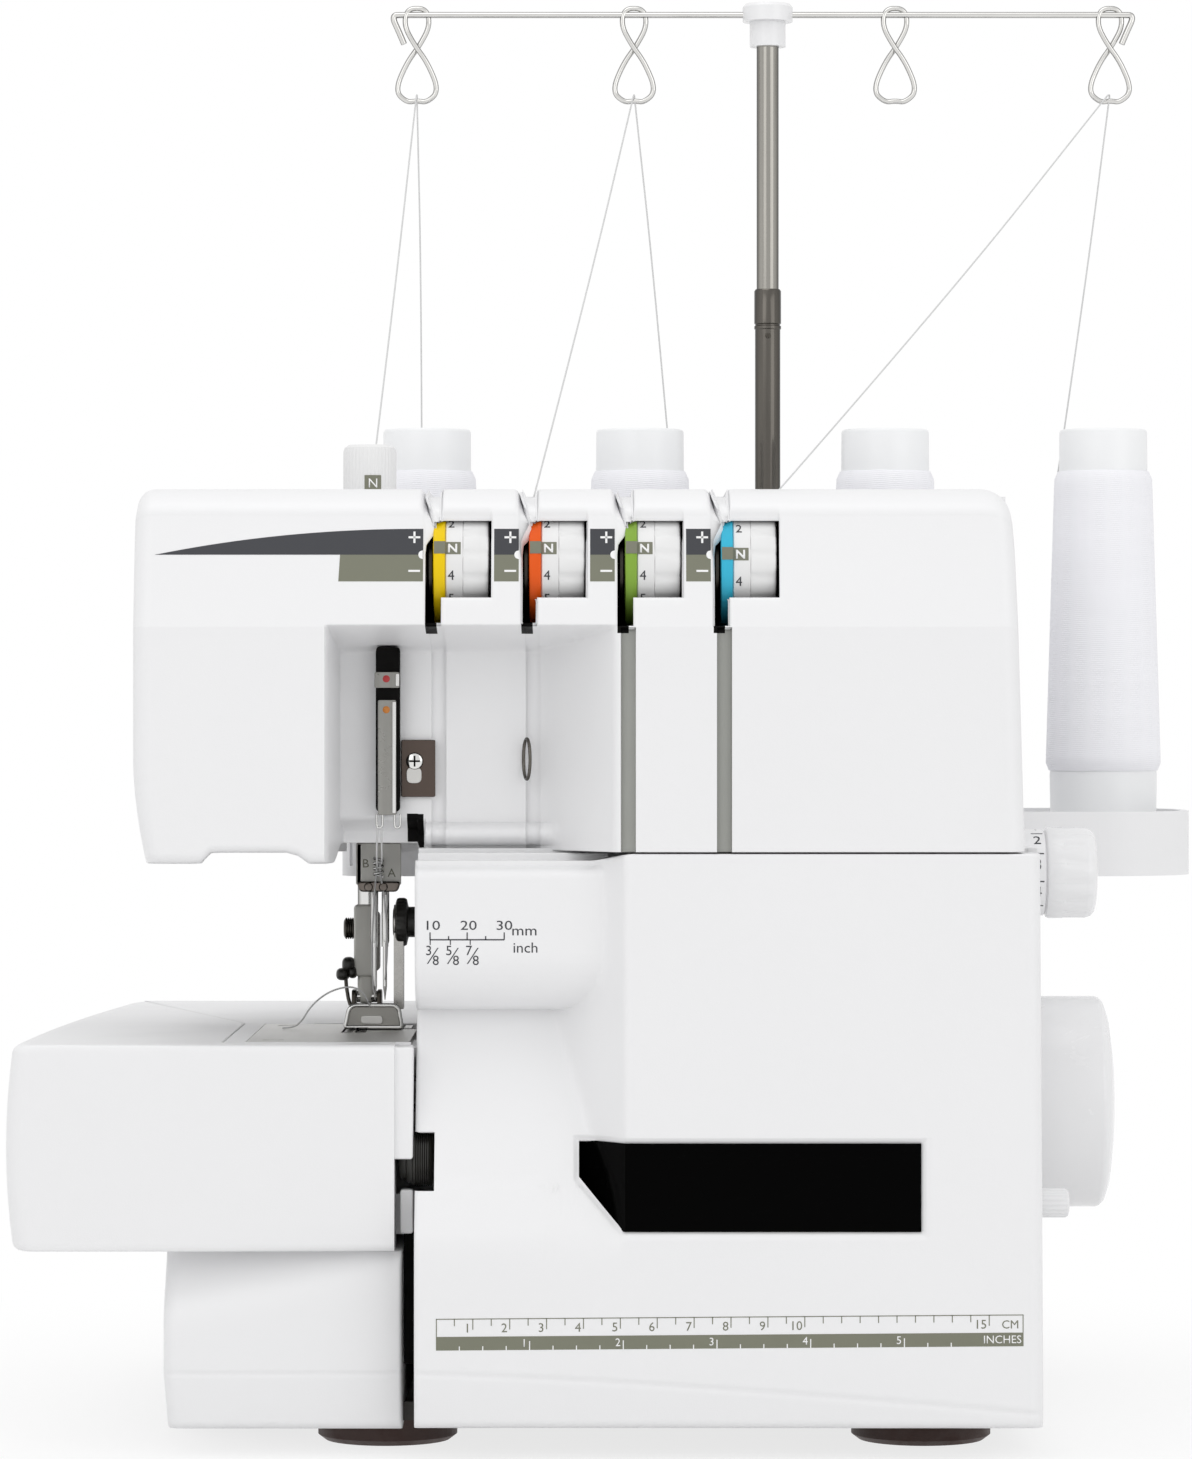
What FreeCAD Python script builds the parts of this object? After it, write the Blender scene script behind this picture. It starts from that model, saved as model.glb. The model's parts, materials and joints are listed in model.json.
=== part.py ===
"""Serger overlock machine: a parametric FreeCAD document, in millimetres.

+Z is up, the operator sits at -Y, and the needles are left of the middle, towards -X.
The origin is on the table, under the middle of the machine's box.  Every driving size is
a cell of the sheet "sizes"; the pieces are bound to those cells with expressions.
"""

import FreeCAD
import Part
import math
import os
import re
import Sketcher
from FreeCAD import Placement, Rotation, Vector

DOCUMENT = FreeCAD.newDocument("serger")
SHEET = DOCUMENT.addObject("Spreadsheet::Sheet", "sizes")

# alias, value in mm (or degrees, or a count), what it is
SIZES = [
    ("front_y", -132.0, "front plane of the machine"),
    ("back_y", 132.0, "back plane of the rear casing"),
    ("shell_wall", 2.5, "wall of the moulded covers"),
    ("run_gap", 0.4, "air between pieces that move past each other"),
    ("fit_gap", 0.05, "radial play of a shaft in its bore"),
    ("foot_height", 9.0, "rubber foot, height"),
    ("foot_radius", 19.5, "rubber foot, radius"),
    ("foot_left_x", -68.0, "left feet, centre"),
    ("foot_right_x", 81.5, "right feet, centre"),
    ("foot_front_inset", 52.0, "front feet, centre behind the front plane"),
    ("foot_back_inset", 40.0, "rear feet, centre ahead of the back plane"),
    ("base_left", -128.0, "left side of the base"),
    ("base_inset", 11.0, "front of the left base behind the front plane"),
    ("base_top", 56.0, "top of the left base"),
    ("base_back", 118.0, "back of the left base"),
    ("pan_height", 5.0, "base pan, height of its rim"),
    ("pan_floor", 3.0, "base pan, floor thickness"),
    ("pan_inset", 20.0, "base pan, front behind the front plane"),
    ("column_left", -58.5, "left side of the column"),
    ("body_right", 112.0, "right side of the lower body"),
    ("body_top", 166.0, "top of the lower body"),
    ("shelf_top", 154.7, "top of the lower body under the spool tray"),
    ("shelf_y", 20.0, "where the shelf begins"),
    ("bed_top", 112.7, "sewing bed above the table"),
    ("arm_left", -112.0, "free arm, left end"),
    ("arm_right", -52.0, "free arm, right end inside the column"),
    ("arm_front", -110.0, "free arm, front"),
    ("arm_back", -15.0, "free arm, back"),
    ("arm_bottom", 60.0, "free arm, underside"),
    ("plate_left", -106.0, "stitch plate, left edge"),
    ("plate_right", -61.0, "stitch plate, right edge"),
    ("plate_front", -108.0, "stitch plate, front edge"),
    ("plate_back", -18.0, "stitch plate, back edge"),
    ("plate_thick", 1.7, "stitch plate, thickness"),
    ("table_left", -171.0, "extension table, left side"),
    ("table_right", -59.6, "extension table, right end"),
    ("table_front_inset", 8.0, "extension table, front behind the front plane"),
    ("table_back", 118.0, "extension table, back"),
    ("table_bottom", 56.4, "extension table, underside"),
    ("head_left", -135.5, "left side of the head"),
    ("head_right", 107.0, "right side of the head"),
    ("head_bottom", 162.3, "underside of the head"),
    ("head_break", 226.6, "height where the head's face begins to lean back"),
    ("head_top", 265.0, "top of the head"),
    ("head_crown", 8.0, "how far the face's shoulder lies below the top"),
    ("head_lean", 7.0, "how far the face leans back up to the shoulder"),
    ("head_round", 24.0, "depth of the round from face to top"),
    ("head_split", 75.0, "front cover's depth behind the front plane"),
    ("head_depth", 150.0, "head's whole depth behind the front plane"),
    ("recess_left", -82.5, "head recess, left side"),
    ("recess_right_back", -25.0, "head recess, right end of its back wall"),
    ("recess_right_front", -4.0, "head recess, right edge at the face"),
    ("recess_depth", 30.0, "head recess, depth"),
    ("recess_drop", 5.9, "head recess, fall of its ceiling to the back"),
    ("dial_first_x", -53.9, "left side of the first tension dial"),
    ("dial_pitch", 26.1, "tension dials, pitch"),
    ("dial_count", 4.0, "tension dials, number"),
    ("dial_inset", 20.6, "tension dials, axis behind the front plane"),
    ("dial_z", 243.5, "tension dials, height of the axis"),
    ("ring_radius", 17.0, "tension dial, colour ring radius"),
    ("ring_width", 3.3, "tension dial, colour ring width"),
    ("drum_radius", 16.2, "tension dial, number drum radius"),
    ("drum_width", 12.9, "tension dial, number drum width"),
    ("window_below", 8.9, "dial window, lower edge below the dials' axis"),
    ("window_above", 12.1, "dial window, upper edge above the dials' axis"),
    ("slot_width", 2.8, "thread slot, width"),
    ("slot_depth", 45.0, "thread slot, depth behind the front plane"),
    ("spindle_radius", 3.0, "tension spindle, radius"),
    ("disc_radius", 11.0, "tension disc, radius"),
    ("disc_thick", 0.8, "tension disc, thickness"),
    ("pressure_x", -73.8, "foot pressure dial, axis"),
    ("pressure_inset", 70.0, "foot pressure dial, axis behind the front plane"),
    ("pressure_radius", 7.65, "foot pressure dial, radius"),
    ("pressure_rise", 14.5, "foot pressure dial, height above the head"),
    ("cover_left", -59.0, "looper cover, left edge"),
    ("cover_top", 165.0, "looper cover, top"),
    ("cover_depth", 25.0, "looper cover, depth"),
    ("cover_low_depth", 17.0, "looper cover, depth near its hinge"),
    ("cover_low_top", 40.0, "looper cover, height of the shallow part"),
    ("facet_front_x", -1.7, "looper cover, front edge of the slanted facet"),
    ("facet_back_x", -20.9, "looper cover, back edge of the slanted facet"),
    ("scoop_top", 122.0, "looper cover, top of the scoop"),
    ("scoop_low", 59.0, "looper cover, where the scoop runs out"),
    ("bulge_inset", 7.0, "looper cover, bulge behind the front plane"),
    ("bulge_top", 162.0, "looper cover, top of the bulge"),
    ("bulge_right", -7.0, "looper cover, right end of the bulge"),
    ("bulge_round", 15.0, "looper cover, rounding under the bulge"),
    ("skirt_height", 24.0, "looper cover, height of the crease above the skirt"),
    ("glass_left", -14.3, "window, left edge on the facet"),
    ("glass_right", 78.6, "window, right edge"),
    ("glass_low", 62.5, "window, lower edge"),
    ("glass_high", 86.5, "window, upper edge"),
    ("glass_thick", 2.0, "window, thickness"),
    ("glass_inset", 0.5, "window, behind the face"),
    ("hinge_inset", 8.0, "cover hinge, behind the front plane"),
    ("hinge_z", 16.0, "cover hinge, height"),
    ("hinge_radius", 2.0, "cover hinge rod, radius"),
    ("knuckle_left", -30.0, "cover's hinge knuckles, left one"),
    ("knuckle_right", 40.0, "cover's hinge knuckles, right one"),
    ("knuckle_width", 12.0, "cover's hinge knuckles, width"),
    ("cover_slide", 12.0, "how far the cover slides before it opens"),
    ("needle_x", -72.0, "needle bar, centre"),
    ("needle_y", -35.0, "needle bar, centre"),
    ("needle_half_pitch", 1.45, "half the distance between the needles"),
    ("needle_radius", 0.6, "needle, radius of the blade"),
    ("needle_tip", 120.6, "needle tips above the table"),
    ("needle_down", 22.0, "needle bar, travel down from rest"),
    ("needle_up", 4.0, "needle bar, travel up from rest"),
    ("clamp_bottom", 146.0, "needle clamp, underside"),
    ("clamp_height", 8.0, "needle clamp, height"),
    ("bar_radius", 3.0, "needle bar and presser bar, radius"),
    ("presser_x", -76.0, "presser bar, centre"),
    ("presser_y", -22.0, "presser bar, centre"),
    ("presser_lift", 6.0, "presser bar, lift"),
    ("ankle_top", 147.8, "presser ankle, top"),
    ("ankle_bottom", 125.0, "presser ankle, underside"),
    ("ankle_width", 7.4, "presser ankle, width"),
    ("sole_left", -81.7, "presser foot, left edge"),
    ("sole_right", -64.9, "presser foot, right edge of the toe"),
    ("sole_front", -49.0, "presser foot, toe"),
    ("sole_back", -17.0, "presser foot, heel"),
    ("sole_thick", 2.6, "presser foot, sole thickness"),
    ("pivot_z", 121.0, "presser foot, pivot height"),
    ("pivot_radius", 1.5, "presser foot, pivot pin radius"),
    ("lifter_z", 180.0, "foot lifter, height of its pivot"),
    ("lifter_reach", 40.0, "foot lifter, end of its handle"),
    ("knife_x", -68.0, "upper knife arm, left face"),
    ("knife_thick", 2.8, "upper knife arm, thickness"),
    ("knife_y", -32.0, "upper knife, pivot"),
    ("knife_z", 143.0, "upper knife, pivot"),
    ("knife_pin_radius", 2.5, "upper knife, radius of its pivot pin"),
    ("knife_low", 110.0, "upper knife, lower edge of the blade"),
    ("looper_pin_radius", 3.0, "looper pivot pins, radius"),
    ("looper_hub_radius", 6.0, "looper hubs, radius"),
    ("looper_hub_width", 8.0, "looper hubs, width"),
    ("looper_tip_x", -66.0, "looper tips at rest"),
    ("looper_root_x", -60.0, "where the looper tips begin"),
    ("looper_thick", 4.0, "looper arms, thickness"),
    ("upper_looper_x", -35.0, "upper looper, pivot"),
    ("upper_looper_y", -50.0, "upper looper, front of its hub"),
    ("upper_looper_z", 62.0, "upper looper, pivot"),
    ("upper_looper_rise", 39.0, "upper looper, top above its pivot"),
    ("lower_looper_x", -18.0, "lower looper, pivot"),
    ("lower_looper_y", -61.0, "lower looper, front of its hub"),
    ("lower_looper_z", 48.0, "lower looper, pivot"),
    ("lower_looper_rise", 45.0, "lower looper, top above its pivot"),
    ("feed_left", 9.6, "left feed rail, left of the needle bar"),
    ("feed_right", 5.8, "right feed rail, left of the needle bar"),
    ("feed_width", 2.4, "feed rails, width"),
    ("feed_front", -58.0, "feed rails, front"),
    ("feed_back", -24.0, "feed rails, back"),
    ("feed_low", 84.0, "feed rails, underside"),
    ("tooth_pitch", 3.0, "feed teeth, pitch"),
    ("tooth_gap", 1.4, "feed teeth, gap and depth"),
    ("tooth_count", 11.0, "feed teeth, gaps in each rail"),
    ("take_up_left", -70.6, "take-up cover, left side"),
    ("take_up_right", -63.7, "take-up cover, right side"),
    ("take_up_low", 175.2, "take-up cover, lower end"),
    ("take_up_high", 214.6, "take-up cover, upper end"),
    ("take_up_proud", 7.0, "take-up cover, how far it stands out"),
    ("take_up_wall", 0.7, "take-up cover, wall"),
    ("guide_left", -63.4, "guide plate, left edge"),
    ("guide_right", -53.8, "guide plate, right edge"),
    ("guide_low", 180.1, "guide plate, lower edge"),
    ("guide_high", 195.9, "guide plate, upper edge"),
    ("eyelet_x", -27.0, "wire eyelet, ends in the recess wall"),
    ("eyelet_low", 185.2, "wire eyelet, lower end"),
    ("eyelet_high", 195.6, "wire eyelet, upper end"),
    ("eyelet_reach", 6.4, "wire eyelet, how far it stands out"),
    ("lower_slot_left", -61.8, "slot under the guide plate, left edge"),
    ("lower_slot_right", -58.2, "slot under the guide plate, right edge"),
    ("lower_slot_low", 167.4, "slot under the guide plate, lower edge"),
    ("lower_slot_high", 174.6, "slot under the guide plate, upper edge"),
    ("shaft_left", -24.0, "main shaft, left end"),
    ("crank_radius", 14.0, "crank disc, radius"),
    ("crank_width", 8.0, "crank disc, width"),
    ("shaft_y", -12.0, "main shaft, centre"),
    ("shaft_z", 89.8, "main shaft, centre"),
    ("shaft_radius", 5.0, "main shaft, radius"),
    ("wheel_radius", 30.75, "handwheel, radius"),
    ("wheel_reach", 29.3, "handwheel, right face beyond the body"),
    ("pulley_radius", 22.0, "drive pulley, radius"),
    ("pulley_x", 84.0, "drive pulleys, left face"),
    ("pulley_width", 9.0, "drive pulleys, width"),
    ("belt_thick", 2.0, "drive belt, thickness"),
    ("belt_width", 6.0, "drive belt, width"),
    ("motor_y", 75.0, "motor, centre"),
    ("motor_z", 48.0, "motor, centre"),
    ("motor_radius", 24.0, "motor, radius"),
    ("motor_left", 0.0, "motor, left end"),
    ("motor_right", 55.0, "motor, right end"),
    ("small_pulley_radius", 8.0, "motor pulley, radius"),
    ("cast_left", -50.0, "inner casting, left end"),
    ("cast_right", 95.0, "inner casting, right end"),
    ("cast_front_inset", 28.0, "inner casting, front behind the front plane"),
    ("cast_back", 110.0, "inner casting, back"),
    ("cast_floor", 6.0, "inner casting, floor thickness"),
    ("post_left", 20.0, "inner casting, left side of its post"),
    ("post_right", 50.0, "inner casting, right side of its post"),
    ("post_front", -60.0, "inner casting, front of its post"),
    ("post_back", -34.0, "inner casting, back of its post"),
    ("arm_low", 206.0, "inner casting, underside of its upper arm"),
    ("arm_high", 226.0, "inner casting, top of its upper arm"),
    ("arm_clear", 12.0, "inner casting, back of its upper arm before the head's back"),
    ("pedestal_left", -12.0, "shaft pedestals, left one"),
    ("pedestal_right", 70.0, "shaft pedestals, right one"),
    ("pedestal_width", 8.0, "shaft pedestals, width"),
    ("pedestal_half", 10.0, "shaft pedestals, half depth, and height over the shaft"),
    ("looper_wall_top", 75.0, "wall behind the loopers, top"),
    ("lug_left", -84.0, "bar bearing lugs, left side"),
    ("lug_right", -66.0, "bar bearing lugs, right side"),
    ("lug_height", 8.0, "bar bearing lugs, height"),
    ("lug_low", 180.0, "lower bearing lug, underside"),
    ("lug_high", 214.0, "upper bearing lug, underside"),
    ("switch_y", 81.0, "power switch, middle"),
    ("switch_z", 33.0, "power switch, middle"),
    ("switch_half", 10.4, "power switch, half its length"),
    ("switch_tall", 6.0, "power switch, half its height"),
    ("inlet_y", 48.0, "mains inlet, middle"),
    ("inlet_z", 33.0, "mains inlet, middle"),
    ("inlet_half", 15.6, "mains inlet, half its length"),
    ("inlet_tall", 10.6, "mains inlet, half its height"),
    ("inlet_depth", 20.0, "mains inlet, depth"),
    ("inlet_wall", 2.6, "mains inlet, wall"),
    ("length_inset", 60.0, "stitch length dial, axis behind the front plane"),
    ("length_z", 158.4, "stitch length dial, axis"),
    ("length_radius", 12.85, "stitch length dial, radius"),
    ("length_drum", 4.4, "stitch length dial, width of the number drum"),
    ("length_grip", 14.2, "stitch length dial, width of the grip"),
    ("differ_inset", 40.0, "differential feed knob, behind the front plane"),
    ("differ_z", 67.0, "differential feed knob, height"),
    ("differ_radius", 4.1, "differential feed knob, radius"),
    ("differ_reach", 9.6, "differential feed knob, how far it stands out"),
    ("width_inset", 19.0, "cutting width dial, axis behind the front plane"),
    ("width_z", 81.0, "cutting width dial, axis"),
    ("width_radius", 7.5, "cutting width dial, radius"),
    ("width_left", -63.5, "cutting width dial, left face"),
    ("width_grip", 9.3, "cutting width dial, width"),
    ("tray_left", -86.0, "spool tray, left end"),
    ("tray_right", 171.0, "spool tray, right end"),
    ("tray_front", 23.0, "spool tray, front edge"),
    ("tray_back", 101.0, "spool tray, back edge"),
    ("tray_top", 174.0, "spool tray, rim"),
    ("tray_floor", 3.0, "spool tray, floor thickness"),
    ("cone_y", 63.0, "thread cones, centre"),
    ("cone_first_x", -61.4, "first cone"),
    ("cone_second_x", 3.9, "second cone"),
    ("cone_third_x", 79.1, "third cone"),
    ("cone_fourth_x", 146.0, "fourth cone"),
    ("cone_top", 290.5, "thread cones, top"),
    ("cone_base_radius", 16.5, "thread cone, radius of the foot"),
    ("cone_top_radius", 13.4, "thread cone, radius at the top"),
    ("cone_wall", 1.8, "thread cone, wall"),
    ("wind_low", 186.0, "thread winding, lower end"),
    ("wind_high", 278.0, "thread winding, upper end"),
    ("wind_low_radius", 17.65, "thread winding, radius at the lower end"),
    ("wind_high_radius", 14.9, "thread winding, radius at the upper end"),
    ("pin_radius", 2.5, "spool pin, radius"),
    ("pin_top", 268.0, "spool pin, top"),
    ("mast_x", 44.0, "mast, centre"),
    ("mast_y", 93.0, "mast, centre"),
    ("mast_foot", 140.0, "mast lower tube, lower end"),
    ("mast_joint", 336.0, "mast lower tube, top of its collar"),
    ("collar_height", 11.0, "mast collar, height"),
    ("collar_radius", 4.2, "mast collar, radius"),
    ("mast_radius", 4.0, "mast lower tube, radius"),
    ("mast_wall", 0.4, "mast tubes, wall"),
    ("upper_radius", 3.45, "mast upper tube, radius"),
    ("upper_foot", 238.0, "mast upper tube, lower end"),
    ("cap_low", 411.7, "mast cap, lower end"),
    ("cap_skirt", 7.8, "mast cap, height below its flange"),
    ("cap_skirt_radius", 5.6, "mast cap, radius below its flange"),
    ("cap_rim", 5.5, "mast cap, height of its flange"),
    ("cap_rim_radius", 7.8, "mast cap, radius of its flange"),
    ("mast_travel", 74.0, "mast, travel down"),
    ("wire_radius", 0.95, "thread guide wire, radius"),
    ("bar_rise", 10.0, "thread guide bar above the mast cap's lower end"),
    ("bar_left", -73.0, "thread guide bar, left end"),
    ("bar_right", 158.0, "thread guide bar, right end"),
    ("eye_first_x", -65.5, "first thread eye"),
    ("eye_second_x", 2.3, "second thread eye"),
    ("eye_third_x", 83.8, "third thread eye"),
    ("eye_fourth_x", 150.9, "fourth thread eye"),
    ("eye_drop", 26.7, "how far the thread eyes hang below the bar"),
    ("eye_radius", 5.2, "thread eyes, radius of the lower loop"),
    ("hook_radius", 2.4, "thread eyes, radius of the upper loop"),
    ("thread_radius", 0.25, "sewing thread, radius"),
]

WORDS = {name for name, _, _ in SIZES}
ALIAS = re.compile(r"[a-z][a-z_]*[a-z]")
PARTS = {}

# a cylinder or a turned shape stands along Z; these lay it along another axis
ALONG = {
    "X": Rotation(Vector(0, 1, 0), 90),
    "Y": Rotation(Vector(1, 0, 0), -90),
    "Z": Rotation(),
}
# a sketch's own x and y become (Y, Z), (X, Z) or (X, Y), and it is extruded along the axis
SKETCHED = {
    "X": Rotation(Vector(0, 1, 0), Vector(0, 0, 1), Vector(1, 0, 0), "ZXY"),
    "Y": Rotation(Vector(1, 0, 0), Vector(0, 0, 1), Vector(0, -1, 0), "ZXY"),
    "Z": Rotation(),
}


def fill_sheet():
    for row, (name, value, meaning) in enumerate(SIZES, start=1):
        SHEET.set(f"A{row}", meaning)
        SHEET.set(f"B{row}", str(value))
        SHEET.setAlias(f"B{row}", name)
    DOCUMENT.recompute()


def bound(text):
    """An expression in alias words, as FreeCAD wants it: each alias with the sheet's name."""
    return ALIAS.sub(lambda found: "sizes." + found[0] if found[0] in WORDS else found[0], str(text))


def size(name):
    return float(SHEET.get(name))


def bind(item, **texts):
    for path, text in texts.items():
        item.setExpression(path.replace("__", "."), bound(text))
    return item


def add(kind, name):
    return DOCUMENT.addObject(kind, name)


def block(name, x, y, z):
    """A box between two planes along each axis; each pair holds two expressions."""
    box = add("Part::Box", name)
    bind(box, Length=f"({x[1]}) - ({x[0]})", Width=f"({y[1]}) - ({y[0]})", Height=f"({z[1]}) - ({z[0]})")
    return bind(box, Placement__Base__x=x[0], Placement__Base__y=y[0], Placement__Base__z=z[0])


def rod(name, axis, at, radius, length, top_radius=None):
    """A cylinder, or a cone where top_radius is given, from the point at along the axis."""
    item = add("Part::Cylinder" if top_radius is None else "Part::Cone", name)
    if top_radius is None:
        bind(item, Radius=radius)
    else:
        bind(item, Radius1=radius, Radius2=top_radius)
    item.Placement = Placement(Vector(), ALONG[axis])
    bind(item, Height=length)
    return bind(item, Placement__Base__x=at[0], Placement__Base__y=at[1], Placement__Base__z=at[2])


def spread(middle, half):
    """The two planes that lie half a width each side of a middle."""
    return f"{middle} - ({half})", f"{middle} + ({half})"


def outline(name, points):
    """A closed sketch whose corners are tied to the sheet by one distance each way."""
    sketch = add("Sketcher::SketchObject", name)
    count = len(points)
    rough = [Vector(math.cos(math.tau * n / count), math.sin(math.tau * n / count), 0) for n in range(count)]
    sketch.addGeometry([Part.LineSegment(rough[n], rough[(n + 1) % count]) for n in range(count)], False)
    sketch.addConstraint([Sketcher.Constraint("Coincident", n, 2, (n + 1) % count, 1) for n in range(count)])
    for n, point in enumerate(points):
        for kind, rough_value, text in zip(("DistanceX", "DistanceY"), rough[n], point):
            tie = sketch.addConstraint(Sketcher.Constraint(kind, -1, 1, n, 1, rough_value))
            sketch.setExpression(f"Constraints[{tie}]", bound(text))
    return sketch


def prism(name, axis, points, start, end):
    """A straight-sided solid: an outline extruded along an axis between two planes."""
    sketch = outline(name + "_outline", points)
    sketch.Placement = Placement(Vector(), SKETCHED[axis])
    bind(sketch, **{f"Placement__Base__{axis.lower()}": start})
    solid = add("Part::Extrusion", name)
    solid.Base = sketch
    solid.DirMode = "Custom"
    solid.Dir = {"X": Vector(1, 0, 0), "Y": Vector(0, 1, 0), "Z": Vector(0, 0, 1)}[axis]
    solid.Solid = True
    return bind(solid, LengthFwd=f"({end}) - ({start})")


def turned(name, axis, at, points):
    """A PartDesign body: a half outline of (radius, distance along the axis) revolved."""
    body = add("PartDesign::Body", name)
    sketch = outline(name + "_half", points)
    body.addObject(sketch)
    plane = next(item for item in body.Origin.OriginFeatures if item.Role == "XZ_Plane")
    sketch.AttachmentSupport = [(plane, "")]
    sketch.MapMode = "FlatFace"
    turn = body.newObject("PartDesign::Revolution", name + "_turn")
    turn.Profile = sketch
    turn.ReferenceAxis = (sketch, ["V_Axis"])
    turn.Angle = 360
    body.Placement = Placement(Vector(), ALONG[axis])
    return bind(body, Placement__Base__x=at[0], Placement__Base__y=at[1], Placement__Base__z=at[2])


def join(name, *items):
    joined = add("Part::MultiFuse", name)
    joined.Shapes = list(items)
    joined.Refine = True
    return joined


def cut(name, base, *tools):
    for n, tool in enumerate(tools):
        step = add("Part::Cut", name if n == len(tools) - 1 else f"{name}_less_{n + 1}")
        step.Base = base
        step.Tool = tool
        base = step
    return base


def common(name, *items):
    shared = add("Part::MultiCommon", name)
    shared.Shapes = list(items)
    return shared


def group(name, *items):
    together = add("Part::Compound", name)
    together.Links = list(items)
    return together


def rounded(name, base, radius, chosen):
    """Rounds the straight edges of base for which chosen(edge middle, edge direction) holds."""
    DOCUMENT.recompute()
    soft = add("Part::Fillet", name)
    soft.Base = base
    picked = []
    for number, edge in enumerate(base.Shape.Edges, start=1):
        if edge.Curve.TypeId != "Part::GeomLine":
            continue
        middle = edge.valueAt((edge.FirstParameter + edge.LastParameter) / 2)
        if chosen(middle, edge.tangentAt(edge.FirstParameter)):
            picked.append((number, radius, radius))
    soft.Edges = picked
    return soft


def shaped(name, shape):
    """A piece made with Part's own functions from the sheet's values."""
    item = add("Part::Feature", name)
    item.Shape = shape
    return item


def near(one, other):
    return abs(one - other) < 0.01


def along(direction, axis):
    return abs(getattr(direction, axis)) > 0.9999


def keep(node, item):
    item.Label = node
    PARTS[node] = item
    return item


def pipe(points, radius, tight=None):
    """A round wire or thread along straight runs, each corner rounded by a tangent arc.

    tight maps the number of a corner to the radius of what the thread is drawn tight over.
    """
    tight = tight or {}
    edges = []
    start = points[0]
    for n in range(1, len(points) - 1):
        before, corner, after = points[n - 1], points[n], points[n + 1]
        back = (before - corner).normalize()
        ahead = (after - corner).normalize()
        half = back.getAngle(ahead) / 2
        bend = 0.45 * min((before - corner).Length, (after - corner).Length)
        if n in tight:
            bend = tight[n] / math.tan(half)
        enter = corner + back * bend
        leave = corner + ahead * bend
        middle_way = (back + ahead).normalize()
        reach = bend / math.cos(half)
        middle = corner + middle_way * (reach - bend * math.tan(half))
        edges.append(Part.LineSegment(start, enter).toShape())
        edges.append(Part.Arc(enter, middle, leave).toShape())
        start = leave
    edges.append(Part.LineSegment(start, points[-1]).toShape())
    path = Part.Wire(edges)
    ring = Part.Wire(Part.Circle(points[0], points[1] - points[0], radius).toShape())
    return path.makePipeShell([ring], True, False)


# ---- base and lower body ----

def rubber_feet():
    feet = []
    for side in ("foot_left_x", "foot_right_x"):
        for end in ("front_y + foot_front_inset", "back_y - foot_back_inset"):
            feet.append(turned(f"foot_{len(feet) + 1}", "Z", (side, end, "0"), [
                ("0", "0"), ("foot_radius - 2", "0"), ("foot_radius", "1.5"),
                ("foot_radius", "foot_height"), ("0", "foot_height")]))
    keep("rubber_feet", group("rubber_feet", *feet))


def base_pan():
    left, right = "base_left + shell_wall + 0.5", "body_right - 8"
    front, back = "front_y + pan_inset", "base_back - shell_wall - 0.5"
    outer = block("pan_outer", (left, right), (front, back), ("foot_height", "foot_height + pan_height"))
    hollow = block("pan_hollow", (f"{left} + shell_wall", f"{right} - shell_wall"),
                   (f"{front} + shell_wall", f"{back} - shell_wall"),
                   ("foot_height + pan_floor", "foot_height + pan_height + 1"))
    lugs = []
    for number, lug_x in enumerate(("cover_left + 13", "body_right - 28"), start=1):
        lug = block(f"hinge_lug_{number}", (lug_x, f"{lug_x} + 4"),
                    ("front_y + hinge_inset - 3.2", "front_y + pan_inset + 1"),
                    ("hinge_z - 3.6", "hinge_z + 3.6"))
        bore = rod(f"hinge_lug_bore_{number}", "X", (f"{lug_x} - 1", "front_y + hinge_inset", "hinge_z"),
                   "hinge_radius + fit_gap", "6")
        web = block(f"hinge_web_{number}", (lug_x, f"{lug_x} + 4"),
                    ("front_y + pan_inset", "front_y + pan_inset + shell_wall"),
                    ("foot_height", "hinge_z + 3.6"))
        lugs.append(join(f"hinge_bracket_{number}", cut(f"hinge_eye_{number}", lug, bore), web))
    keep("base_pan", join("base_pan", cut("pan_dish", outer, hollow), *lugs))


def lower_left_cover():
    front = "front_y + base_inset"
    outer = block("left_outer", ("base_left", "column_left - 2.5"), (front, "base_back"),
                  ("foot_height + 0.1", "base_top"))
    soft = rounded("left_soft", outer, 6.0,
                   lambda middle, way: along(way, "z") and near(middle.x, size("base_left")))
    hollow = block("left_hollow", ("base_left + shell_wall", "column_left"),
                   (f"{front} + shell_wall", "base_back - shell_wall"), ("0", "base_top - shell_wall"))
    keep("lower_left_cover", cut("lower_left_cover", soft, hollow))


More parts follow.
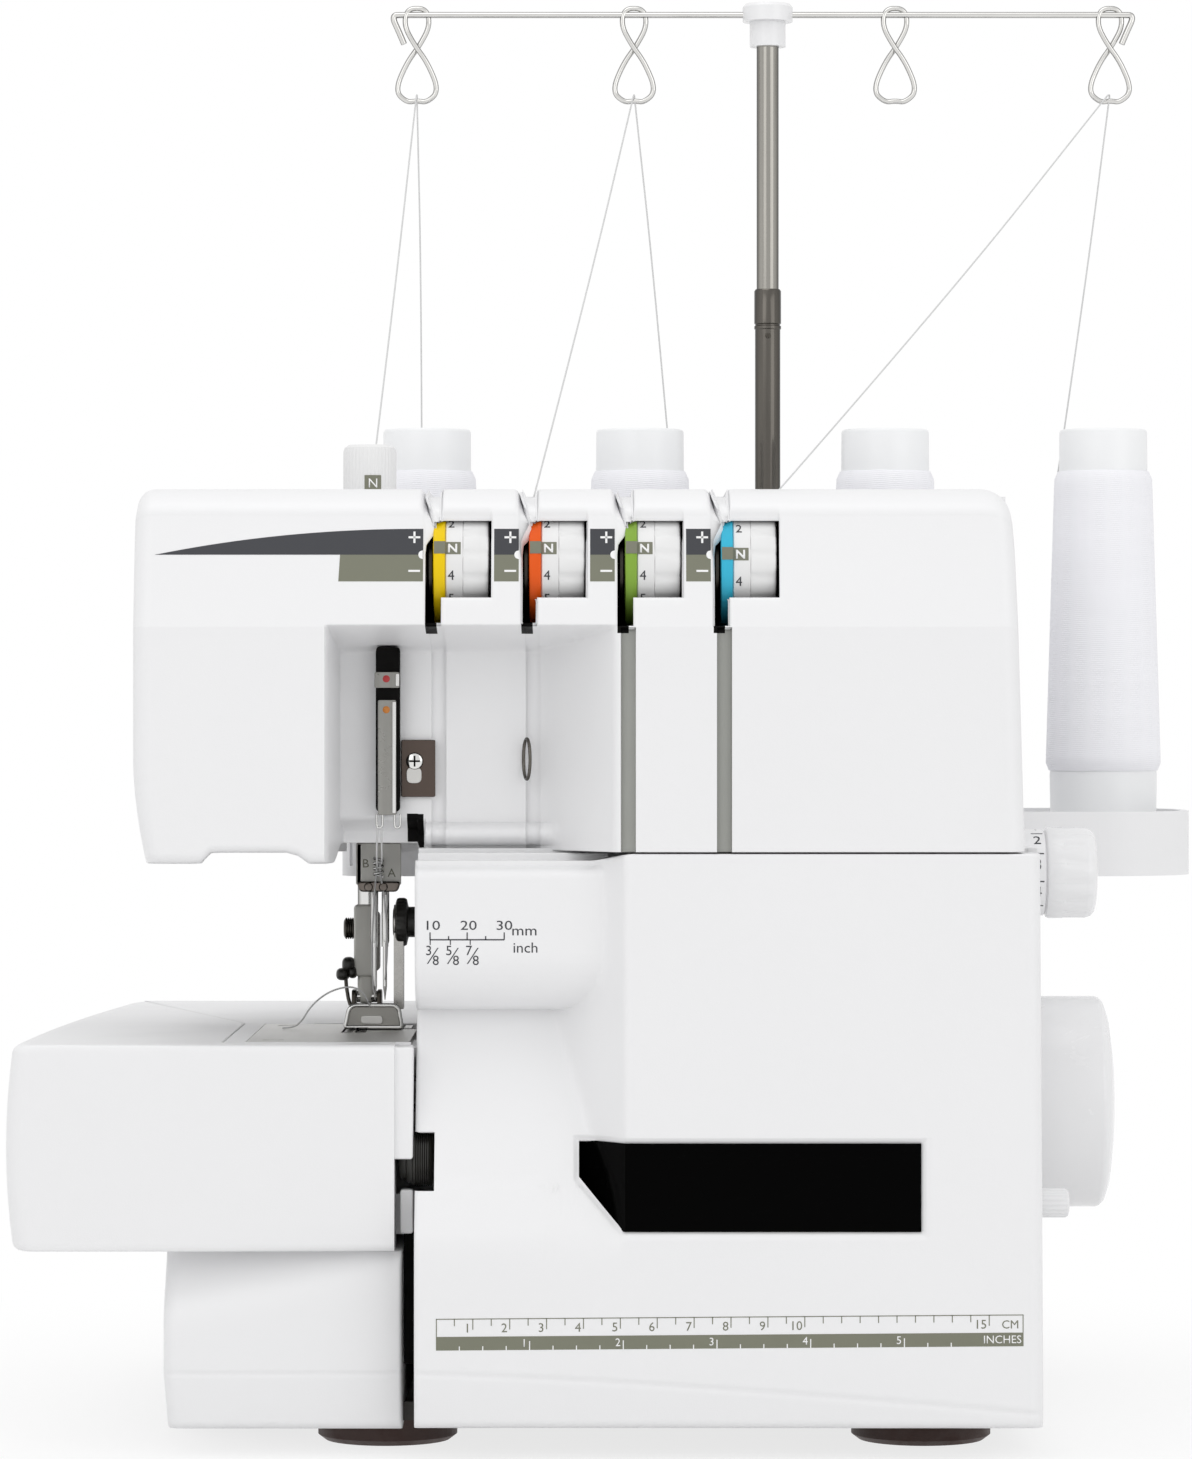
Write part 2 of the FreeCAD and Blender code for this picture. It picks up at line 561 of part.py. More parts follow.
def rear_casing():
    front = "front_y + cover_depth + run_gap"
    profile = [(front, "foot_height + pan_height + 0.1"), ("back_y", "foot_height + pan_height + 0.1"),
               ("back_y", "shelf_top"), ("shelf_y", "shelf_top"), ("shelf_y", "body_top"), (front, "body_top")]
    outer = prism("casing_outer", "X", profile, "column_left", "body_right - shell_wall - 0.1")
    soft = rounded("casing_soft", outer, 10.0, lambda middle, way: near(middle.y, size("back_y")) and (
        (along(way, "z") and near(middle.x, size("column_left")))
        or (along(way, "x") and near(middle.z, size("shelf_top")))))
    inner = [("front_y", "0"), ("back_y - shell_wall", "0"), ("back_y - shell_wall", "shelf_top - shell_wall"),
             ("shelf_y - shell_wall", "shelf_top - shell_wall"),
             ("shelf_y - shell_wall", "body_top - shell_wall"),
             ("front_y", "body_top - shell_wall")]
    hollow = prism("casing_hollow", "X", inner, "column_left + shell_wall", "body_right + 1")
    arm_way = block("casing_arm_way", ("column_left - 1", "column_left + shell_wall + 1"),
                    ("front_y", "arm_back + 0.3"), ("arm_bottom - 0.3", "bed_top + 0.3"))
    mast_way = rod("casing_mast_way", "Z", ("mast_x", "mast_y", "shelf_top - 6"), "mast_radius + 0.1", "10")
    top_way = block("casing_top_way", ("post_left - 10", "post_right + 10"),
                    ("front_y + cover_depth - 1", "post_back + 14"),
                    ("body_top - 6", "body_top + 1"))
    shell = cut("casing_shell", soft, hollow, arm_way, mast_way, top_way)
    knife_boss = rod("knife_boss", "X", ("column_left - 1.6", "knife_y", "knife_z"), "6", "3")
    knife_pin = rod("knife_pin", "X", ("knife_x + 0.1", "knife_y", "knife_z"), "knife_pin_radius",
                    "column_left - knife_x + 1")
    keep("rear_casing", join("rear_casing", shell, knife_boss, knife_pin))


def right_side_cover():
    front = "front_y + cover_depth + run_gap"
    plate = prism("side_plate", "X", [
        (front, "foot_height + 0.1"), ("back_y", "foot_height + 0.1"), ("back_y", "shelf_top"),
        ("shelf_y", "shelf_top"), ("shelf_y", "body_top"), (front, "body_top")],
        "body_right - shell_wall", "body_right")
    soft = rounded("side_soft", plate, 10.0,
                   lambda middle, way: along(way, "x") and near(middle.y, size("back_y"))
                   and near(middle.z, size("shelf_top")))
    ways = [
        rod("side_shaft_way", "X", ("body_right - 5", "shaft_y", "shaft_z"), "shaft_radius + 1", "10"),
        rod("side_length_way", "X", ("body_right - 5", "front_y + length_inset", "length_z"), "3.1", "10"),
        rod("side_differ_way", "X", ("body_right - 5", "front_y + differ_inset", "differ_z"), "2.1", "10"),
        block("side_switch_way", ("body_right - 5", "body_right + 5"), spread("switch_y", "switch_half + 0.6"),
              spread("switch_z", "switch_tall + 1")),
        block("side_inlet_way", ("body_right - 5", "body_right + 5"), spread("inlet_y", "inlet_half + run_gap"),
              spread("inlet_z", "inlet_tall + run_gap")),
    ]
    keep("right_side_cover", cut("right_side_cover", soft, *ways))


def free_arm():
    outer = block("arm_outer", ("arm_left", "arm_right"), ("arm_front", "arm_back"), ("arm_bottom", "bed_top"))
    hollow = block("arm_hollow", ("arm_left + shell_wall", "arm_right + 1"),
                   ("arm_front + shell_wall", "arm_back - shell_wall"),
                   ("arm_bottom + shell_wall", "bed_top - plate_thick - shell_wall"))
    seat = block("arm_seat", ("plate_left - 0.2", "arm_right + 1"), ("plate_front - 0.2", "plate_back + 0.2"),
                 ("bed_top - plate_thick", "bed_top + 1"))
    needle_way = block("arm_needle_way", ("needle_x - 20", "arm_right + 1"),
                       ("feed_front - 10", "plate_back + 6"),
                       ("bed_top - 8", "bed_top + 1"))
    dial_way = block("arm_dial_way", ("width_left - 3", "arm_right + 1"),
                     ("arm_front - 1", "front_y + width_inset + width_radius + run_gap + 0.1"),
                     ("width_z - 10", "width_z + 10"))
    cover_way = block("arm_cover_way", ("cover_left - 1.5", "arm_right + 1"),
                      ("arm_front - 1", "front_y + cover_depth + run_gap"), ("arm_bottom - 1", "bed_top + 1"))
    keep("free_arm", cut("free_arm", outer, hollow, seat, needle_way, dial_way, cover_way))


def stitch_plate():
    plate = block("plate_blank", ("plate_left", "plate_right"), ("plate_front", "plate_back"),
                  ("bed_top - plate_thick", "bed_top"))
    deep = ("bed_top - 5", "bed_top + 5")
    knife_way = block("plate_knife_way", ("knife_x - run_gap", "plate_right + 1"),
                      ("knife_y - 13", "plate_back + 1"), deep)
    needle_way = block("plate_needle_way", ("needle_x - 3", "needle_x + 3"),
                       ("needle_y - 1.6", "needle_y + 1.6"), deep)
    feed_ways = []
    for left in ("feed_left", "feed_right"):
        rail = f"needle_x - {left}"
        feed_ways.append(block(f"plate_{left}_way", (f"{rail} - run_gap", f"{rail} + feed_width + run_gap"),
                               ("feed_front - 5", "feed_back + 5"), deep))
    screws = [rod(f"plate_screw_{n}", "Z", ("plate_left + 7", y, "bed_top - 0.9"), "3", "3")
              for n, y in enumerate(("plate_front + 9", "plate_back - 9"), start=1)]
    heads = [rod(f"plate_screw_head_{n}", "Z", ("plate_left + 7", y, "bed_top - 0.9"), "2.9", "0.8")
             for n, y in enumerate(("plate_front + 9", "plate_back - 9"), start=1)]
    drilled = cut("plate_drilled", plate, knife_way, needle_way, *feed_ways, *screws)
    lower_knife = block("lower_knife", ("knife_x + knife_thick + 0.4", "knife_x + knife_thick + 2.4"),
                        ("knife_y - 8", "knife_y + 8"), ("bed_top - 18", "bed_top"))
    keep("stitch_plate", group("stitch_plate", drilled, lower_knife, *heads))


def extension_table():
    front = "front_y + table_front_inset"
    outer = block("table_outer", ("table_left", "table_right"), (front, "table_back"),
                  ("table_bottom", "bed_top"))
    soft = rounded("table_soft", outer, 9.0, lambda middle, way: near(middle.x, size("table_left")) and (
        along(way, "z") or (along(way, "y") and middle.z > size("arm_bottom"))))
    edge = rounded("table_edge", soft, 3.0,
                   lambda middle, way: along(way, "x") and middle.z > size("arm_bottom")
                   and middle.y < size("arm_front"))
    hollow = block("table_hollow", ("table_left + shell_wall + 1", "arm_left - 2*shell_wall"),
                   (f"{front} + shell_wall", "table_back - shell_wall"), ("0", "bed_top - shell_wall"))
    back_hollow = block("table_back_hollow", ("arm_left - 3*shell_wall", "table_right - shell_wall"),
                        ("arm_back + shell_wall + run_gap", "table_back - shell_wall"),
                        ("0", "bed_top - shell_wall"))
    arm_way = block("table_arm_way", ("arm_left - run_gap", "table_right + 1"),
                    ("arm_front - run_gap", "arm_back + run_gap"), ("0", "bed_top + 1"))
    dial_way = block("table_dial_way", ("width_left - 1", "table_right + 1"), ("front_y", "arm_front + 1"),
                     ("0", "width_z + width_radius + 1"))
    keep("extension_table", cut("extension_table", edge, hollow, back_hollow, arm_way, dial_way))


# ---- head ----

def head_form(name, start, end, inset):
    """The head's outside, or its inside when inset by a wall: face, lean, round and top."""
    face = f"front_y + {inset}"
    shoulder = f"front_y + head_lean + {inset}"
    top = f"head_top - {inset}"
    back = f"front_y + head_depth - {inset}"
    bottom = "head_bottom" if inset == "0" else "head_bottom - 1"
    return prism(name, "X", [
        (face, bottom), (face, "head_break"), (shoulder, "head_top - head_crown"),
        ("front_y + head_lean + 0.18*head_round + " + inset, f"{top} - 0.3*head_crown"),
        ("front_y + head_lean + 0.75*head_round", top),
        (back, top), (back, bottom)], start, end)


def recess_form(name, grow, low):
    """The space cut out of the head's face around the take-up slot, or that space grown by a wall."""
    plan = prism(name + "_plan", "Z", [
        (f"recess_left - {grow}", "front_y - 1"), (f"recess_left - {grow}", f"front_y + recess_depth + {grow}"),
        (f"recess_right_back + {grow}", f"front_y + recess_depth + {grow}"),
        (f"recess_right_front + {grow}", f"front_y + {grow}"), (f"recess_right_front + {grow}", "front_y - 1")],
        low, "head_top")
    side = prism(name + "_side", "X", [
        ("front_y - 2", "0"), ("front_y + recess_depth + 6", "0"),
        ("front_y + recess_depth + 6", f"head_break - 1.2*recess_drop + {grow}"),
        ("front_y - 2", f"head_break + 0.07*recess_drop + {grow}")], "head_left - 1", "head_right + 1")
    return common(name, plan, side)


def head_blank(name):
    """The head's outside with its side edges rounded and its right half seated on the body."""
    form = head_form(name + "_form", "head_left", "head_right", "0")
    soft = rounded(name + "_soft", form, 5.0, lambda middle, way: near(middle.x, size("head_left"))
                   and (along(way, "z") or along(way, "y")))
    seat = block(name + "_seat", ("column_left - 0.3", "head_right + 1"),
                 ("front_y - 1", "front_y + head_depth + 1"),
                 ("head_bottom - 1", "body_top + 0.3"))
    return cut(name, soft, seat)


def head_hollow(name):
    return head_form(name, "head_left + shell_wall", "head_right - shell_wall", "shell_wall")


def dial_left(number):
    return f"dial_first_x + {number}*dial_pitch"


def upper_front_cover():
    front_half = block("head_front_half", ("head_left - 1", "head_right + 1"),
                       ("front_y - 1", "front_y + head_split"),
                       ("0", "head_top + 1"))
    blank = common("head_front_blank", head_blank("head_front"), front_half)
    inside = cut("head_front_inside", head_hollow("head_front_hollow"),
                 recess_form("recess_skin", "shell_wall", "head_bottom + 3"))
    ways = [inside, recess_form("recess_space", "0", "0")]
    for number in range(int(size("dial_count"))):
        left = dial_left(number)
        ways += [
            block(f"window_{number + 1}", (f"{left} - 0.5", f"{left} + ring_width + drum_width + 0.6"),
                  ("front_y - 1", "front_y + dial_inset"), ("dial_z - window_below", "dial_z + window_above")),
            block(f"ring_way_{number + 1}", (f"{left} - 0.5", f"{left} + ring_width + 0.4"),
                  ("front_y - 1", "front_y + dial_inset"), ("head_break - 0.4", "dial_z + window_above + 1.2")),
            block(f"slot_{number + 1}", (f"{left} - 0.8", f"{left} - 0.8 + slot_width"),
                  ("front_y - 1", "front_y + slot_depth"), ("dial_z + window_above - 1", "head_top + 1")),
        ]
        if number > 1:
            ways.append(block(f"groove_{number + 1}", (f"{left} - 0.8", f"{left} + 3"),
                              ("front_y - 1", "front_y + 1.5"), ("head_bottom", "head_break")))
    ways.append(rod("pressure_way", "Z", ("pressure_x", "front_y + pressure_inset", "head_top - 5"), "4.4",
                    "8"))
    back_wall = ("front_y + recess_depth - 1", "front_y + recess_depth + 5")
    ways.append(block("take_up_way", ("take_up_left + 0.5", "take_up_right - 0.5"), back_wall,
                      ("take_up_high", "head_break - recess_drop - 0.6")))
    ways.append(block("lower_way", ("lower_slot_left", "lower_slot_right"), back_wall,
                      ("lower_slot_low", "lower_slot_high")))
    keep("upper_front_cover", cut("upper_front_cover", blank, *ways))


def head_rear_cover():
    rear_half = block("head_rear_half", ("head_left - 1", "head_right + 1"),
                      ("front_y + head_split", "front_y + head_depth + 1"), ("0", "head_top + 1"))
    blank = common("head_rear_blank", head_blank("head_rear"), rear_half)
    lever_way = block("lifter_way", ("presser_x - 8", "presser_x + 8"), ("0", "front_y + head_depth + 1"),
                      ("0", "arm_low"))
    keep("head_rear_cover", cut("head_rear_cover", blank, head_hollow("head_rear_hollow"), lever_way))


def take_up_cover():
    front = "front_y + recess_depth - take_up_proud"
    back = "front_y + recess_depth"
    shell = block("take_up_shell", ("take_up_left", "take_up_right"), (front, back),
                  ("take_up_low", "take_up_high"))
    hollow = block("take_up_hollow", ("take_up_left + take_up_wall", "take_up_right - take_up_wall"),
                   (f"{front} + take_up_wall", f"{back} + 1"), ("take_up_low - 1", "take_up_high - 7.6"))
    gap = block("take_up_gap", ("take_up_left - 1", "take_up_right + 1"), (f"{front} - 1", f"{front} + 3"),
                ("take_up_high - 7.4", "take_up_high - 5"))
    keep("take_up_cover", cut("take_up_cover", shell, hollow, gap))


def thread_guides():
    """The small guide plate with its screw, and the wire eyelet beside it."""
    wall = "front_y + recess_depth"
    plate = block("guide_plate_blank", ("guide_left", "guide_right"), (f"{wall} - 1.2", wall),
                  ("guide_low", "guide_high"))
    notch = block("guide_plate_notch", ("guide_right - 4.4", "guide_right - 1.8"),
                  (f"{wall} - 2", f"{wall} + 1"),
                  ("guide_low - 1", "guide_high - 6.9"))
    head = rod("guide_screw", "Y", ("guide_left + 3.2", f"{wall} - 2.6", "guide_high - 5.7"), "2.6", "1.4")
    root = size("front_y") + size("recess_depth") - 0.15
    front = root - size("eyelet_reach")
    x, low, high = size("eyelet_x"), size("eyelet_low"), size("eyelet_high")
    eye = pipe([Vector(x, root, high), Vector(x, front + 2, high + 0.6), Vector(x - 1.6, front, high - 3.6),
                Vector(x - 1.6, front, low + 1.8), Vector(x - 0.4, front + 1.4, low - 0.6),
                Vector(x, root, low)],
               size("wire_radius") * 0.8)
    keep("thread_guides", group("thread_guides", cut("guide_plate", plate, notch), head,
                                shaped("thread_eyelet", eye)))


def pressure_dial():
    at = ("pressure_x", "front_y + pressure_inset", "0")
    top = "head_top + pressure_rise"
    keep("pressure_dial", turned("pressure_dial", "Z", at, [
        ("0", "head_top - 14"), ("4", "head_top - 14"), ("4", "head_top + run_gap"),
        ("pressure_radius", "head_top + run_gap"), ("pressure_radius", f"{top} - 0.8"),
        ("pressure_radius - 0.8", top), ("0", top)]))


def tension_dials():
    axis_y, axis_z = "front_y + dial_inset", "dial_z"
    discs = []
    for number in range(int(size("dial_count"))):
        left = dial_left(number)
        at = (left, axis_y, axis_z)
        bore = "spindle_radius + fit_gap"
        keep(f"tension_ring_{number + 1}", turned(f"tension_ring_{number + 1}", "X", at, [
            (bore, "0"), ("ring_radius", "0"), ("ring_radius", "ring_width"), (bore, "ring_width")]))
        keep(f"tension_dial_{number + 1}", turned(f"tension_dial_{number + 1}", "X", at, [
            (bore, "ring_width"), ("drum_radius", "ring_width"),
            ("drum_radius", "ring_width + drum_width - 0.8"),
            ("drum_radius - 0.8", "ring_width + drum_width"), (bore, "ring_width + drum_width")]))
        for place in ("-1.3", "-2.8"):
            disc_at = (f"{left} {place}", axis_y, axis_z)
            discs.append(turned(f"disc_{len(discs) + 1}", "X", disc_at, [
                (bore, "0"), ("disc_radius", "0"), ("disc_radius", "disc_thick"), (bore, "disc_thick")]))
    keep("tension_discs", group("tension_discs", *discs))


def tension_bracket():
    """The plate behind the dials, with one upright and spindle for each."""
    last = dial_left(int(size("dial_count")) - 1)
    back_front = "front_y + dial_inset + ring_radius + 2"
    pieces = [
        block("bracket_back", ("dial_first_x - 6", f"{last} + ring_width + drum_width + 4"),
              (back_front, f"{back_front} + 3"), ("dial_z - 10", "dial_z + 10")),
        block("bracket_web", ("post_left + 5", "post_right - 5"), (f"{back_front} + 2", "post_front"),
              ("dial_z - 10", "dial_z - 2")),
    ]
    for number in range(int(size("dial_count"))):
        left = dial_left(number)
        upright = f"{left} + ring_width + drum_width + run_gap"
        pieces.append(block(f"upright_{number + 1}", (upright, f"{upright} + 2.5"),
                            ("front_y + dial_inset - 6", f"{back_front} + 1"), ("dial_z - 9", "dial_z + 9")))
        pieces.append(rod(f"spindle_{number + 1}", "X", (f"{left} - 4.4", "front_y + dial_inset", "dial_z"),
                          "spindle_radius", "ring_width + drum_width + run_gap + 5"))
    keep("tension_bracket", join("tension_bracket", *pieces))


# ---- needle, presser foot and knives ----

def needle_bar_group():
    bar_top = "head_bottom + 78"
    keep("needle_bar",
         rod("needle_bar", "Z", ("needle_x", "needle_y", "clamp_bottom + clamp_height"), "bar_radius",
                           f"{bar_top} - clamp_bottom - clamp_height"))
    clamp = block("clamp_block", ("needle_x - 5", "knife_x - run_gap"), ("needle_y - 4", "needle_y + 4"),
                  ("clamp_bottom", "clamp_bottom + clamp_height"))
    plate = block("clamp_plate", ("needle_x - 6.5", "needle_x + 6"), ("needle_y - 5.6", "needle_y - 4"),
                  ("clamp_bottom + 0.5", "clamp_bottom + 20"))
    screws = [rod(f"clamp_screw_{n}", "Y", (x, "needle_y - 7.4", "clamp_bottom + 3"), "1.5", "1.8")
              for n, x in enumerate(("needle_x - 3.2", "needle_x + 2.2"), start=1)]
    keep("needle_clamp", group("needle_clamp", join("clamp_body", clamp, plate), *screws))
    needles = []
    for n, side in enumerate(("-", "+"), start=1):
        x = f"needle_x {side} needle_half_pitch"
        shank = rod(f"needle_shank_{n}", "Z", (x, "needle_y", "clamp_bottom - 10"), "1.0", "10")
        blade = rod(f"needle_blade_{n}", "Z", (x, "needle_y", "needle_tip + 4"), "needle_radius",
                    "clamp_bottom - 10 - needle_tip - 4")
        point = rod(f"needle_point_{n}", "Z", (x, "needle_y", "needle_tip"), "0.12", "4", "needle_radius")
        needles.append(join(f"needle_{n}", shank, blade, point))
    keep("needles", group("needles", *needles))


def presser_group():
    keep("presser_bar", rod("presser_bar", "Z", ("presser_x", "presser_y", "ankle_top"), "bar_radius",
                            "head_bottom + 83 - ankle_top"))
    ankle = block("ankle_block", ("presser_x - ankle_width/2", "presser_x + ankle_width/2"),
                  ("presser_y - 5", "presser_y + 5"), ("ankle_bottom", "ankle_top"))
    fork = block("ankle_fork", ("presser_x - 2.2", "presser_x + 2.2"), ("presser_y - 3", "presser_y + 3"),
                 ("pivot_z - 2.6", "ankle_bottom"))
    eye = rod("ankle_eye", "X", ("presser_x - 3", "presser_y", "pivot_z"), "pivot_radius + fit_gap", "6")
    screw = rod("ankle_screw", "X", ("presser_x - ankle_width/2 - 2.4", "presser_y", "ankle_top - 10"),
                "3.2", "2.4")
    lever = block("release_lever", ("presser_x - ankle_width/2 - 5.5", "presser_x - ankle_width/2"),
                  ("presser_y - 8", "presser_y + 3"), ("ankle_bottom + 1.5", "ankle_bottom + 8"))
    body = cut("ankle_body", join("ankle_solid", ankle, fork), eye)
    keep("presser_ankle", group("presser_ankle", body, screw, lever))
    sole_top = "bed_top + 0.3 + sole_thick"
    sole = prism("foot_sole", "X", [
        ("sole_front", "bed_top + 2.4"), ("sole_front + 3", "bed_top + 0.3"),
        ("sole_back - 3", "bed_top + 0.3"),
        ("sole_back", "bed_top + 1.4"), ("sole_back", sole_top), ("sole_front + 4", sole_top),
        ("sole_front", "bed_top + 6.4"), ("sole_front - 1", "bed_top + 6.2")], "sole_left", "sole_right")
    knife_side = block("foot_knife_side", ("knife_x - 2*run_gap", "sole_right + 1"), ("sole_front + 9", "0"),
                       ("bed_top", "bed_top + 20"))
    needle_way = block("foot_needle_way", ("needle_x - 3.2", "needle_x + 2.6"),
                       ("needle_y - 5", "needle_y + 3.5"),
                       ("bed_top", "bed_top + 20"))
    toe_slot = block("foot_toe_slot", ("needle_x - 4.5", "needle_x + 1.5"),
                     ("sole_front - 2", "sole_front + 3.4"),
                     ("bed_top + 3.4", "bed_top + 5.2"))
    blank = cut("foot_blank", sole, knife_side, needle_way, toe_slot)
    cheeks = [block(f"foot_cheek_{n}", (x, f"{x} + 1.4"), ("presser_y - 3", "presser_y + 3"),
                    (f"{sole_top} - 0.5", "pivot_z + 2"))
              for n, x in enumerate(("presser_x - 4.2", "presser_x + 2.8"), start=1)]
    pin = rod("foot_pin", "X", ("presser_x - 4.2", "presser_y", "pivot_z"), "pivot_radius", "8.4")
    keep("presser_foot", join("presser_foot", blank, *cheeks, pin))


def foot_lifter():
    hub = rod("lifter_hub", "X", ("presser_x - 6", "0", "lifter_z"), "4", "12")
    arm = block("lifter_arm", ("presser_x - 5", "presser_x + 5"), ("0", "lifter_reach"),
                ("lifter_z - 2", "lifter_z + 2"))
    bore = rod("lifter_bore", "X", ("presser_x - 7", "0", "lifter_z"), "2 + fit_gap", "14")
    solid = join("lifter_solid", hub, arm)
    keep("foot_lifter", cut("foot_lifter", solid, bore))


def knife_group():
    arm = block("knife_arm_blank", ("knife_x", "knife_x + knife_thick"), ("knife_y - 4", "knife_y + 4"),
                ("knife_low + 8", "knife_z"))
    blade = prism("knife_blade", "X", [
        ("knife_y - 4", "knife_low"), ("knife_y + 4", "knife_low + 1.5"), ("knife_y + 4", "knife_low + 9"),
        ("knife_y - 4", "knife_low + 9")], "knife_x", "knife_x + 1.2")
    hub = rod("knife_hub", "X", ("knife_x", "knife_y", "knife_z"), "5", "knife_thick")
    bore = rod("knife_bore", "X", ("knife_x - 1", "knife_y", "knife_z"), "knife_pin_radius + fit_gap", "12")
    keep("upper_knife", cut("upper_knife", join("knife_solid", arm, blade, hub), bore))
    start = "knife_x + knife_thick"
    keep("knife_knob", turned("knife_knob", "X", (start, "knife_y", "knife_z"), [
        ("knife_pin_radius + fit_gap", "0"), ("7", "0"), ("7", "2.6"), ("4.6", "2.6"), ("4.6", "4.6"),
        ("knife_pin_radius + fit_gap", "4.6")]))


def feed_dogs():
    rails, gaps = [], []
    deep = ("bed_top - tooth_gap", "bed_top + 1")
    for left in ("feed_left", "feed_right"):
        rail = f"needle_x - {left}"
        rails.append(block(f"{left}_rail", (rail, f"{rail} + feed_width"), ("feed_front", "feed_back"),
                           ("feed_low", "bed_top - run_gap")))
        for step in range(int(size("tooth_count"))):
            front = f"feed_front + 1 + {step}*tooth_pitch"
            gaps.append(block(f"{left}_gap_{step}", (f"{rail} - 1", f"{rail} + feed_width + 1"),
                              (front, f"{front} + tooth_gap"), deep))
    bridge = block("feed_bridge", ("needle_x - feed_left", "cast_left + 9"), ("feed_back - 6", "feed_back"),
                   ("feed_low", "feed_low + 6"))
    keep("feed_dogs", cut("feed_dogs", join("feed_solid", *rails, bridge), group("feed_tooth_gaps", *gaps)))


def looper(name, blade_inset):
    """One looper: a hub on its pin, an upright arm, and a blade that runs left to a fine tip."""
    x, y, z = f"{name}_x", f"{name}_y", f"{name}_z"
    top = f"{z} + {name}_rise"
    blade_front = f"{y} + {blade_inset}"
    hub = rod(name + "_hub", "Y", (x, y, z), "looper_hub_radius", "looper_hub_width")
    arm = block(name + "_arm", (f"{x} - 3", f"{x} + 2"), (f"{y} + 2", f"{y} + 2 + looper_thick"), (z, top))
    blade = block(name + "_blade", ("looper_root_x", f"{x} + 2"), (blade_front, f"{blade_front} + 2.5"),
                  (f"{top} - looper_thick", top))
    tip = rod(name + "_tip", "X", ("looper_tip_x", f"{blade_front} + 1.3", f"{top} - looper_thick/2"), "0.4",
              "looper_root_x - looper_tip_x + 0.5", "1.3")
    bore = rod(name + "_bore", "Y", (x, f"{y} - 1", z), "looper_pin_radius + fit_gap", "looper_hub_width + 2")
    keep(name, cut(name, join(name + "_solid", hub, arm, blade, tip), bore))


def loopers():
    looper("upper_looper", "2.5")
    looper("lower_looper", "2.5")


# ---- looper cover ----

def cover_form(name, inset, left, right, low, high):
    """The looper cover's outside, or the same surface moved back by a wall to make its inside."""
    face = f"front_y + {inset}"
    back = f"front_y + cover_depth + {inset}"
    slab = block(name + "_slab", (left, right), (face, back), (low, high))
    recess = prism(name + "_recess", "Z", [
        ("cover_left - 2", f"{face} - 1"), ("cover_left - 2", f"{back} + 1"),
        ("facet_back_x - 0.77", f"{back} + 1"), ("facet_front_x + 0.77", f"{face} - 1")], "0", f"{high} + 1")
    below = prism(name + "_below", "X", [
        (f"{face} - 2", "0"), (f"{back} + 2", "0"), (f"{back} + 2", "scoop_top + 5"),
        (f"{back}", "scoop_top"), (face, "scoop_low"), (f"{face} - 2", "scoop_low - 5")],
        "cover_left - 3", "facet_front_x + 3")
    bulge = block(name + "_bulge", (left, "bulge_right"), (f"{face} + bulge_inset", back),
                  ("scoop_top", "bulge_top"))
    soft = rounded(name + "_bulge_soft", bulge, size("bulge_round"),
                   lambda middle, way: along(way, "x") and middle.z < size("scoop_top") + 1
                   and middle.y < size("front_y") + size("cover_depth"))
    crest = rounded(name + "_bulge_crest", soft, 4.0,
                    lambda middle, way: along(way, "x") and near(middle.z, size("bulge_top"))
                    and middle.y < size("front_y") + size("cover_depth"))
    return join(name, cut(name + "_scooped", slab, cut(name + "_scoop", recess, below)), crest)


def glass_form(name, grow, thick):
    """The window's panel, bent where the facet meets the face; grow widens it into its opening."""
    face = "front_y + glass_inset"
    fall = "(facet_front_x - glass_left)*1.302"
    plan = prism(name + "_plan", "Z", [
        (f"glass_right + {grow}", face), (f"glass_right + {grow}", f"{face} + {thick}"),
        (f"facet_front_x + 1.1", f"{face} + {thick}"),
        (f"glass_left + 2.6 - {grow}", f"{face} + {thick} + {fall} - 1.4 + 1.302*{grow}"),
        (f"glass_left - {grow}", f"{face} + {fall} + 1.302*{grow}"), ("facet_front_x", face)],
        f"glass_low - {grow}", f"glass_high + {grow}")
    corner = prism(name + "_corner", "Y", [
        ("glass_left - 3", "glass_low - 3"), ("facet_front_x - 0.5", f"glass_low - {grow}"),
        ("glass_left - 3", f"glass_low + 0.6*glass_high - 0.6*glass_low - {grow}")],
        "front_y - 5", "front_y + cover_depth + 5")
    return cut(name, plan, corner)


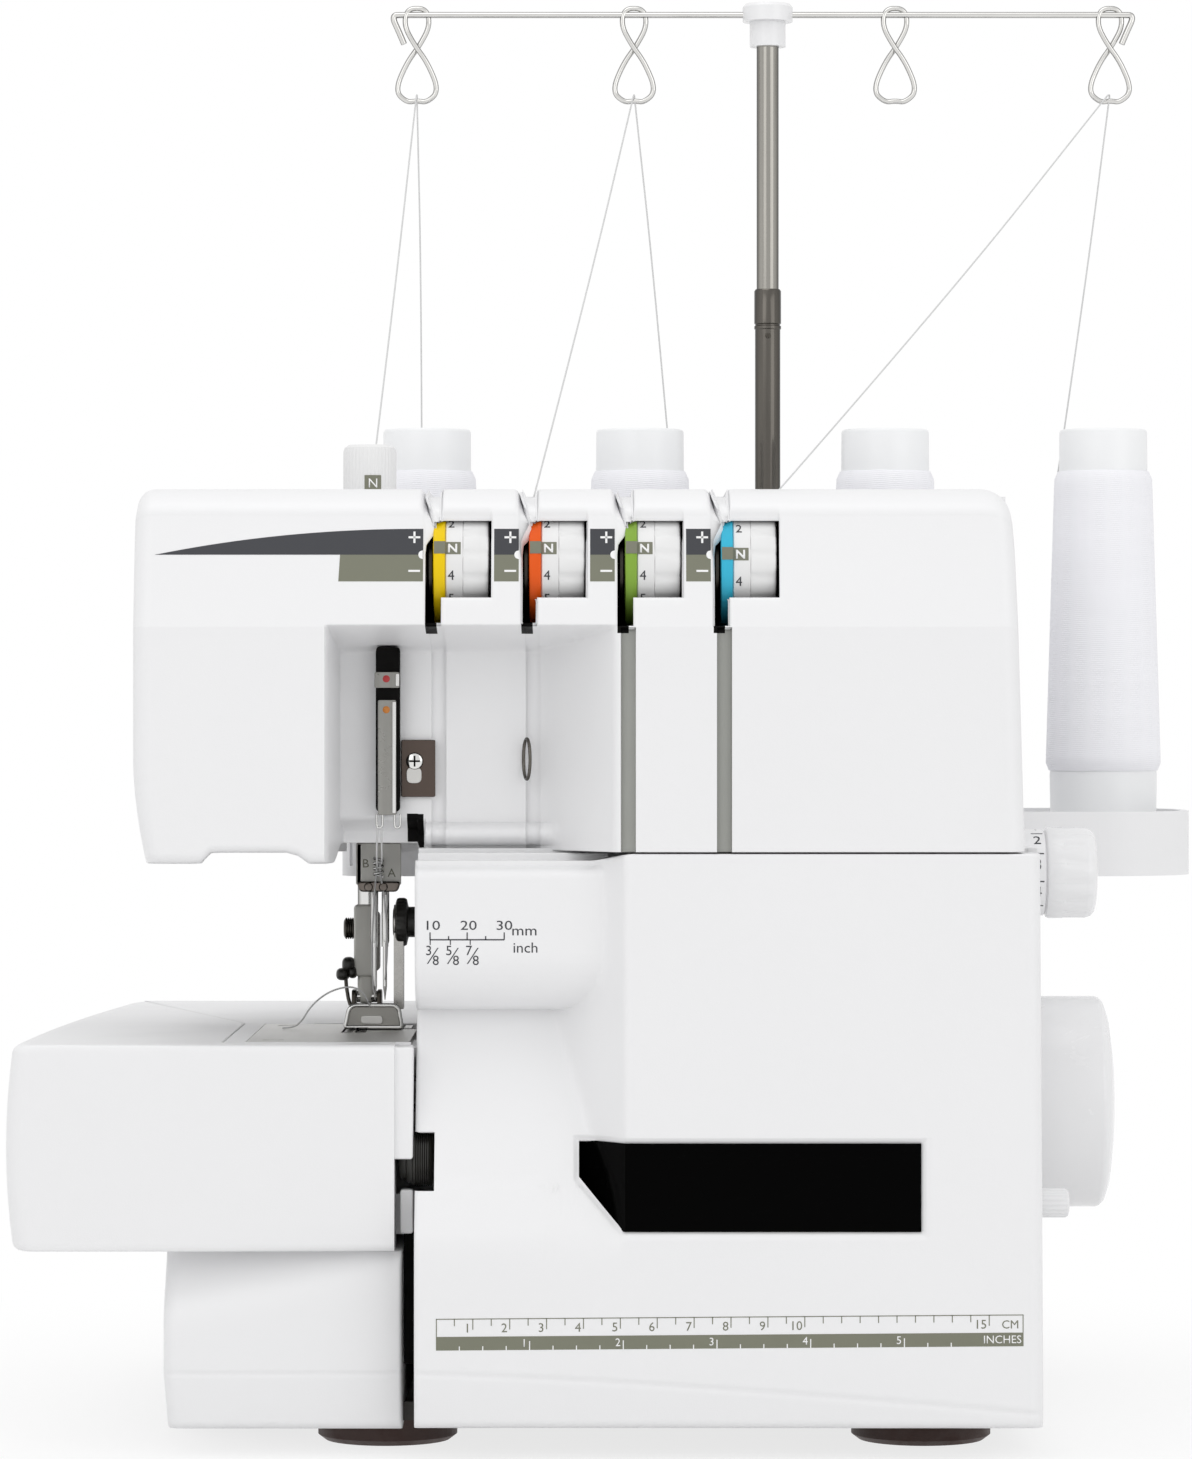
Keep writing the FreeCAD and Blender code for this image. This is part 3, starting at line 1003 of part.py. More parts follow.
def front_cover():
    outer = cover_form("cover_outer", "0", "cover_left", "body_right", "foot_height", "cover_top")
    inner = cover_form("cover_inner", "shell_wall", "cover_left - 1", "body_right - shell_wall",
                       "foot_height + shell_wall", "cover_top - shell_wall")
    edge = rounded("cover_edge", outer, 4.0, lambda middle, way: along(way, "z")
                   and near(middle.x, size("body_right")) and near(middle.y, size("front_y")))
    low_back = block("cover_low_back", ("cover_left - 2", "body_right + 1"),
                     ("front_y + cover_low_depth", "front_y + cover_depth + 2"), ("0", "cover_low_top"))
    top_back = block("cover_top_back", ("cover_left - 2", "body_right + 1"),
                     ("front_y + cover_depth - 6", "front_y + cover_depth + 2"),
                     ("cover_top - 5", "cover_top + 1"))
    glass_way = glass_form("glass_way", "0.2", "shell_wall + 4")
    glass_mouth = block("glass_mouth", ("facet_front_x", "glass_right + 0.2"), ("front_y - 1", "front_y + 3"),
                        ("glass_low - 0.2", "glass_high + 0.2"))
    dial_way = block("width_dial_way", ("cover_left - 2", "width_left + width_grip + 0.5"),
                     ("front_y - 1", "front_y + 40"),
                     ("width_z - width_radius - 1", "width_z + width_radius + 1"))
    lug_way = block("hinge_lug_way", ("cover_left - 1", "cover_left + 20"),
                    ("front_y + shell_wall", "front_y + 40"),
                    ("0", "foot_height + shell_wall + 0.1"))
    far_lug_way = block("hinge_far_lug_way", ("body_right - 29 - cover_slide", "body_right - 23"),
                        ("front_y + shell_wall", "front_y + 40"), ("0", "foot_height + shell_wall + 0.1"))
    shell = cut("cover_shell", edge, inner, low_back, top_back, glass_way, glass_mouth, dial_way, lug_way,
                far_lug_way)
    knuckles = []
    for number, knuckle_x in enumerate(("knuckle_left", "knuckle_right"), start=1):
        lump = block(f"knuckle_lump_{number}", (knuckle_x, f"{knuckle_x} + knuckle_width"),
                     ("front_y + shell_wall - 0.5", "front_y + hinge_inset + 3.4"),
                     ("hinge_z - 3.4", "hinge_z + 3.4"))
        bore = rod(f"knuckle_bore_{number}", "X", (f"{knuckle_x} - 1", "front_y + hinge_inset", "hinge_z"),
                   "hinge_radius + fit_gap", "14")
        knuckles.append(cut(f"knuckle_{number}", lump, bore))
    keep("front_cover", join("front_cover", shell, *knuckles))
    keep("cover_window", glass_form("cover_window", "0", "glass_thick"))
    keep("cover_hinge_rod", rod("cover_hinge_rod", "X", ("cover_left + 8", "front_y + hinge_inset", "hinge_z"),
                                "hinge_radius", "body_right - 20 - cover_left - 8"))


# ---- controls on the right and under the arm ----

def side_controls():
    side = "body_right + run_gap"
    drum_end = f"{side} + length_drum"
    grip_end = f"{drum_end} + length_grip"
    length_at = ("0", "front_y + length_inset", "length_z")
    keep("stitch_length_dial", turned("stitch_length_dial", "X", length_at, [
        ("0", "body_right - 12"), ("3", "body_right - 12"), ("3", side), ("length_radius - 0.8", side),
        ("length_radius - 0.8", drum_end), ("length_radius", f"{drum_end} + 0.6"),
        ("length_radius", f"{grip_end} - 1.2"), ("length_radius - 1.2", grip_end), ("0", grip_end)]))
    differ_at = ("0", "front_y + differ_inset", "differ_z")
    keep("differential_knob", turned("differential_knob", "X", differ_at, [
        ("0", "body_right - 10"), ("2", "body_right - 10"), ("2", side), ("differ_radius", side),
        ("differ_radius", f"{side} + differ_reach - 0.8"), ("differ_radius - 0.8", f"{side} + differ_reach"),
        ("0", f"{side} + differ_reach")]))
    width_at = ("0", "front_y + width_inset", "width_z")
    width_end = "width_left + width_grip"
    keep("cutting_width_dial", turned("cutting_width_dial", "X", width_at, [
        ("0", "width_left"), ("width_radius - 0.6", "width_left"), ("width_radius", "width_left + 0.6"),
        ("width_radius", f"{width_end} - 0.6"), ("width_radius - 0.6", width_end), ("2", width_end),
        ("2", f"{width_end} + 12"), ("0", f"{width_end} + 12")]))
    wheel_at = ("0", "shaft_y", "shaft_z")
    keep("handwheel", turned("handwheel", "X", wheel_at, [
        ("shaft_radius + fit_gap", "body_right + 1"), ("12", "body_right + 1"), ("12", "body_right + 4"),
        ("wheel_radius - 2", "body_right + 4"), ("wheel_radius", "body_right + 7"),
        ("wheel_radius", "body_right + wheel_reach - 6"),
        ("wheel_radius - 1.6", "body_right + wheel_reach - 2.4"),
        ("wheel_radius - 6", "body_right + wheel_reach"), ("0", "body_right + wheel_reach"),
        ("0", "body_right + wheel_reach - 6"),
        ("shaft_radius + fit_gap", "body_right + wheel_reach - 6")]))
    keep("power_switch", switch_rocker())
    keep("power_inlet", mains_inlet())


def switch_rocker():
    """The rocker of the power switch, with the stub of its pivot above and below."""
    rocker = block("switch_body", ("body_right - 6", "body_right + 1.6"), spread("switch_y", "switch_half"),
                   spread("switch_z", "switch_tall"))
    soft = rounded("switch_soft", rocker, 1.2,
                   lambda middle, way: along(way, "z") and middle.x > size("body_right"))
    pivot = rod("switch_pivot", "Z", ("body_right - 3.5", "switch_y", "switch_z - switch_tall - 0.6"), "1.5",
                "2*switch_tall + 1.2")
    return join("power_switch", soft, pivot)


def mains_inlet():
    """The cup of the mains inlet with its three pins."""
    shell = block("inlet_shell", ("body_right - inlet_depth", "body_right"), spread("inlet_y", "inlet_half"),
                  spread("inlet_z", "inlet_tall"))
    socket = block("inlet_socket", ("body_right - inlet_depth + 4", "body_right + 1"),
                   spread("inlet_y", "inlet_half - inlet_wall"), spread("inlet_z", "inlet_tall - inlet_wall"))
    pins = [rod(f"inlet_pin_{n + 2}", "X", ("body_right - inlet_depth + 3.5", f"inlet_y + {n}*7", "inlet_z"),
                "1.5", "10") for n in (-1, 0, 1)]
    return join("power_inlet", cut("inlet_cup", shell, socket), *pins)


# ---- drive and inner frame ----

def drive():
    shaft = rod("shaft_rod", "X", ("shaft_left", "shaft_y", "shaft_z"), "shaft_radius",
                "body_right + wheel_reach - 6.5 - shaft_left")
    pulley = turned("shaft_pulley", "X", ("pulley_x", "shaft_y", "shaft_z"), [
        ("shaft_radius", "0"), ("pulley_radius + 1.5", "0"), ("pulley_radius", "1.4"),
        ("pulley_radius", "pulley_width - 1.4"), ("pulley_radius + 1.5", "pulley_width"),
        ("shaft_radius", "pulley_width")])
    crank = rod("shaft_crank", "X", ("shaft_left", "shaft_y", "shaft_z"), "crank_radius", "crank_width")
    keep("main_shaft", group("main_shaft", join("shaft_and_crank", shaft, crank), pulley))
    motor_at = ("0", "motor_y", "motor_z")
    can = turned("motor_can", "X", motor_at, [
        ("3 + fit_gap", "motor_left"), ("motor_radius - 3", "motor_left"), ("motor_radius", "motor_left + 3"),
        ("motor_radius", "motor_right - 3"), ("motor_radius - 3", "motor_right"),
        ("3 + fit_gap", "motor_right")])
    foot = block("motor_foot", ("motor_left + 8", "motor_right - 8"), ("motor_y - 18", "motor_y + 18"),
                 ("foot_height + pan_height + 6.3", "motor_z - motor_radius + 6"))
    cradle = rod("motor_cradle", "X", ("motor_left", "motor_y", "motor_z"), "motor_radius",
                 "motor_right - motor_left")
    keep("drive_motor", group("drive_motor", can, cut("motor_saddle", foot, cradle)))
    keep("motor_pulley", turned("motor_pulley", "X", motor_at, [
        ("0", "motor_left + 10"), ("3", "motor_left + 10"), ("3", "pulley_x"),
        ("small_pulley_radius + 1.5", "pulley_x"), ("small_pulley_radius", "pulley_x + 1.4"),
        ("small_pulley_radius", "pulley_x + pulley_width - 1.4"),
        ("small_pulley_radius + 1.5", "pulley_x + pulley_width"), ("0", "pulley_x + pulley_width")]))
    keep("drive_belt", shaped("drive_belt", belt_loop()))


def belt_loop():
    """A belt round both pulleys: the loop a little outside them, less the loop a belt inside that."""
    left = size("pulley_x") + (size("pulley_width") - size("belt_width")) / 2
    big = Vector(left, size("shaft_y"), size("shaft_z"))
    small = Vector(left, size("motor_y"), size("motor_z"))

    def loop(grow):
        big_radius = size("pulley_radius") + 0.3 + grow
        small_radius = size("small_pulley_radius") + 0.3 + grow
        way = small - big
        lean = math.acos((big_radius - small_radius) / way.Length)
        base = math.atan2(way.z, way.y)
        ends = {}
        for side in (1, -1):
            normal = Vector(0, math.cos(base + side * lean), math.sin(base + side * lean))
            ends[side] = (big + normal * big_radius, small + normal * small_radius)
        out = way.normalize()
        edges = [
            Part.LineSegment(ends[1][0], ends[1][1]).toShape(),
            Part.Arc(ends[1][1], small + out * small_radius, ends[-1][1]).toShape(),
            Part.LineSegment(ends[-1][1], ends[-1][0]).toShape(),
            Part.Arc(ends[-1][0], big - out * big_radius, ends[1][0]).toShape(),
        ]
        face = Part.Face(Part.Wire(edges))
        return face.extrude(Vector(size("belt_width"), 0, 0))

    return loop(size("belt_thick")).cut(loop(0))


def frame_casting():
    """The cast frame inside: a floor, a post with an arm to the needle bar, pedestals, bearings and pins."""
    under = "foot_height + pan_height + 0.3"
    floor = f"{under} + cast_floor"
    arm = ("arm_low", "arm_high")
    arm_depth = ("shaft_y - 2", "front_y + head_depth - arm_clear")
    lug_x = ("lug_left", "lug_right")
    lug_y = ("needle_y - 7", "shaft_y + 4")
    pieces = [
        block("cast_base", ("cast_left", "cast_right"), ("front_y + cast_front_inset", "cast_back"),
              (under, floor)),
        block("cast_post", ("post_left", "post_right"), ("post_front", "post_back"),
              (under, "arm_high + 12.3")),
        block("cast_arm", ("lug_left - 16", "post_right"), arm_depth, arm),
        block("cast_arm_root", ("post_left", "post_right"), ("post_front", arm_depth[1]), arm),
        block("cast_drop", lug_x, ("shaft_y - 2", "shaft_y + 4"), ("lug_low", "arm_high")),
        block("cast_lug_low", lug_x, lug_y, ("lug_low", "lug_low + lug_height")),
        block("cast_lug_high", lug_x, lug_y, ("lug_high", "lug_high + lug_height")),
        block("cast_dial_plate", ("cast_left + 2", "cast_left + 6"),
              ("front_y + cast_front_inset", "post_front"),
              (under, "width_z + 9")),
        block("cast_dial_nose", ("cast_left + 2", "cast_left + 6"),
              ("front_y + width_inset - 4.8", "front_y + cast_front_inset + 2"),
              ("width_z - 5", "width_z + 2.2")),
        block("cast_looper_wall", ("cast_left + 5", "post_left - 20"), ("needle_y + 5", "needle_y + 9"),
              (under, "looper_wall_top")),
        block("cast_feed_rest", ("cast_left", "cast_left + 9"), ("feed_back - 12", "feed_back + 6"),
              (under, "feed_low - 0.3")),
        rod("cast_upper_pin", "Y", ("upper_looper_x", "upper_looper_y - 2", "upper_looper_z"),
            "looper_pin_radius",
            "needle_y + 6 - upper_looper_y + 2"),
        rod("cast_lower_pin", "Y", ("lower_looper_x", "lower_looper_y - 2", "lower_looper_z"),
            "looper_pin_radius",
            "needle_y + 6 - lower_looper_y + 2"),
        rod("cast_lifter_pin", "X", ("presser_x - 7", "0", "lifter_z"), "2", "14.5"),
        block("cast_lifter_plate", ("presser_x + 6.4", "presser_x + 9"), arm_depth,
              ("lifter_z - 5", "arm_high")),
    ]
    for left in ("pedestal_left", "pedestal_right"):
        pieces.append(block(f"cast_{left}", (left, f"{left} + pedestal_width"),
                            spread("shaft_y", "pedestal_half"),
                            (under, "shaft_z + pedestal_half")))
    bores = [
        rod("cast_shaft_bore", "X", ("shaft_left - 6", "shaft_y", "shaft_z"), "shaft_radius + fit_gap", "130"),
        rod("cast_needle_bore", "Z", ("needle_x", "needle_y", "lug_low - 10"), "bar_radius + fit_gap", "70"),
        rod("cast_presser_bore", "Z", ("presser_x", "presser_y", "lug_low - 10"), "bar_radius + fit_gap", "70"),
        rod("cast_dial_bore", "X", ("cast_left", "front_y + width_inset", "width_z"), "2 + fit_gap", "10"),
    ]
    keep("frame_casting", cut("frame_casting", join("casting_solid", *pieces), *bores))


# ---- thread stand ----

CONES = ("cone_first_x", "cone_second_x", "cone_third_x", "cone_fourth_x")
EYES = ("eye_first_x", "eye_second_x", "eye_third_x", "eye_fourth_x")


def spool_tray():
    outer = block("tray_outer", ("tray_left", "tray_right"), ("tray_front", "tray_back"),
                  ("shelf_top", "tray_top"))
    hollow = block("tray_hollow", ("tray_left + shell_wall", "tray_right - shell_wall"),
                   ("tray_front + shell_wall", "tray_back - shell_wall"),
                   ("shelf_top + tray_floor", "tray_top + 1"))
    soft = rounded("tray_soft", outer, 30.0,
                   lambda middle, way: along(way, "z") and near(middle.x, size("tray_right")))
    ends = rounded("tray_ends", soft, 10.0,
                   lambda middle, way: along(way, "z") and near(middle.x, size("tray_left")))
    soft_hollow = rounded("tray_soft_hollow", hollow, 27.5,
                          lambda middle, way: along(way, "z") and middle.x > size("cone_fourth_x"))
    boss = rod("mast_boss", "Z", ("mast_x", "mast_y", "shelf_top + 1"), "mast_radius + 3", "tray_floor + 5")
    bore = rod("mast_boss_bore", "Z", ("mast_x", "mast_y", "shelf_top - 1"), "mast_radius + 0.1",
               "tray_floor + 9")
    dish = join("tray_dish", cut("tray_open", ends, soft_hollow), boss)
    keep("spool_tray", cut("spool_tray", dish, bore))


def thread_stand():
    floor = "shelf_top + tray_floor"
    pins, cones, windings = [], [], []
    for number, x in enumerate(CONES, start=1):
        at = (x, "cone_y", "0")
        pins.append(turned(f"pin_{number}", "Z", at, [
            ("0", floor), ("8", floor), ("8", f"{floor} + 3"), ("pin_radius", f"{floor} + 6"),
            ("pin_radius", "pin_top - 2"), ("pin_radius - 1", "pin_top"), ("0", "pin_top")]))
        cones.append(turned(f"cone_{number}", "Z", at, [
            ("cone_base_radius - cone_wall", floor), ("cone_base_radius", floor),
            ("cone_base_radius", "wind_low - 1.5"), ("cone_base_radius - 1.2", "wind_low - 0.3"),
            ("cone_top_radius", "wind_high"), ("cone_top_radius", "cone_top - 1"),
            ("cone_top_radius - 0.8", "cone_top"),
            ("cone_top_radius - cone_wall", "cone_top")]))
        windings.append(turned(f"winding_{number}", "Z", at, [
            ("cone_base_radius - 1.1", "wind_low"), ("wind_low_radius - 1", "wind_low"),
            ("wind_low_radius", "wind_low + 1.4"), ("wind_high_radius", "wind_high - 1"),
            ("wind_high_radius - 0.8", "wind_high"), ("cone_top_radius + 0.1", "wind_high")]))
    keep("spool_pins", group("spool_pins", *pins))
    keep("thread_cones", group("thread_cones", *cones))
    keep("thread_windings", group("thread_windings", *windings))


def mast():
    lower_at = ("mast_x", "mast_y", "0")
    inner = "mast_radius - mast_wall"
    keep("mast_lower_tube", turned("mast_lower_tube", "Z", lower_at, [
        (inner, "mast_foot"), ("mast_radius", "mast_foot"), ("mast_radius", "mast_joint - collar_height"),
        ("collar_radius", "mast_joint - collar_height"), ("collar_radius", "mast_joint"),
        (inner, "mast_joint")]))
    keep("mast_upper_tube", turned("mast_upper_tube", "Z", lower_at, [
        ("upper_radius - mast_wall", "upper_foot"), ("upper_radius", "upper_foot"),
        ("upper_radius", "cap_low + 3"),
        ("upper_radius - mast_wall", "cap_low + 3")]))
    rim = "cap_low + cap_skirt"
    top = f"{rim} + cap_rim"
    cap = turned("cap_solid", "Z", lower_at, [
        ("upper_radius + fit_gap", "cap_low"), ("cap_skirt_radius", "cap_low"), ("cap_skirt_radius", rim),
        ("cap_rim_radius", rim), ("cap_rim_radius", f"{top} - 1"), ("cap_rim_radius - 0.8", top), ("0", top),
        ("0", "cap_low + 3"), ("upper_radius + fit_gap", "cap_low + 3")])
    way = rod("cap_bar_way", "X", ("mast_x - 12", "mast_y", "cap_low + bar_rise"), "wire_radius + fit_gap",
              "24")
    keep("mast_cap", cut("mast_cap", cap, way))
    keep("thread_guide_bar", shaped("thread_guide_bar", guide_bar()))


def bar_height():
    return size("cap_low") + size("bar_rise")


def guide_bar():
    """The cross bar with its hooked ends, and the four figure-of-eight eyes hanging from it."""
    y, z = size("mast_y"), bar_height()
    left, right = size("bar_left"), size("bar_right")
    bar = pipe([Vector(left + 2.6, y, z - 7), Vector(left, y, z - 4.5), Vector(left + 0.4, y, z),
                Vector(0, y, z + 0.001),
                Vector(right - 0.4, y, z), Vector(right, y, z - 4.2), Vector(right - 1.2, y, z - 7)],
               size("wire_radius"))
    return Part.makeCompound([bar] + [eye_wire(size(name), y) for name in EYES])


def eye_wire(x, y):
    """A wire that goes over the bar, crosses itself and hangs in a drop-shaped loop."""
    wire = size("wire_radius")
    hook = size("hook_radius")
    top = bar_height() + 2 * wire + 0.02 - hook
    low = bar_height() - size("eye_drop") + wire
    wide = size("eye_radius")
    aside = wire + 0.05
    points = [
        Vector(x - hook, y - aside, top - 2.2), Vector(x - hook, y - aside, top + 0.6 * hook),
        Vector(x, y - aside / 2, top + hook), Vector(x + hook, y, top + 0.6 * hook),
        Vector(x + hook * 0.9, y + aside, top - 2.2), Vector(x - wide * 0.82, y + aside, low + 1.9 * wide),
        Vector(x - wide, y + aside, low + 0.8 * wide), Vector(x - wide * 0.55, y, low),
        Vector(x + wide * 0.55, y, low), Vector(x + wide, y - aside, low + 0.8 * wide),
        Vector(x + wide * 0.82, y - aside, low + 1.9 * wide), Vector(x - hook * 0.2, y - aside, top - 6.4),
    ]
    return pipe(points, wire)


def thread_cords():
    """The sewing threads, each from its winding up through its eye and down into the head."""
    winding = size("wind_high_radius") + 0.35
    radius = size("thread_radius")
    y_eye = size("mast_y")
    z_eye = bar_height() - size("eye_drop") + 2 * size("wire_radius") + radius + 0.15
    head = size("head_top") + radius + 0.1
    slot_y = size("front_y") + size("slot_depth") - 5
    second_slot = size("dial_first_x") + size("dial_pitch") - 0.8 + size("slot_width") / 2
    # the way round the cone at which each thread leaves it, in degrees from +X towards +Y
    routes = {
        "thread_cord_1": ("cone_first_x", "eye_first_x", 98, Vector(size("pressure_x") - 0.5, -50, head)),
        "thread_cord_2": ("cone_second_x", "eye_second_x", 50, Vector(second_slot, slot_y, head - 3)),
        "thread_cord_4": ("cone_fourth_x", "eye_fourth_x", 152, Vector(size("mast_x") - 3, -30, head)),
    }
    for name, (cone, eye, leaves, end) in routes.items():
        turn = math.radians(leaves)
        start = Vector(size(cone) + winding * math.cos(turn), size("cone_y") + winding * math.sin(turn),
                       size("wind_high") - 1.5)
        over = Vector(size(eye), y_eye, z_eye)
        rise = start + (over - start) * 0.5
        fall = over + (end - over) * 0.5
        points = [start, rise + Vector(0.6, 0, 0), over, fall + Vector(0, 0, -3), end]
        keep(name, shaped(name, pipe(points, radius, {2: 1.6})))


# ---- the whole machine ----

def build():
    fill_sheet()
    for piece in (rubber_feet, base_pan, lower_left_cover, rear_casing, right_side_cover, free_arm,
                  stitch_plate,
                  extension_table, upper_front_cover, head_rear_cover, take_up_cover, thread_guides,
                  pressure_dial,
                  tension_dials, tension_bracket, needle_bar_group, presser_group, foot_lifter, knife_group,
                  feed_dogs, loopers, front_cover, side_controls, drive, frame_casting, spool_tray,
                  thread_stand,
                  mast, thread_cords):
        piece()
    DOCUMENT.recompute()


def check():
    for item in DOCUMENT.Objects:
        if {"Invalid", "Error"} & set(item.State):
            raise RuntimeError(f"{item.Name} failed: {item.State}")
    for node, item in PARTS.items():
        shape = item.Shape
        if shape.isNull() or not shape.isValid() or not shape.Solids:
            raise RuntimeError(f"{node} is not a sound solid")


def write():
    os.makedirs("parts", exist_ok=True)
    for node, item in PARTS.items():
        item.Shape.exportStep(os.path.join("parts", node + ".step"))


build()
check()
write()
print(len(PARTS), "sub-parts written")
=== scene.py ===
"""Looks of a four-thread overlock machine, laid out as a Blender add-on.

Arrays of points are in millimetres in the machine's own frame: +X is the operator's right, +Z is
up, and the operator sits at -Y.  make_piece turns them into metres when the mesh is made.
"""

import json
import math

import bmesh
import bpy
import numpy as np
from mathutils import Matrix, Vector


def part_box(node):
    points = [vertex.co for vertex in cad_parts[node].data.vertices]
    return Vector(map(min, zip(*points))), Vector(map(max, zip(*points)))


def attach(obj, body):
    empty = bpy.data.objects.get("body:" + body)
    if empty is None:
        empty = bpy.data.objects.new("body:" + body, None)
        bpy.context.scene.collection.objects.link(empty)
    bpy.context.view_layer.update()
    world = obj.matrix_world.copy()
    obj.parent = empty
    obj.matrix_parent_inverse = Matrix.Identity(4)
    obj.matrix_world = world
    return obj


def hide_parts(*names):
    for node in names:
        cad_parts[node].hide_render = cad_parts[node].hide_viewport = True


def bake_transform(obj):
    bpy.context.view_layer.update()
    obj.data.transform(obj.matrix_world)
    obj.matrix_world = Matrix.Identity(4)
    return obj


bl_info = {
    "name": "Overlock Machine Looks",
    "version": (1, 0, 0),
    "blender": (4, 5, 0),
    "location": "View3D > Sidebar > Overlock",
    "description": "Shells, dials, threads, prints and finishes of a four-thread overlock machine",
    "category": "Object",
}

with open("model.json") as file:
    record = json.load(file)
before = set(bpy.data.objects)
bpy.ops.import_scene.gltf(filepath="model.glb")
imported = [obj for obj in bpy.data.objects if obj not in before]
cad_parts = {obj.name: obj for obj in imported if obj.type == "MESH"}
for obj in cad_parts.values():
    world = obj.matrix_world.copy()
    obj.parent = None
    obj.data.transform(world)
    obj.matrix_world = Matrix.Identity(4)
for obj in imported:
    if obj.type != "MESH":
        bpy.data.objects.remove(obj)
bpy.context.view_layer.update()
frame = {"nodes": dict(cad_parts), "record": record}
MM = 1000.0


# ---- sizes and places in millimetres: some taken from the imported parts, the rest given ----

def box(node):
    """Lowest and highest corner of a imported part, as two arrays in millimetres."""
    low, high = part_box(node)
    return np.array(low) * MM, np.array(high) * MM


def hub(node):
    """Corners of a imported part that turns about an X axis, a point of that axis and its radius."""
    low, high = box(node)
    return low, high, (0.0, (low[1] + high[1]) / 2, (low[2] + high[2]) / 2), (high[2] - low[2]) / 2


FRONT = box("front_cover")[0][1] + 0.12
RINGS = [box(f"tension_ring_{k}") for k in range(1, 5)]
DRUMS = [box(f"tension_dial_{k}") for k in range(1, 5)]
RING_LEFT = [low[0] for low, high in RINGS]
DRUM_RIGHT = [high[0] for low, high in DRUMS]
DIAL_Y = float(np.mean([RINGS[0][0][1], RINGS[0][1][1]]))
DIAL_Z = float(np.mean([RINGS[0][0][2], RINGS[0][1][2]]))
RING_RADIUS = float((RINGS[0][1][2] - RINGS[0][0][2]) / 2)
DRUM_RADIUS = float((DRUMS[0][1][2] - DRUMS[0][0][2]) / 2)

HEAD_LOW, HEAD_HIGH = box("upper_front_cover")
HEAD_BREAK = 226.6
HEAD_SHOULDER = 257.0
HEAD_LEAN = 7.0
HEAD_ROUND = 18.0
RECESS_LEFT = -82.5
RECESS_RIGHT_BACK = -25.0
RECESS_RIGHT_FRONT = -4.0
RECESS_DEPTH = 30.0
GAP_LOW = 226.8
GAP_HIGH = 255.3
GAP_FOOT = GAP_LOW - 1.9
SLOT_BEFORE = 2.1
SLOT_AFTER = 2.2
GROOVE_BEFORE = 1.2
GROOVE_AFTER = 2.9
GROOVE_TOP = HEAD_BREAK - 0.1
SHADOW_AFTER = 1.0
WINDOW_BEFORE = 0.1
WINDOW_MARGIN = 0.4
WINDOW_LOW = 234.6
WINDOW_HIGH = 255.6
WINDOW_DEPTH = 40.0
LIP_LEFT = -56.6
LIP_MIDDLE = 168.0
LIP_RADIUS = 4.2
PLATE_LEFT = -81.6
# a slot beside the lip whose cells are painted black as shade
PAINTED_SHADE_SLOT = (-61.9, -57.3, 162.8, 175.2)
BODY_SEAM_X = -58.8
BODY_SEAM_Z = 165.5

COVER_LOW, COVER_HIGH = box("front_cover")
FACET_FRONT_X = -1.7
FACET_BACK_X = -20.9
SCOOP_TOP = 122.0
SCOOP_LOW = 59.0
GLASS_LOW, GLASS_HIGH = box("cover_window")
GLASS_CUT_X = FACET_FRONT_X - 0.5
GLASS_CUT_RISE = 0.6 * (GLASS_HIGH[2] - GLASS_LOW[2])
DIAL_NOTCH_X = -53.7
DIAL_NOTCH_Z = 81.0
DIAL_NOTCH_HALF = 7.8
LUG_WAYS = ((-60.0, -38.0), (70.8, 91.2))

PIN_X = (-61.4, 3.9, 79.1, 146.0)
EYE_X = (-65.5, 2.3, 83.8, 150.9)
BAR_Z = 421.7
THREAD_SIDES = 8


# ---- shapes of one variable that the surfaces below are made of ----

def smooth_step(low, high, value):
    """0 below low, 1 above high, and 3t^2 - 2t^3 between them."""
    t = np.clip((value - low) / (high - low), 0.0, 1.0)
    return t * t * (3 - 2 * t)


def soft_least(a, b, blend):
    """The smaller of two fields, with a parabolic fillet as wide as blend where they cross."""
    near = np.clip(1 - np.abs(a - b) / blend, 0.0, 1.0)
    return np.minimum(a, b) - near * near * blend / 4


def soft_most(a, b, blend):
    """The larger of two fields, with a parabolic fillet as wide as blend where they cross."""
    return -soft_least(-a, -b, blend)


def round_off(distance, radius):
    """How far a quarter round of that radius falls back at a distance from the edge."""
    inside = np.clip(radius - distance, 0.0, radius)
    return radius - np.sqrt(np.maximum(radius * radius - inside * inside, 0.0))


def outside(value, low, high):
    """Distance of a value from the interval low to high, negative inside it."""
    return np.maximum(low - value, value - high)


def lines(low, high, pitch, *crowded):
    """Grid lines from low to high at a pitch, with more about each crowded (place, reach, step)."""
    found = [np.linspace(low, high, max(2, int(round((high - low) / pitch)) + 1))]
    for place, reach, step in crowded:
        found.append(np.arange(place - reach, place + reach + step / 2, step))
    together = np.clip(np.sort(np.concatenate(found)), low, high)
    keep = np.concatenate([[True], np.diff(together) > 0.015])
    return together[keep]


# ---- meshes ----

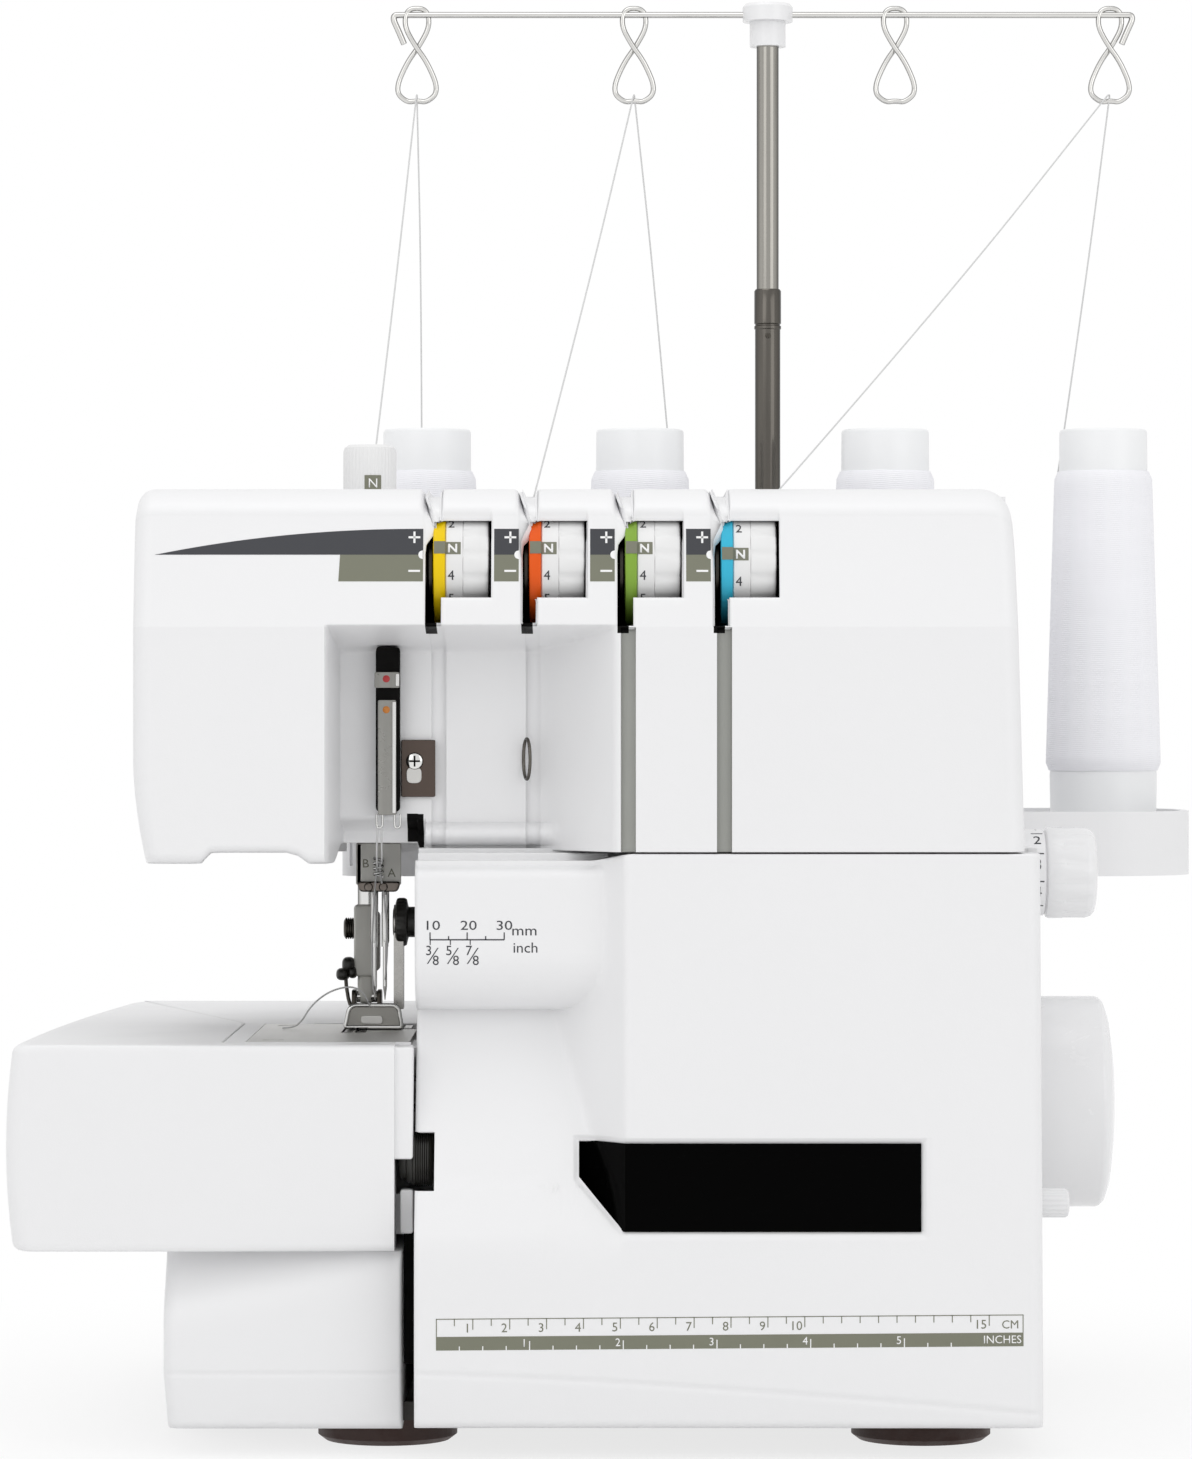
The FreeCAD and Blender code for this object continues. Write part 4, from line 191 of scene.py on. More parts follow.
def make_piece(name, points, faces, material, body, smooth=35.0, uv=None, face_material=None):
    """One mesh piece from points in millimetres: it lies at the origin and rides on its body.
    material is the name of a finish, or a list of such names."""
    mesh = bpy.data.meshes.new(name)
    mesh.from_pydata((np.asarray(points, float).reshape(-1, 3) / MM).tolist(), [], faces)
    if uv is not None:
        layer = mesh.uv_layers.new(name="along")
        index = np.zeros(len(mesh.loops), np.int32)
        mesh.loops.foreach_get("vertex_index", index)
        layer.data.foreach_set("uv", uv[index].astype(np.float32).ravel())
    mesh.polygons.foreach_set("use_smooth", np.ones(len(mesh.polygons), bool))
    for one in material if isinstance(material, (list, tuple)) else [material]:
        mesh.materials.append(FINISHES[one])
    if face_material is not None:
        mesh.polygons.foreach_set("material_index", face_material.astype(np.int32))
    mesh.update()
    mesh.set_sharp_from_angle(angle=math.radians(smooth))
    piece = bpy.data.objects.new(name, mesh)
    bpy.context.scene.collection.objects.link(piece)
    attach(piece, body)
    return piece


def weld(piece, reach=0.004, outward=False):
    """Merges points closer than reach millimetres, and turns the faces outwards if asked."""
    work = bmesh.new()
    work.from_mesh(piece.data)
    bmesh.ops.remove_doubles(work, verts=work.verts, dist=reach / MM)
    if outward:
        bmesh.ops.recalc_face_normals(work, faces=work.faces)
    work.to_mesh(piece.data)
    work.free()
    piece.data.update()
    return piece


def grid_faces(rows, columns, start=0, wrap_rows=False, wrap_columns=False):
    """Quads between the neighbours of a grid of points, wrapped round where asked."""
    index = start + np.arange(rows * columns).reshape(rows, columns)
    if wrap_rows:
        index = np.vstack([index, index[:1]])
    if wrap_columns:
        index = np.hstack([index, index[:, :1]])
    corners = [index[:-1, :-1], index[:-1, 1:], index[1:, 1:], index[1:, :-1]]
    return np.stack(corners, -1).reshape(-1, 4)


def turned(radius, place, centre, axis, steps, swell):
    """Points of a profile turned once round an axis; swell(angle, place) adds to the radius."""
    angle = np.linspace(0, 2 * np.pi, steps, endpoint=False)
    r = np.repeat(radius[:, None], steps, 1)
    if swell is not None:
        r = np.where(r > 1e-6, r + swell(angle[None, :], place[:, None]), 0.0)
    flat = [r * np.cos(angle)[None, :], r * np.sin(angle)[None, :], np.repeat(place[:, None], steps, 1)]
    order = {"Z": (0, 1, 2), "X": (2, 0, 1), "Y": (1, 2, 0)}[axis]
    return np.stack([flat[k] for k in order], -1) + np.array(centre, float)


def lathe(name, profile, centre, axis, material, body, steps=64, swell=None, uv=False):
    """A profile of (radius, place along the axis) turned once round.  Ends on the axis close in a
    pole, and an end off it is closed by a flat lid."""
    radius, place = np.array(profile, float).T
    if radius[0] > 1e-6:
        radius, place = np.concatenate([[0.0], radius]), np.concatenate([[place[0]], place])
    if radius[-1] > 1e-6:
        radius, place = np.concatenate([radius, [0.0]]), np.concatenate([place, [place[-1]]])
    points = turned(radius, place, centre, axis, steps, swell)
    faces = grid_faces(len(radius), steps, wrap_columns=True)
    around = None
    if uv:
        turn = np.linspace(0, 2 * np.pi, steps, endpoint=False) / (2 * np.pi)
        along = (place - place.min()) / (place.max() - place.min())
        around = np.stack([np.repeat(turn[None, :], len(radius), 0), np.repeat(along[:, None], steps, 1)],
                          -1).reshape(-1, 2)
    piece = make_piece(name, points, faces.tolist(), material, body, uv=around)
    return weld(piece, outward=True)


def closed_profile(name, profile, centre, axis, material, body, steps=64, swell=None):
    """A closed loop of (radius, place) turned round the axis: a ring, a cup or a hollow cone."""
    radius, place = np.array(profile, float).T
    points = turned(radius, place, centre, axis, steps, swell)
    faces = grid_faces(len(radius), steps, wrap_rows=True, wrap_columns=True)
    piece = make_piece(name, points, faces.tolist(), material, body)
    return weld(piece, outward=True)


def fluting(count, depth, start, end, power=1.0):
    """A swell by -depth * (0.5 - 0.5 cos(count * angle)) ** power between two places on the axis."""
    def swell(angle, place):
        wave = 0.5 - 0.5 * np.cos(angle * count)
        return -depth * wave ** power * (place > start) * (place < end)
    return swell


def tube_points(path, radius, sides):
    """Rings of points round a path: each ring lies across the path's direction, turned by cross
    products with one fixed side vector that the path never runs along."""
    path = np.asarray(path, float)
    ahead = np.gradient(path, axis=0)
    ahead /= np.linalg.norm(ahead, axis=1, keepdims=True)
    spread = np.abs(ahead).max(0)
    side = np.zeros(3)
    side[int(np.argmin(spread))] = 1.0
    across = np.cross(ahead, side)
    across /= np.linalg.norm(across, axis=1, keepdims=True)
    upward = np.cross(across, ahead)
    angle = np.linspace(0, 2 * np.pi, sides, endpoint=False)
    cosine, sine = np.cos(angle)[None, :, None], np.sin(angle)[None, :, None]
    return path[:, None, :] + (cosine * across[:, None, :] + sine * upward[:, None, :]) * radius


def tube(name, path, radius, material, body, sides=12):
    """A round bar along a path, closed at both ends."""
    rings = tube_points(path, radius, sides)
    count = len(rings)
    points = np.concatenate([rings.reshape(-1, 3), rings[:1].mean(1), rings[-1:].mean(1)])
    faces = grid_faces(count, sides, wrap_columns=True).tolist()
    base = np.arange(sides)
    after = (base + 1) % sides
    faces += np.stack([after, base, np.full(sides, count * sides)], -1).tolist()
    last = (count - 1) * sides
    faces += np.stack([last + base, last + after, np.full(sides, count * sides + 1)], -1).tolist()
    piece = make_piece(name, points, faces, material, body, 60.0)
    return weld(piece, reach=0.0005, outward=True)


def curve_mesh(curve):
    """Points and faces of a curve or a line of lettering, which is removed once it is read."""
    holder = bpy.data.objects.new(curve.name, curve)
    bpy.context.scene.collection.objects.link(holder)
    bpy.context.view_layer.update()
    mesh = bpy.data.meshes.new_from_object(holder.evaluated_get(bpy.context.evaluated_depsgraph_get()))
    points = np.zeros(len(mesh.vertices) * 3)
    mesh.vertices.foreach_get("co", points)
    faces = [tuple(face.vertices) for face in mesh.polygons]
    bpy.data.objects.remove(holder)
    bpy.data.meshes.remove(mesh)
    bpy.data.curves.remove(curve)
    return points.reshape(-1, 3), faces


def smooth_path(points):
    """Points along a NURBS curve of order 3 whose control points are given, in millimetres."""
    curve = bpy.data.curves.new("route", "CURVE")
    curve.dimensions = "3D"
    spline = curve.splines.new("NURBS")
    spline.points.add(len(points) - 1)
    for held, point in zip(spline.points, points):
        held.co = (point[0] / MM, point[1] / MM, point[2] / MM, 1.0)
    spline.order_u = 3
    spline.use_endpoint_u = True
    spline.resolution_u = 40
    return curve_mesh(curve)[0] * MM


def upright(a, z, depth):
    """A place on a cover that faces the operator: across, up, and back from the front plane."""
    return np.stack([a, FRONT + depth, z], -1)


def moulding(name, across, along, depth, back, shift, material, body, hidden=None, paint=None,
             wall=1.2, sides=("left", "right", "low", "high"), warp=None, ways=()):
    """A moulded cover as a height field: depth(a, b) on a grid of lines, laid in space by
    upright(a, b, depth), with its rim carried straight back to back(a, b).  warp bends the grid
    before the depth is worked out, shift moves its points after, hidden marks cells left open,
    and paint gives each cell's material; ways are the spans of a left open in the lower rim.
    Solidify then adds the wall inwards."""
    steps = 5
    flat_a, flat_b = np.meshgrid(across, along)
    a, b = (flat_a, flat_b) if warp is None else warp(flat_a, flat_b)
    d = depth(a, b)

    def place(ga, gb, gd):
        moved = shift(ga, gb, gd)
        return upright(moved[0], moved[1], gd).reshape(-1, 3)

    cell_a = (flat_a[:-1, :-1] + flat_a[1:, 1:]) / 2
    cell_b = (flat_b[:-1, :-1] + flat_b[1:, 1:]) / 2
    cell_d = (d[:-1, :-1] + d[1:, 1:] + d[:-1, 1:] + d[1:, :-1]) / 4
    kept = np.ones(cell_a.size, bool) if hidden is None else ~hidden(cell_a, cell_b).ravel()
    blocks, faces = [place(a, b, d)], [grid_faces(len(along), len(across))[kept]]
    colour = np.zeros(cell_a.size) if paint is None else paint(cell_a, cell_b, cell_d).ravel()
    colours, start = [colour[kept]], a.size
    share = np.linspace(0, 1, steps + 1)[:, None]
    rims = {"left": np.s_[:, 0], "right": np.s_[:, -1], "low": np.s_[0, :], "high": np.s_[-1, :]}
    for side in sides:
        edge_a, edge_b, edge_d = a[rims[side]], b[rims[side]], d[rims[side]]
        deep = np.maximum(back(edge_a, edge_b), edge_d + 0.05)
        gd = edge_d[None, :] * (1 - share) + deep[None, :] * share
        ga, gb = np.repeat(edge_a[None, :], steps + 1, 0), np.repeat(edge_b[None, :], steps + 1, 0)
        blocks.append(place(ga, gb, gd))
        made = grid_faces(steps + 1, len(edge_a), start)
        if hidden is not None:
            made = made[~np.tile(hidden(cell_a, cell_b)[rims[side]], steps)]
        if side == "low" and ways:
            middle = (edge_a[1:] + edge_a[:-1]) / 2
            free = np.any([(middle > first) & (middle < last) for first, last in ways], 0)
            made = made[~np.tile(free, steps)]
        faces.append(made[:, ::-1] if side in ("right", "low") else made)
        colours.append(np.zeros(len(made)))
        start += gd.size
    piece = make_piece(name, np.concatenate(blocks), np.concatenate(faces).tolist(), material, body,
                       face_material=np.concatenate(colours))
    weld(piece)
    solid = piece.modifiers.new("wall", "SOLIDIFY")
    solid.thickness = wall / MM
    solid.offset = -1.0
    return piece


def round_corners(points, radius, steps=5):
    """A polygon with each corner replaced by a quadratic curve that starts a radius away."""
    points = np.asarray(points, float)
    before, after = np.roll(points, 1, 0) - points, np.roll(points, -1, 0) - points
    reach_b, reach_a = np.linalg.norm(before, axis=1), np.linalg.norm(after, axis=1)
    radius = np.minimum(np.broadcast_to(radius, len(points)), 0.48 * np.minimum(reach_b, reach_a))
    first = points + before / reach_b[:, None] * radius[:, None]
    last = points + after / reach_a[:, None] * radius[:, None]
    t = np.linspace(0, 1, steps)[None, :, None]
    curve = (1 - t) ** 2 * first[:, None] + 2 * t * (1 - t) * points[:, None] + t * t * last[:, None]
    return curve.reshape(-1, 2)


def slab(name, outline, axis, start, end, bevel, material, body):
    """A plate: its outline carried from start to end along an axis.  Its edges are rounded where the
    outline is drawn in along its own normals by bevel * (1 - sin t) while it goes bevel * (1 - cos t)
    deep.  A narrow flat rim keeps each end's shading flat."""
    outline = np.asarray(outline, float)
    along = np.roll(outline, -1, 0) - np.roll(outline, 1, 0)
    across = np.stack([along[:, 1], -along[:, 0]], -1) / np.linalg.norm(along, axis=1, keepdims=True)
    area = np.sum(outline[:, 0] * np.roll(outline[:, 1], -1) - np.roll(outline[:, 0], -1) * outline[:, 1])
    across = across * np.sign(area)
    turn = np.linspace(0, np.pi / 2, 4)
    drawn_in, carried = bevel * (1 - np.sin(turn)), bevel * (1 - np.cos(turn))
    inset = np.concatenate([[bevel + 0.02], drawn_in, drawn_in[::-1], [bevel + 0.02]])
    deep = np.concatenate([[start], start + carried, end - carried[::-1], [end]])
    flat = outline[None] - across[None] * inset[:, None, None]
    deep = np.broadcast_to(deep[:, None], flat.shape[:2])
    columns = {"X": (deep, flat[..., 0], flat[..., 1]), "Y": (flat[..., 0], deep, flat[..., 1]),
               "Z": (flat[..., 0], flat[..., 1], deep)}[axis]
    points = np.stack(columns, -1).reshape(-1, 3)
    rows, count = deep.shape
    faces = grid_faces(rows, count, wrap_columns=True).tolist()
    faces += [list(range(count)), list(range((rows - 1) * count, rows * count))]
    piece = make_piece(name, points, faces, material, body)
    return weld(piece, reach=0.0008, outward=True)


def rounded_box(x0, x1, z0, z1, radius):
    """The outline of a rectangle with round corners."""
    return round_corners([(x0, z0), (x1, z0), (x1, z1), (x0, z1)], radius)


def panel(name, x0, x1, z0, z1, corner, start, end, bevel, material, body):
    """A rectangular slab with round corners that faces the operator, from start to end in y."""
    return slab(name, rounded_box(x0, x1, z0, z1, corner), "Y", start, end, bevel, material, body)


def bent_path(start, corners, end, radii, legs):
    """A path of straight legs joined by round corners, each a quadratic curve: legs gives the number
    of points on every leg, so that two such paths can be joined point by point."""
    steps = 9
    stops = [np.array(start, float)]
    ways = [np.array(p, float) for p in (*corners, end)]
    before = stops[0]
    for corner, after, radius in zip(ways[:-1], ways[1:], radii):
        first = corner + (before - corner) / np.linalg.norm(before - corner) * radius
        last = corner + (after - corner) / np.linalg.norm(after - corner) * radius
        t = np.linspace(0, 1, steps)[:, None]
        stops += list((1 - t) ** 2 * first + 2 * t * (1 - t) * corner + t * t * last)
        before = corner
    stops.append(ways[-1])
    path = []
    for index, (a, b) in enumerate(zip(stops[:-1], stops[1:])):
        count = legs[index // steps] if index % steps == 0 else 1
        path += list(a + (b - a) * np.linspace(0, 1, count + 1)[:-1, None])
    return np.array(path + [stops[-1]])


def band(name, outer, inner, low, high, round_outer, round_inner, material, body, shape):
    """A horseshoe between two plan curves with as many points: every cross section is a rectangle
    with round corners, and shape(points) bends the finished points."""
    reach = np.linalg.norm(outer - inner, axis=1)[:, None]
    turn = np.linspace(0, np.pi / 2, 5)
    flat = np.array([0.05])
    out_inset = np.concatenate([round_outer + flat, round_outer * (1 - np.sin(turn))])
    out_rise = np.concatenate([0 * flat, round_outer * (1 - np.cos(turn))])
    in_inset = np.concatenate([round_inner * (1 - np.sin(turn[::-1])), round_inner + flat])
    in_rise = np.concatenate([round_inner * (1 - np.cos(turn[::-1])), 0 * flat])
    walls = np.linspace(low + round_outer, high - round_outer, 9)[1:-1]
    share = np.concatenate([out_inset / reach, np.zeros((len(reach), 7)), out_inset[::-1] / reach,
                            1 - in_inset[::-1] / reach, 1 - in_inset / reach], 1)
    height = np.concatenate([low + out_rise, walls, high - out_rise[::-1], high - in_rise[::-1],
                             low + in_rise])
    plan = outer[:, None] + (inner - outer)[:, None] * share[..., None]
    rows, columns = plan.shape[:2]
    tall = np.broadcast_to(height[None, :, None], (rows, columns, 1))
    points = shape(np.concatenate([plan, tall], -1).reshape(-1, 3))
    faces = grid_faces(rows, columns, wrap_columns=True).tolist()
    faces += [list(range(columns)), list(range((rows - 1) * columns, rows * columns))]
    piece = make_piece(name, points, faces, material, body)
    return weld(piece, reach=0.0008, outward=True)


def soft_block(name, low, high, edge, material, body):
    """A rounded block: a superellipsoid whose sines and cosines are raised to a small power."""
    low, high = np.array(low, float), np.array(high, float)
    half, middle = (high - low) / 2, (high + low) / 2
    v, u = np.meshgrid(np.linspace(-np.pi / 2, np.pi / 2, 33),
                       np.linspace(-np.pi, np.pi, 64, endpoint=False))

    def bent(value):
        return np.sign(value) * np.abs(value) ** edge

    points = np.stack([half[0] * bent(np.cos(v)) * bent(np.cos(u)),
                       half[1] * bent(np.cos(v)) * bent(np.sin(u)), half[2] * bent(np.sin(v))], -1) + middle
    faces = grid_faces(64, 33, wrap_rows=True)
    piece = make_piece(name, points, faces.tolist(), material, body, 40.0)
    return weld(piece, reach=0.0008, outward=True)


# ---- flat prints: thin solids laid on a surface ----

def box_print(x0, x1, z0, z1):
    """A flat rectangle as eight points (x, depth 0 or 1, z) and six faces."""
    points = np.array([(x, t, z) for t in (0, 1) for x, z in ((x0, z0), (x1, z0), (x1, z1), (x0, z1))],
                      float)
    faces = [(0, 1, 2, 3), (7, 6, 5, 4), (0, 4, 5, 1), (1, 5, 6, 2), (2, 6, 7, 3), (3, 7, 4, 0)]
    return points, faces


def stood_up(shape):
    """A flat shape turned a quarter round, so that what ran along x runs up z."""
    flat, faces = shape
    return np.stack([-flat[:, 2], flat[:, 1], flat[:, 0]], -1), faces


def patch_print(x0, x1, z0, z1):
    """A flat rectangle in narrow strips up z, so that it follows a round surface."""
    z = np.linspace(z0, z1, 9)
    return stood_up(band_print(z, np.full(9, -x1), np.full(9, -x0)))


def slash_print(x0, x1, z0, z1):
    """A slanted stroke from the lower left to the upper right."""
    x = np.linspace(x0, x1, 9)
    return stood_up(band_print(np.linspace(z0, z1, 9), -x - 0.34, -x))


def band_print(x, low, high):
    """A flat band between two curves low(x) and high(x) given as arrays over x."""
    count = len(x)
    front = np.stack([np.stack([x, np.zeros(count), low], -1), np.stack([x, np.zeros(count), high], -1)])
    back = front + np.array([0.0, 1.0, 0.0])
    loop = np.concatenate([front[:1], front[1:], back[1:], back[:1]])
    faces = grid_faces(4, count, wrap_rows=True).tolist()
    faces += [(0, 3 * count, 2 * count, count), (count - 1, 2 * count - 1, 3 * count - 1, 4 * count - 1)]
    return loop.reshape(-1, 3), faces


def text_print(text, x, z, height, align="CENTER", stretch=1.0, bold=0.0):
    """Lettering as points (x, depth 0 or 1, z): the middle of the line at x, its foot at z."""
    curve = bpy.data.curves.new("lettering", "FONT")
    curve.body = text
    curve.size = height / 0.72
    curve.align_x = align
    curve.extrude = 0.5
    curve.offset = bold
    curve.resolution_u = 3
    flat, faces = curve_mesh(curve)
    return np.stack([x + flat[:, 0] * stretch, 0.5 - flat[:, 2], z + flat[:, 1]], -1), faces


def lay_prints(name, shapes, surface, material, body, lift=0.05, thick=0.1):
    """Flat shapes (x, depth 0 or 1, z) laid on a surface(x, z, height) a lift above it."""
    points, faces, start = [], [], 0
    for flat, around in shapes:
        points.append(surface(flat[:, 0], flat[:, 2], lift - thick * flat[:, 1]))
        faces += [tuple(start + i for i in face) for face in around]
        start += len(flat)
    piece = make_piece(name, np.concatenate(points), faces, material, body, 20.0)
    return weld(piece, reach=0.0005, outward=True)


# ---- finishes ----

def put(tree, kind, values=None, **settings):
    """A shader node with its settings, and its inputs filled by name or number."""
    made = tree.nodes.new(kind)
    for key, value in settings.items():
        setattr(made, key, value)
    for key, value in (values or {}).items():
        if isinstance(value, bpy.types.NodeSocket):
            tree.links.new(value, made.inputs[key])
        else:
            made.inputs[key].default_value = value
    return made


def maths(tree, operation, *values):
    """The result of one step of arithmetic on numbers or sockets."""
    return put(tree, "ShaderNodeMath", dict(enumerate(values)), operation=operation).outputs[0]


def noise(tree, where, scale, detail, **more):
    """Values of a noise field at a place; more holds its other inputs."""
    values = {"Vector": where, "Scale": scale, "Detail": detail, **more}
    return put(tree, "ShaderNodeTexNoise", values).outputs[0]


def stretched(tree, where, ratio):
    """A place with each of its axes multiplied by its own ratio."""
    return put(tree, "ShaderNodeVectorMath", {0: where, 1: ratio}, operation="MULTIPLY").outputs[0]


def shader_group(name, **inputs):
    """A node group with named number inputs and its outputs Grain, Shade and Marks: the tree, its
    inputs, the place on the object, and a function that joins the three outputs."""
    tree = bpy.data.node_groups.new(name, "ShaderNodeTree")
    for key, value in inputs.items():
        label = key.replace("_", " ")
        tree.interface.new_socket(label, in_out="INPUT", socket_type="NodeSocketFloat").default_value = value
    for label in ("Grain", "Shade", "Marks"):
        tree.interface.new_socket(label, in_out="OUTPUT", socket_type="NodeSocketFloat")
    given, made = put(tree, "NodeGroupInput"), put(tree, "NodeGroupOutput")

    def join(*results):
        for result, socket in zip(results, made.inputs):
            tree.links.new(result, socket)

    return tree, given.outputs, put(tree, "ShaderNodeTexCoord").outputs["Object"], join


def moulded_group():
    """Fine eroded grain, slow unevenness and handling marks of moulded plastic or cast metal."""
    tree, given, where, join = shader_group("Moulded surface", Grain_size=0.0006, Mark_size=0.03)
    fine = maths(tree, "DIVIDE", 1.0, given["Grain size"])
    slow = maths(tree, "DIVIDE", 1.0, given["Mark size"])
    bent = noise(tree, where, slow, 6.0, Roughness=0.7, Distortion=1.5)
    marks = put(tree, "ShaderNodeMapRange", {"Value": bent, "From Min": 0.42, "From Max": 0.72},
                interpolation_type="SMOOTHSTEP")
    join(noise(tree, where, fine, 3.0, Roughness=0.6), noise(tree, where, slow, 2.0), marks.outputs[0])


def brushed_group():
    """Long fine scratches along one axis: noise stretched by a ratio for each axis."""
    tree, given, where, join = shader_group("Brushed surface", Along_X=1.0, Along_Y=1.0, Along_Z=1.0,
                                            Grain_size=0.0004)
    ratio = put(tree, "ShaderNodeCombineXYZ", {0: given[0], 1: given[1], 2: given[2]}).outputs[0]
    drawn = stretched(tree, where, ratio)
    fine = maths(tree, "DIVIDE", 1.0, given["Grain size"])
    join(noise(tree, drawn, fine, 4.0), noise(tree, drawn, 400.0, 3.0),
         noise(tree, where, 70.0, 5.0, Roughness=0.7))


def wound_group():
    """Thread wound on a cone: two sets of fine helical turns that cross, on the map called along."""
    tree, given, where, join = shader_group("Wound thread", Turns=150.0, Cross=9.0)
    axes = put(tree, "ShaderNodeSeparateXYZ", {0: put(tree, "ShaderNodeUVMap",
                                                      uv_map="along").outputs[0]}).outputs
    sets = []
    for sign in (1.0, -1.0):
        slant = maths(tree, "MULTIPLY", maths(tree, "MULTIPLY", axes[0], given["Cross"]), sign)
        turns = maths(tree, "MULTIPLY_ADD", axes[1], given["Turns"], slant)
        sets.append(maths(tree, "SINE", maths(tree, "MULTIPLY", turns, 2 * math.pi)))
    shade = noise(tree, stretched(tree, where, (25.0, 25.0, 150.0)), 1.0, 3.0, Distortion=1.2)
    join(maths(tree, "MAXIMUM", *sets), shade, shade)


def linear(colour):
    """A colour of three values from 0 to 255 as the linear values a shader holds."""
    share = np.array(colour, float) / 255
    low = share / 12.92
    high = ((share + 0.055) / 1.055) ** 2.4
    return (*np.where(share <= 0.04045, low, high).tolist(), 1.0)


def screen(colour):
    """A colour of the panel as values from 0 to 255."""
    return tuple(255 * c for c in colour)


FINISHES = {}


def finish(name, colour, rough, bump, drift, group="Moulded surface", edge=None, **extra):
    """A finish: two shades of one colour, a range of roughness and a bump, all from one group.
    edge is a painted reflection: a colour mixed into the base colour where a bright metal curves away
    from the view, standing in for the darker surroundings it would mirror there.  extra holds the
    group's own numbers and any of the shader's plain sockets."""
    if name in FINISHES:
        return
    material = bpy.data.materials.new(name)
    material.use_nodes = True
    tree = material.node_tree
    tree.nodes.clear()
    pattern = put(tree, "ShaderNodeGroup", node_tree=bpy.data.node_groups[group])
    shader = put(tree, "ShaderNodeBsdfPrincipled")
    for key, value in extra.items():
        label = key.replace("_", " ")
        (pattern if label in pattern.inputs else shader).inputs[label].default_value = value
    light = linear(colour)
    dark = tuple(c * drift for c in light[:3]) + (1.0,)
    tint = put(tree, "ShaderNodeMix", data_type="RGBA")
    colours = [s for s in tint.inputs if s.type == "RGBA"]
    colours[0].default_value, colours[1].default_value = light, dark
    tree.links.new(pattern.outputs["Shade"], tint.inputs["Factor"])
    colour_out = [s for s in tint.outputs if s.type == "RGBA"][0]
    # painted reflection: towards grazing angles of the view the edge colour replaces the base colour
    if edge is not None:
        painted_reflection_facing = put(tree, "ShaderNodeLayerWeight", {"Blend": 0.5}).outputs["Facing"]
        turned = put(tree, "ShaderNodeMapRange", {"Value": painted_reflection_facing, "From Min": 0.15, "From Max": 0.75},
                     interpolation_type="SMOOTHSTEP")
        curve = put(tree, "ShaderNodeMix", data_type="RGBA")
        ends = [s for s in curve.inputs if s.type == "RGBA"]
        ends[1].default_value = linear(edge)
        tree.links.new(colour_out, ends[0])
        tree.links.new(turned.outputs[0], curve.inputs["Factor"])
        colour_out = [s for s in curve.outputs if s.type == "RGBA"][0]
    tree.links.new(colour_out, shader.inputs["Base Color"])
    worn = put(tree, "ShaderNodeMapRange", {"Value": pattern.outputs["Marks"], "To Min": rough[0],
                                            "To Max": rough[1]})
    tree.links.new(worn.outputs[0], shader.inputs["Roughness"])
    relief = put(tree, "ShaderNodeBump", {"Height": pattern.outputs["Grain"], "Strength": bump,
                                          "Distance": 0.0002})
    tree.links.new(relief.outputs[0], shader.inputs["Normal"])
    out = put(tree, "ShaderNodeOutputMaterial")
    tree.links.new(shader.outputs[0], out.inputs["Surface"])
    FINISHES[name] = material


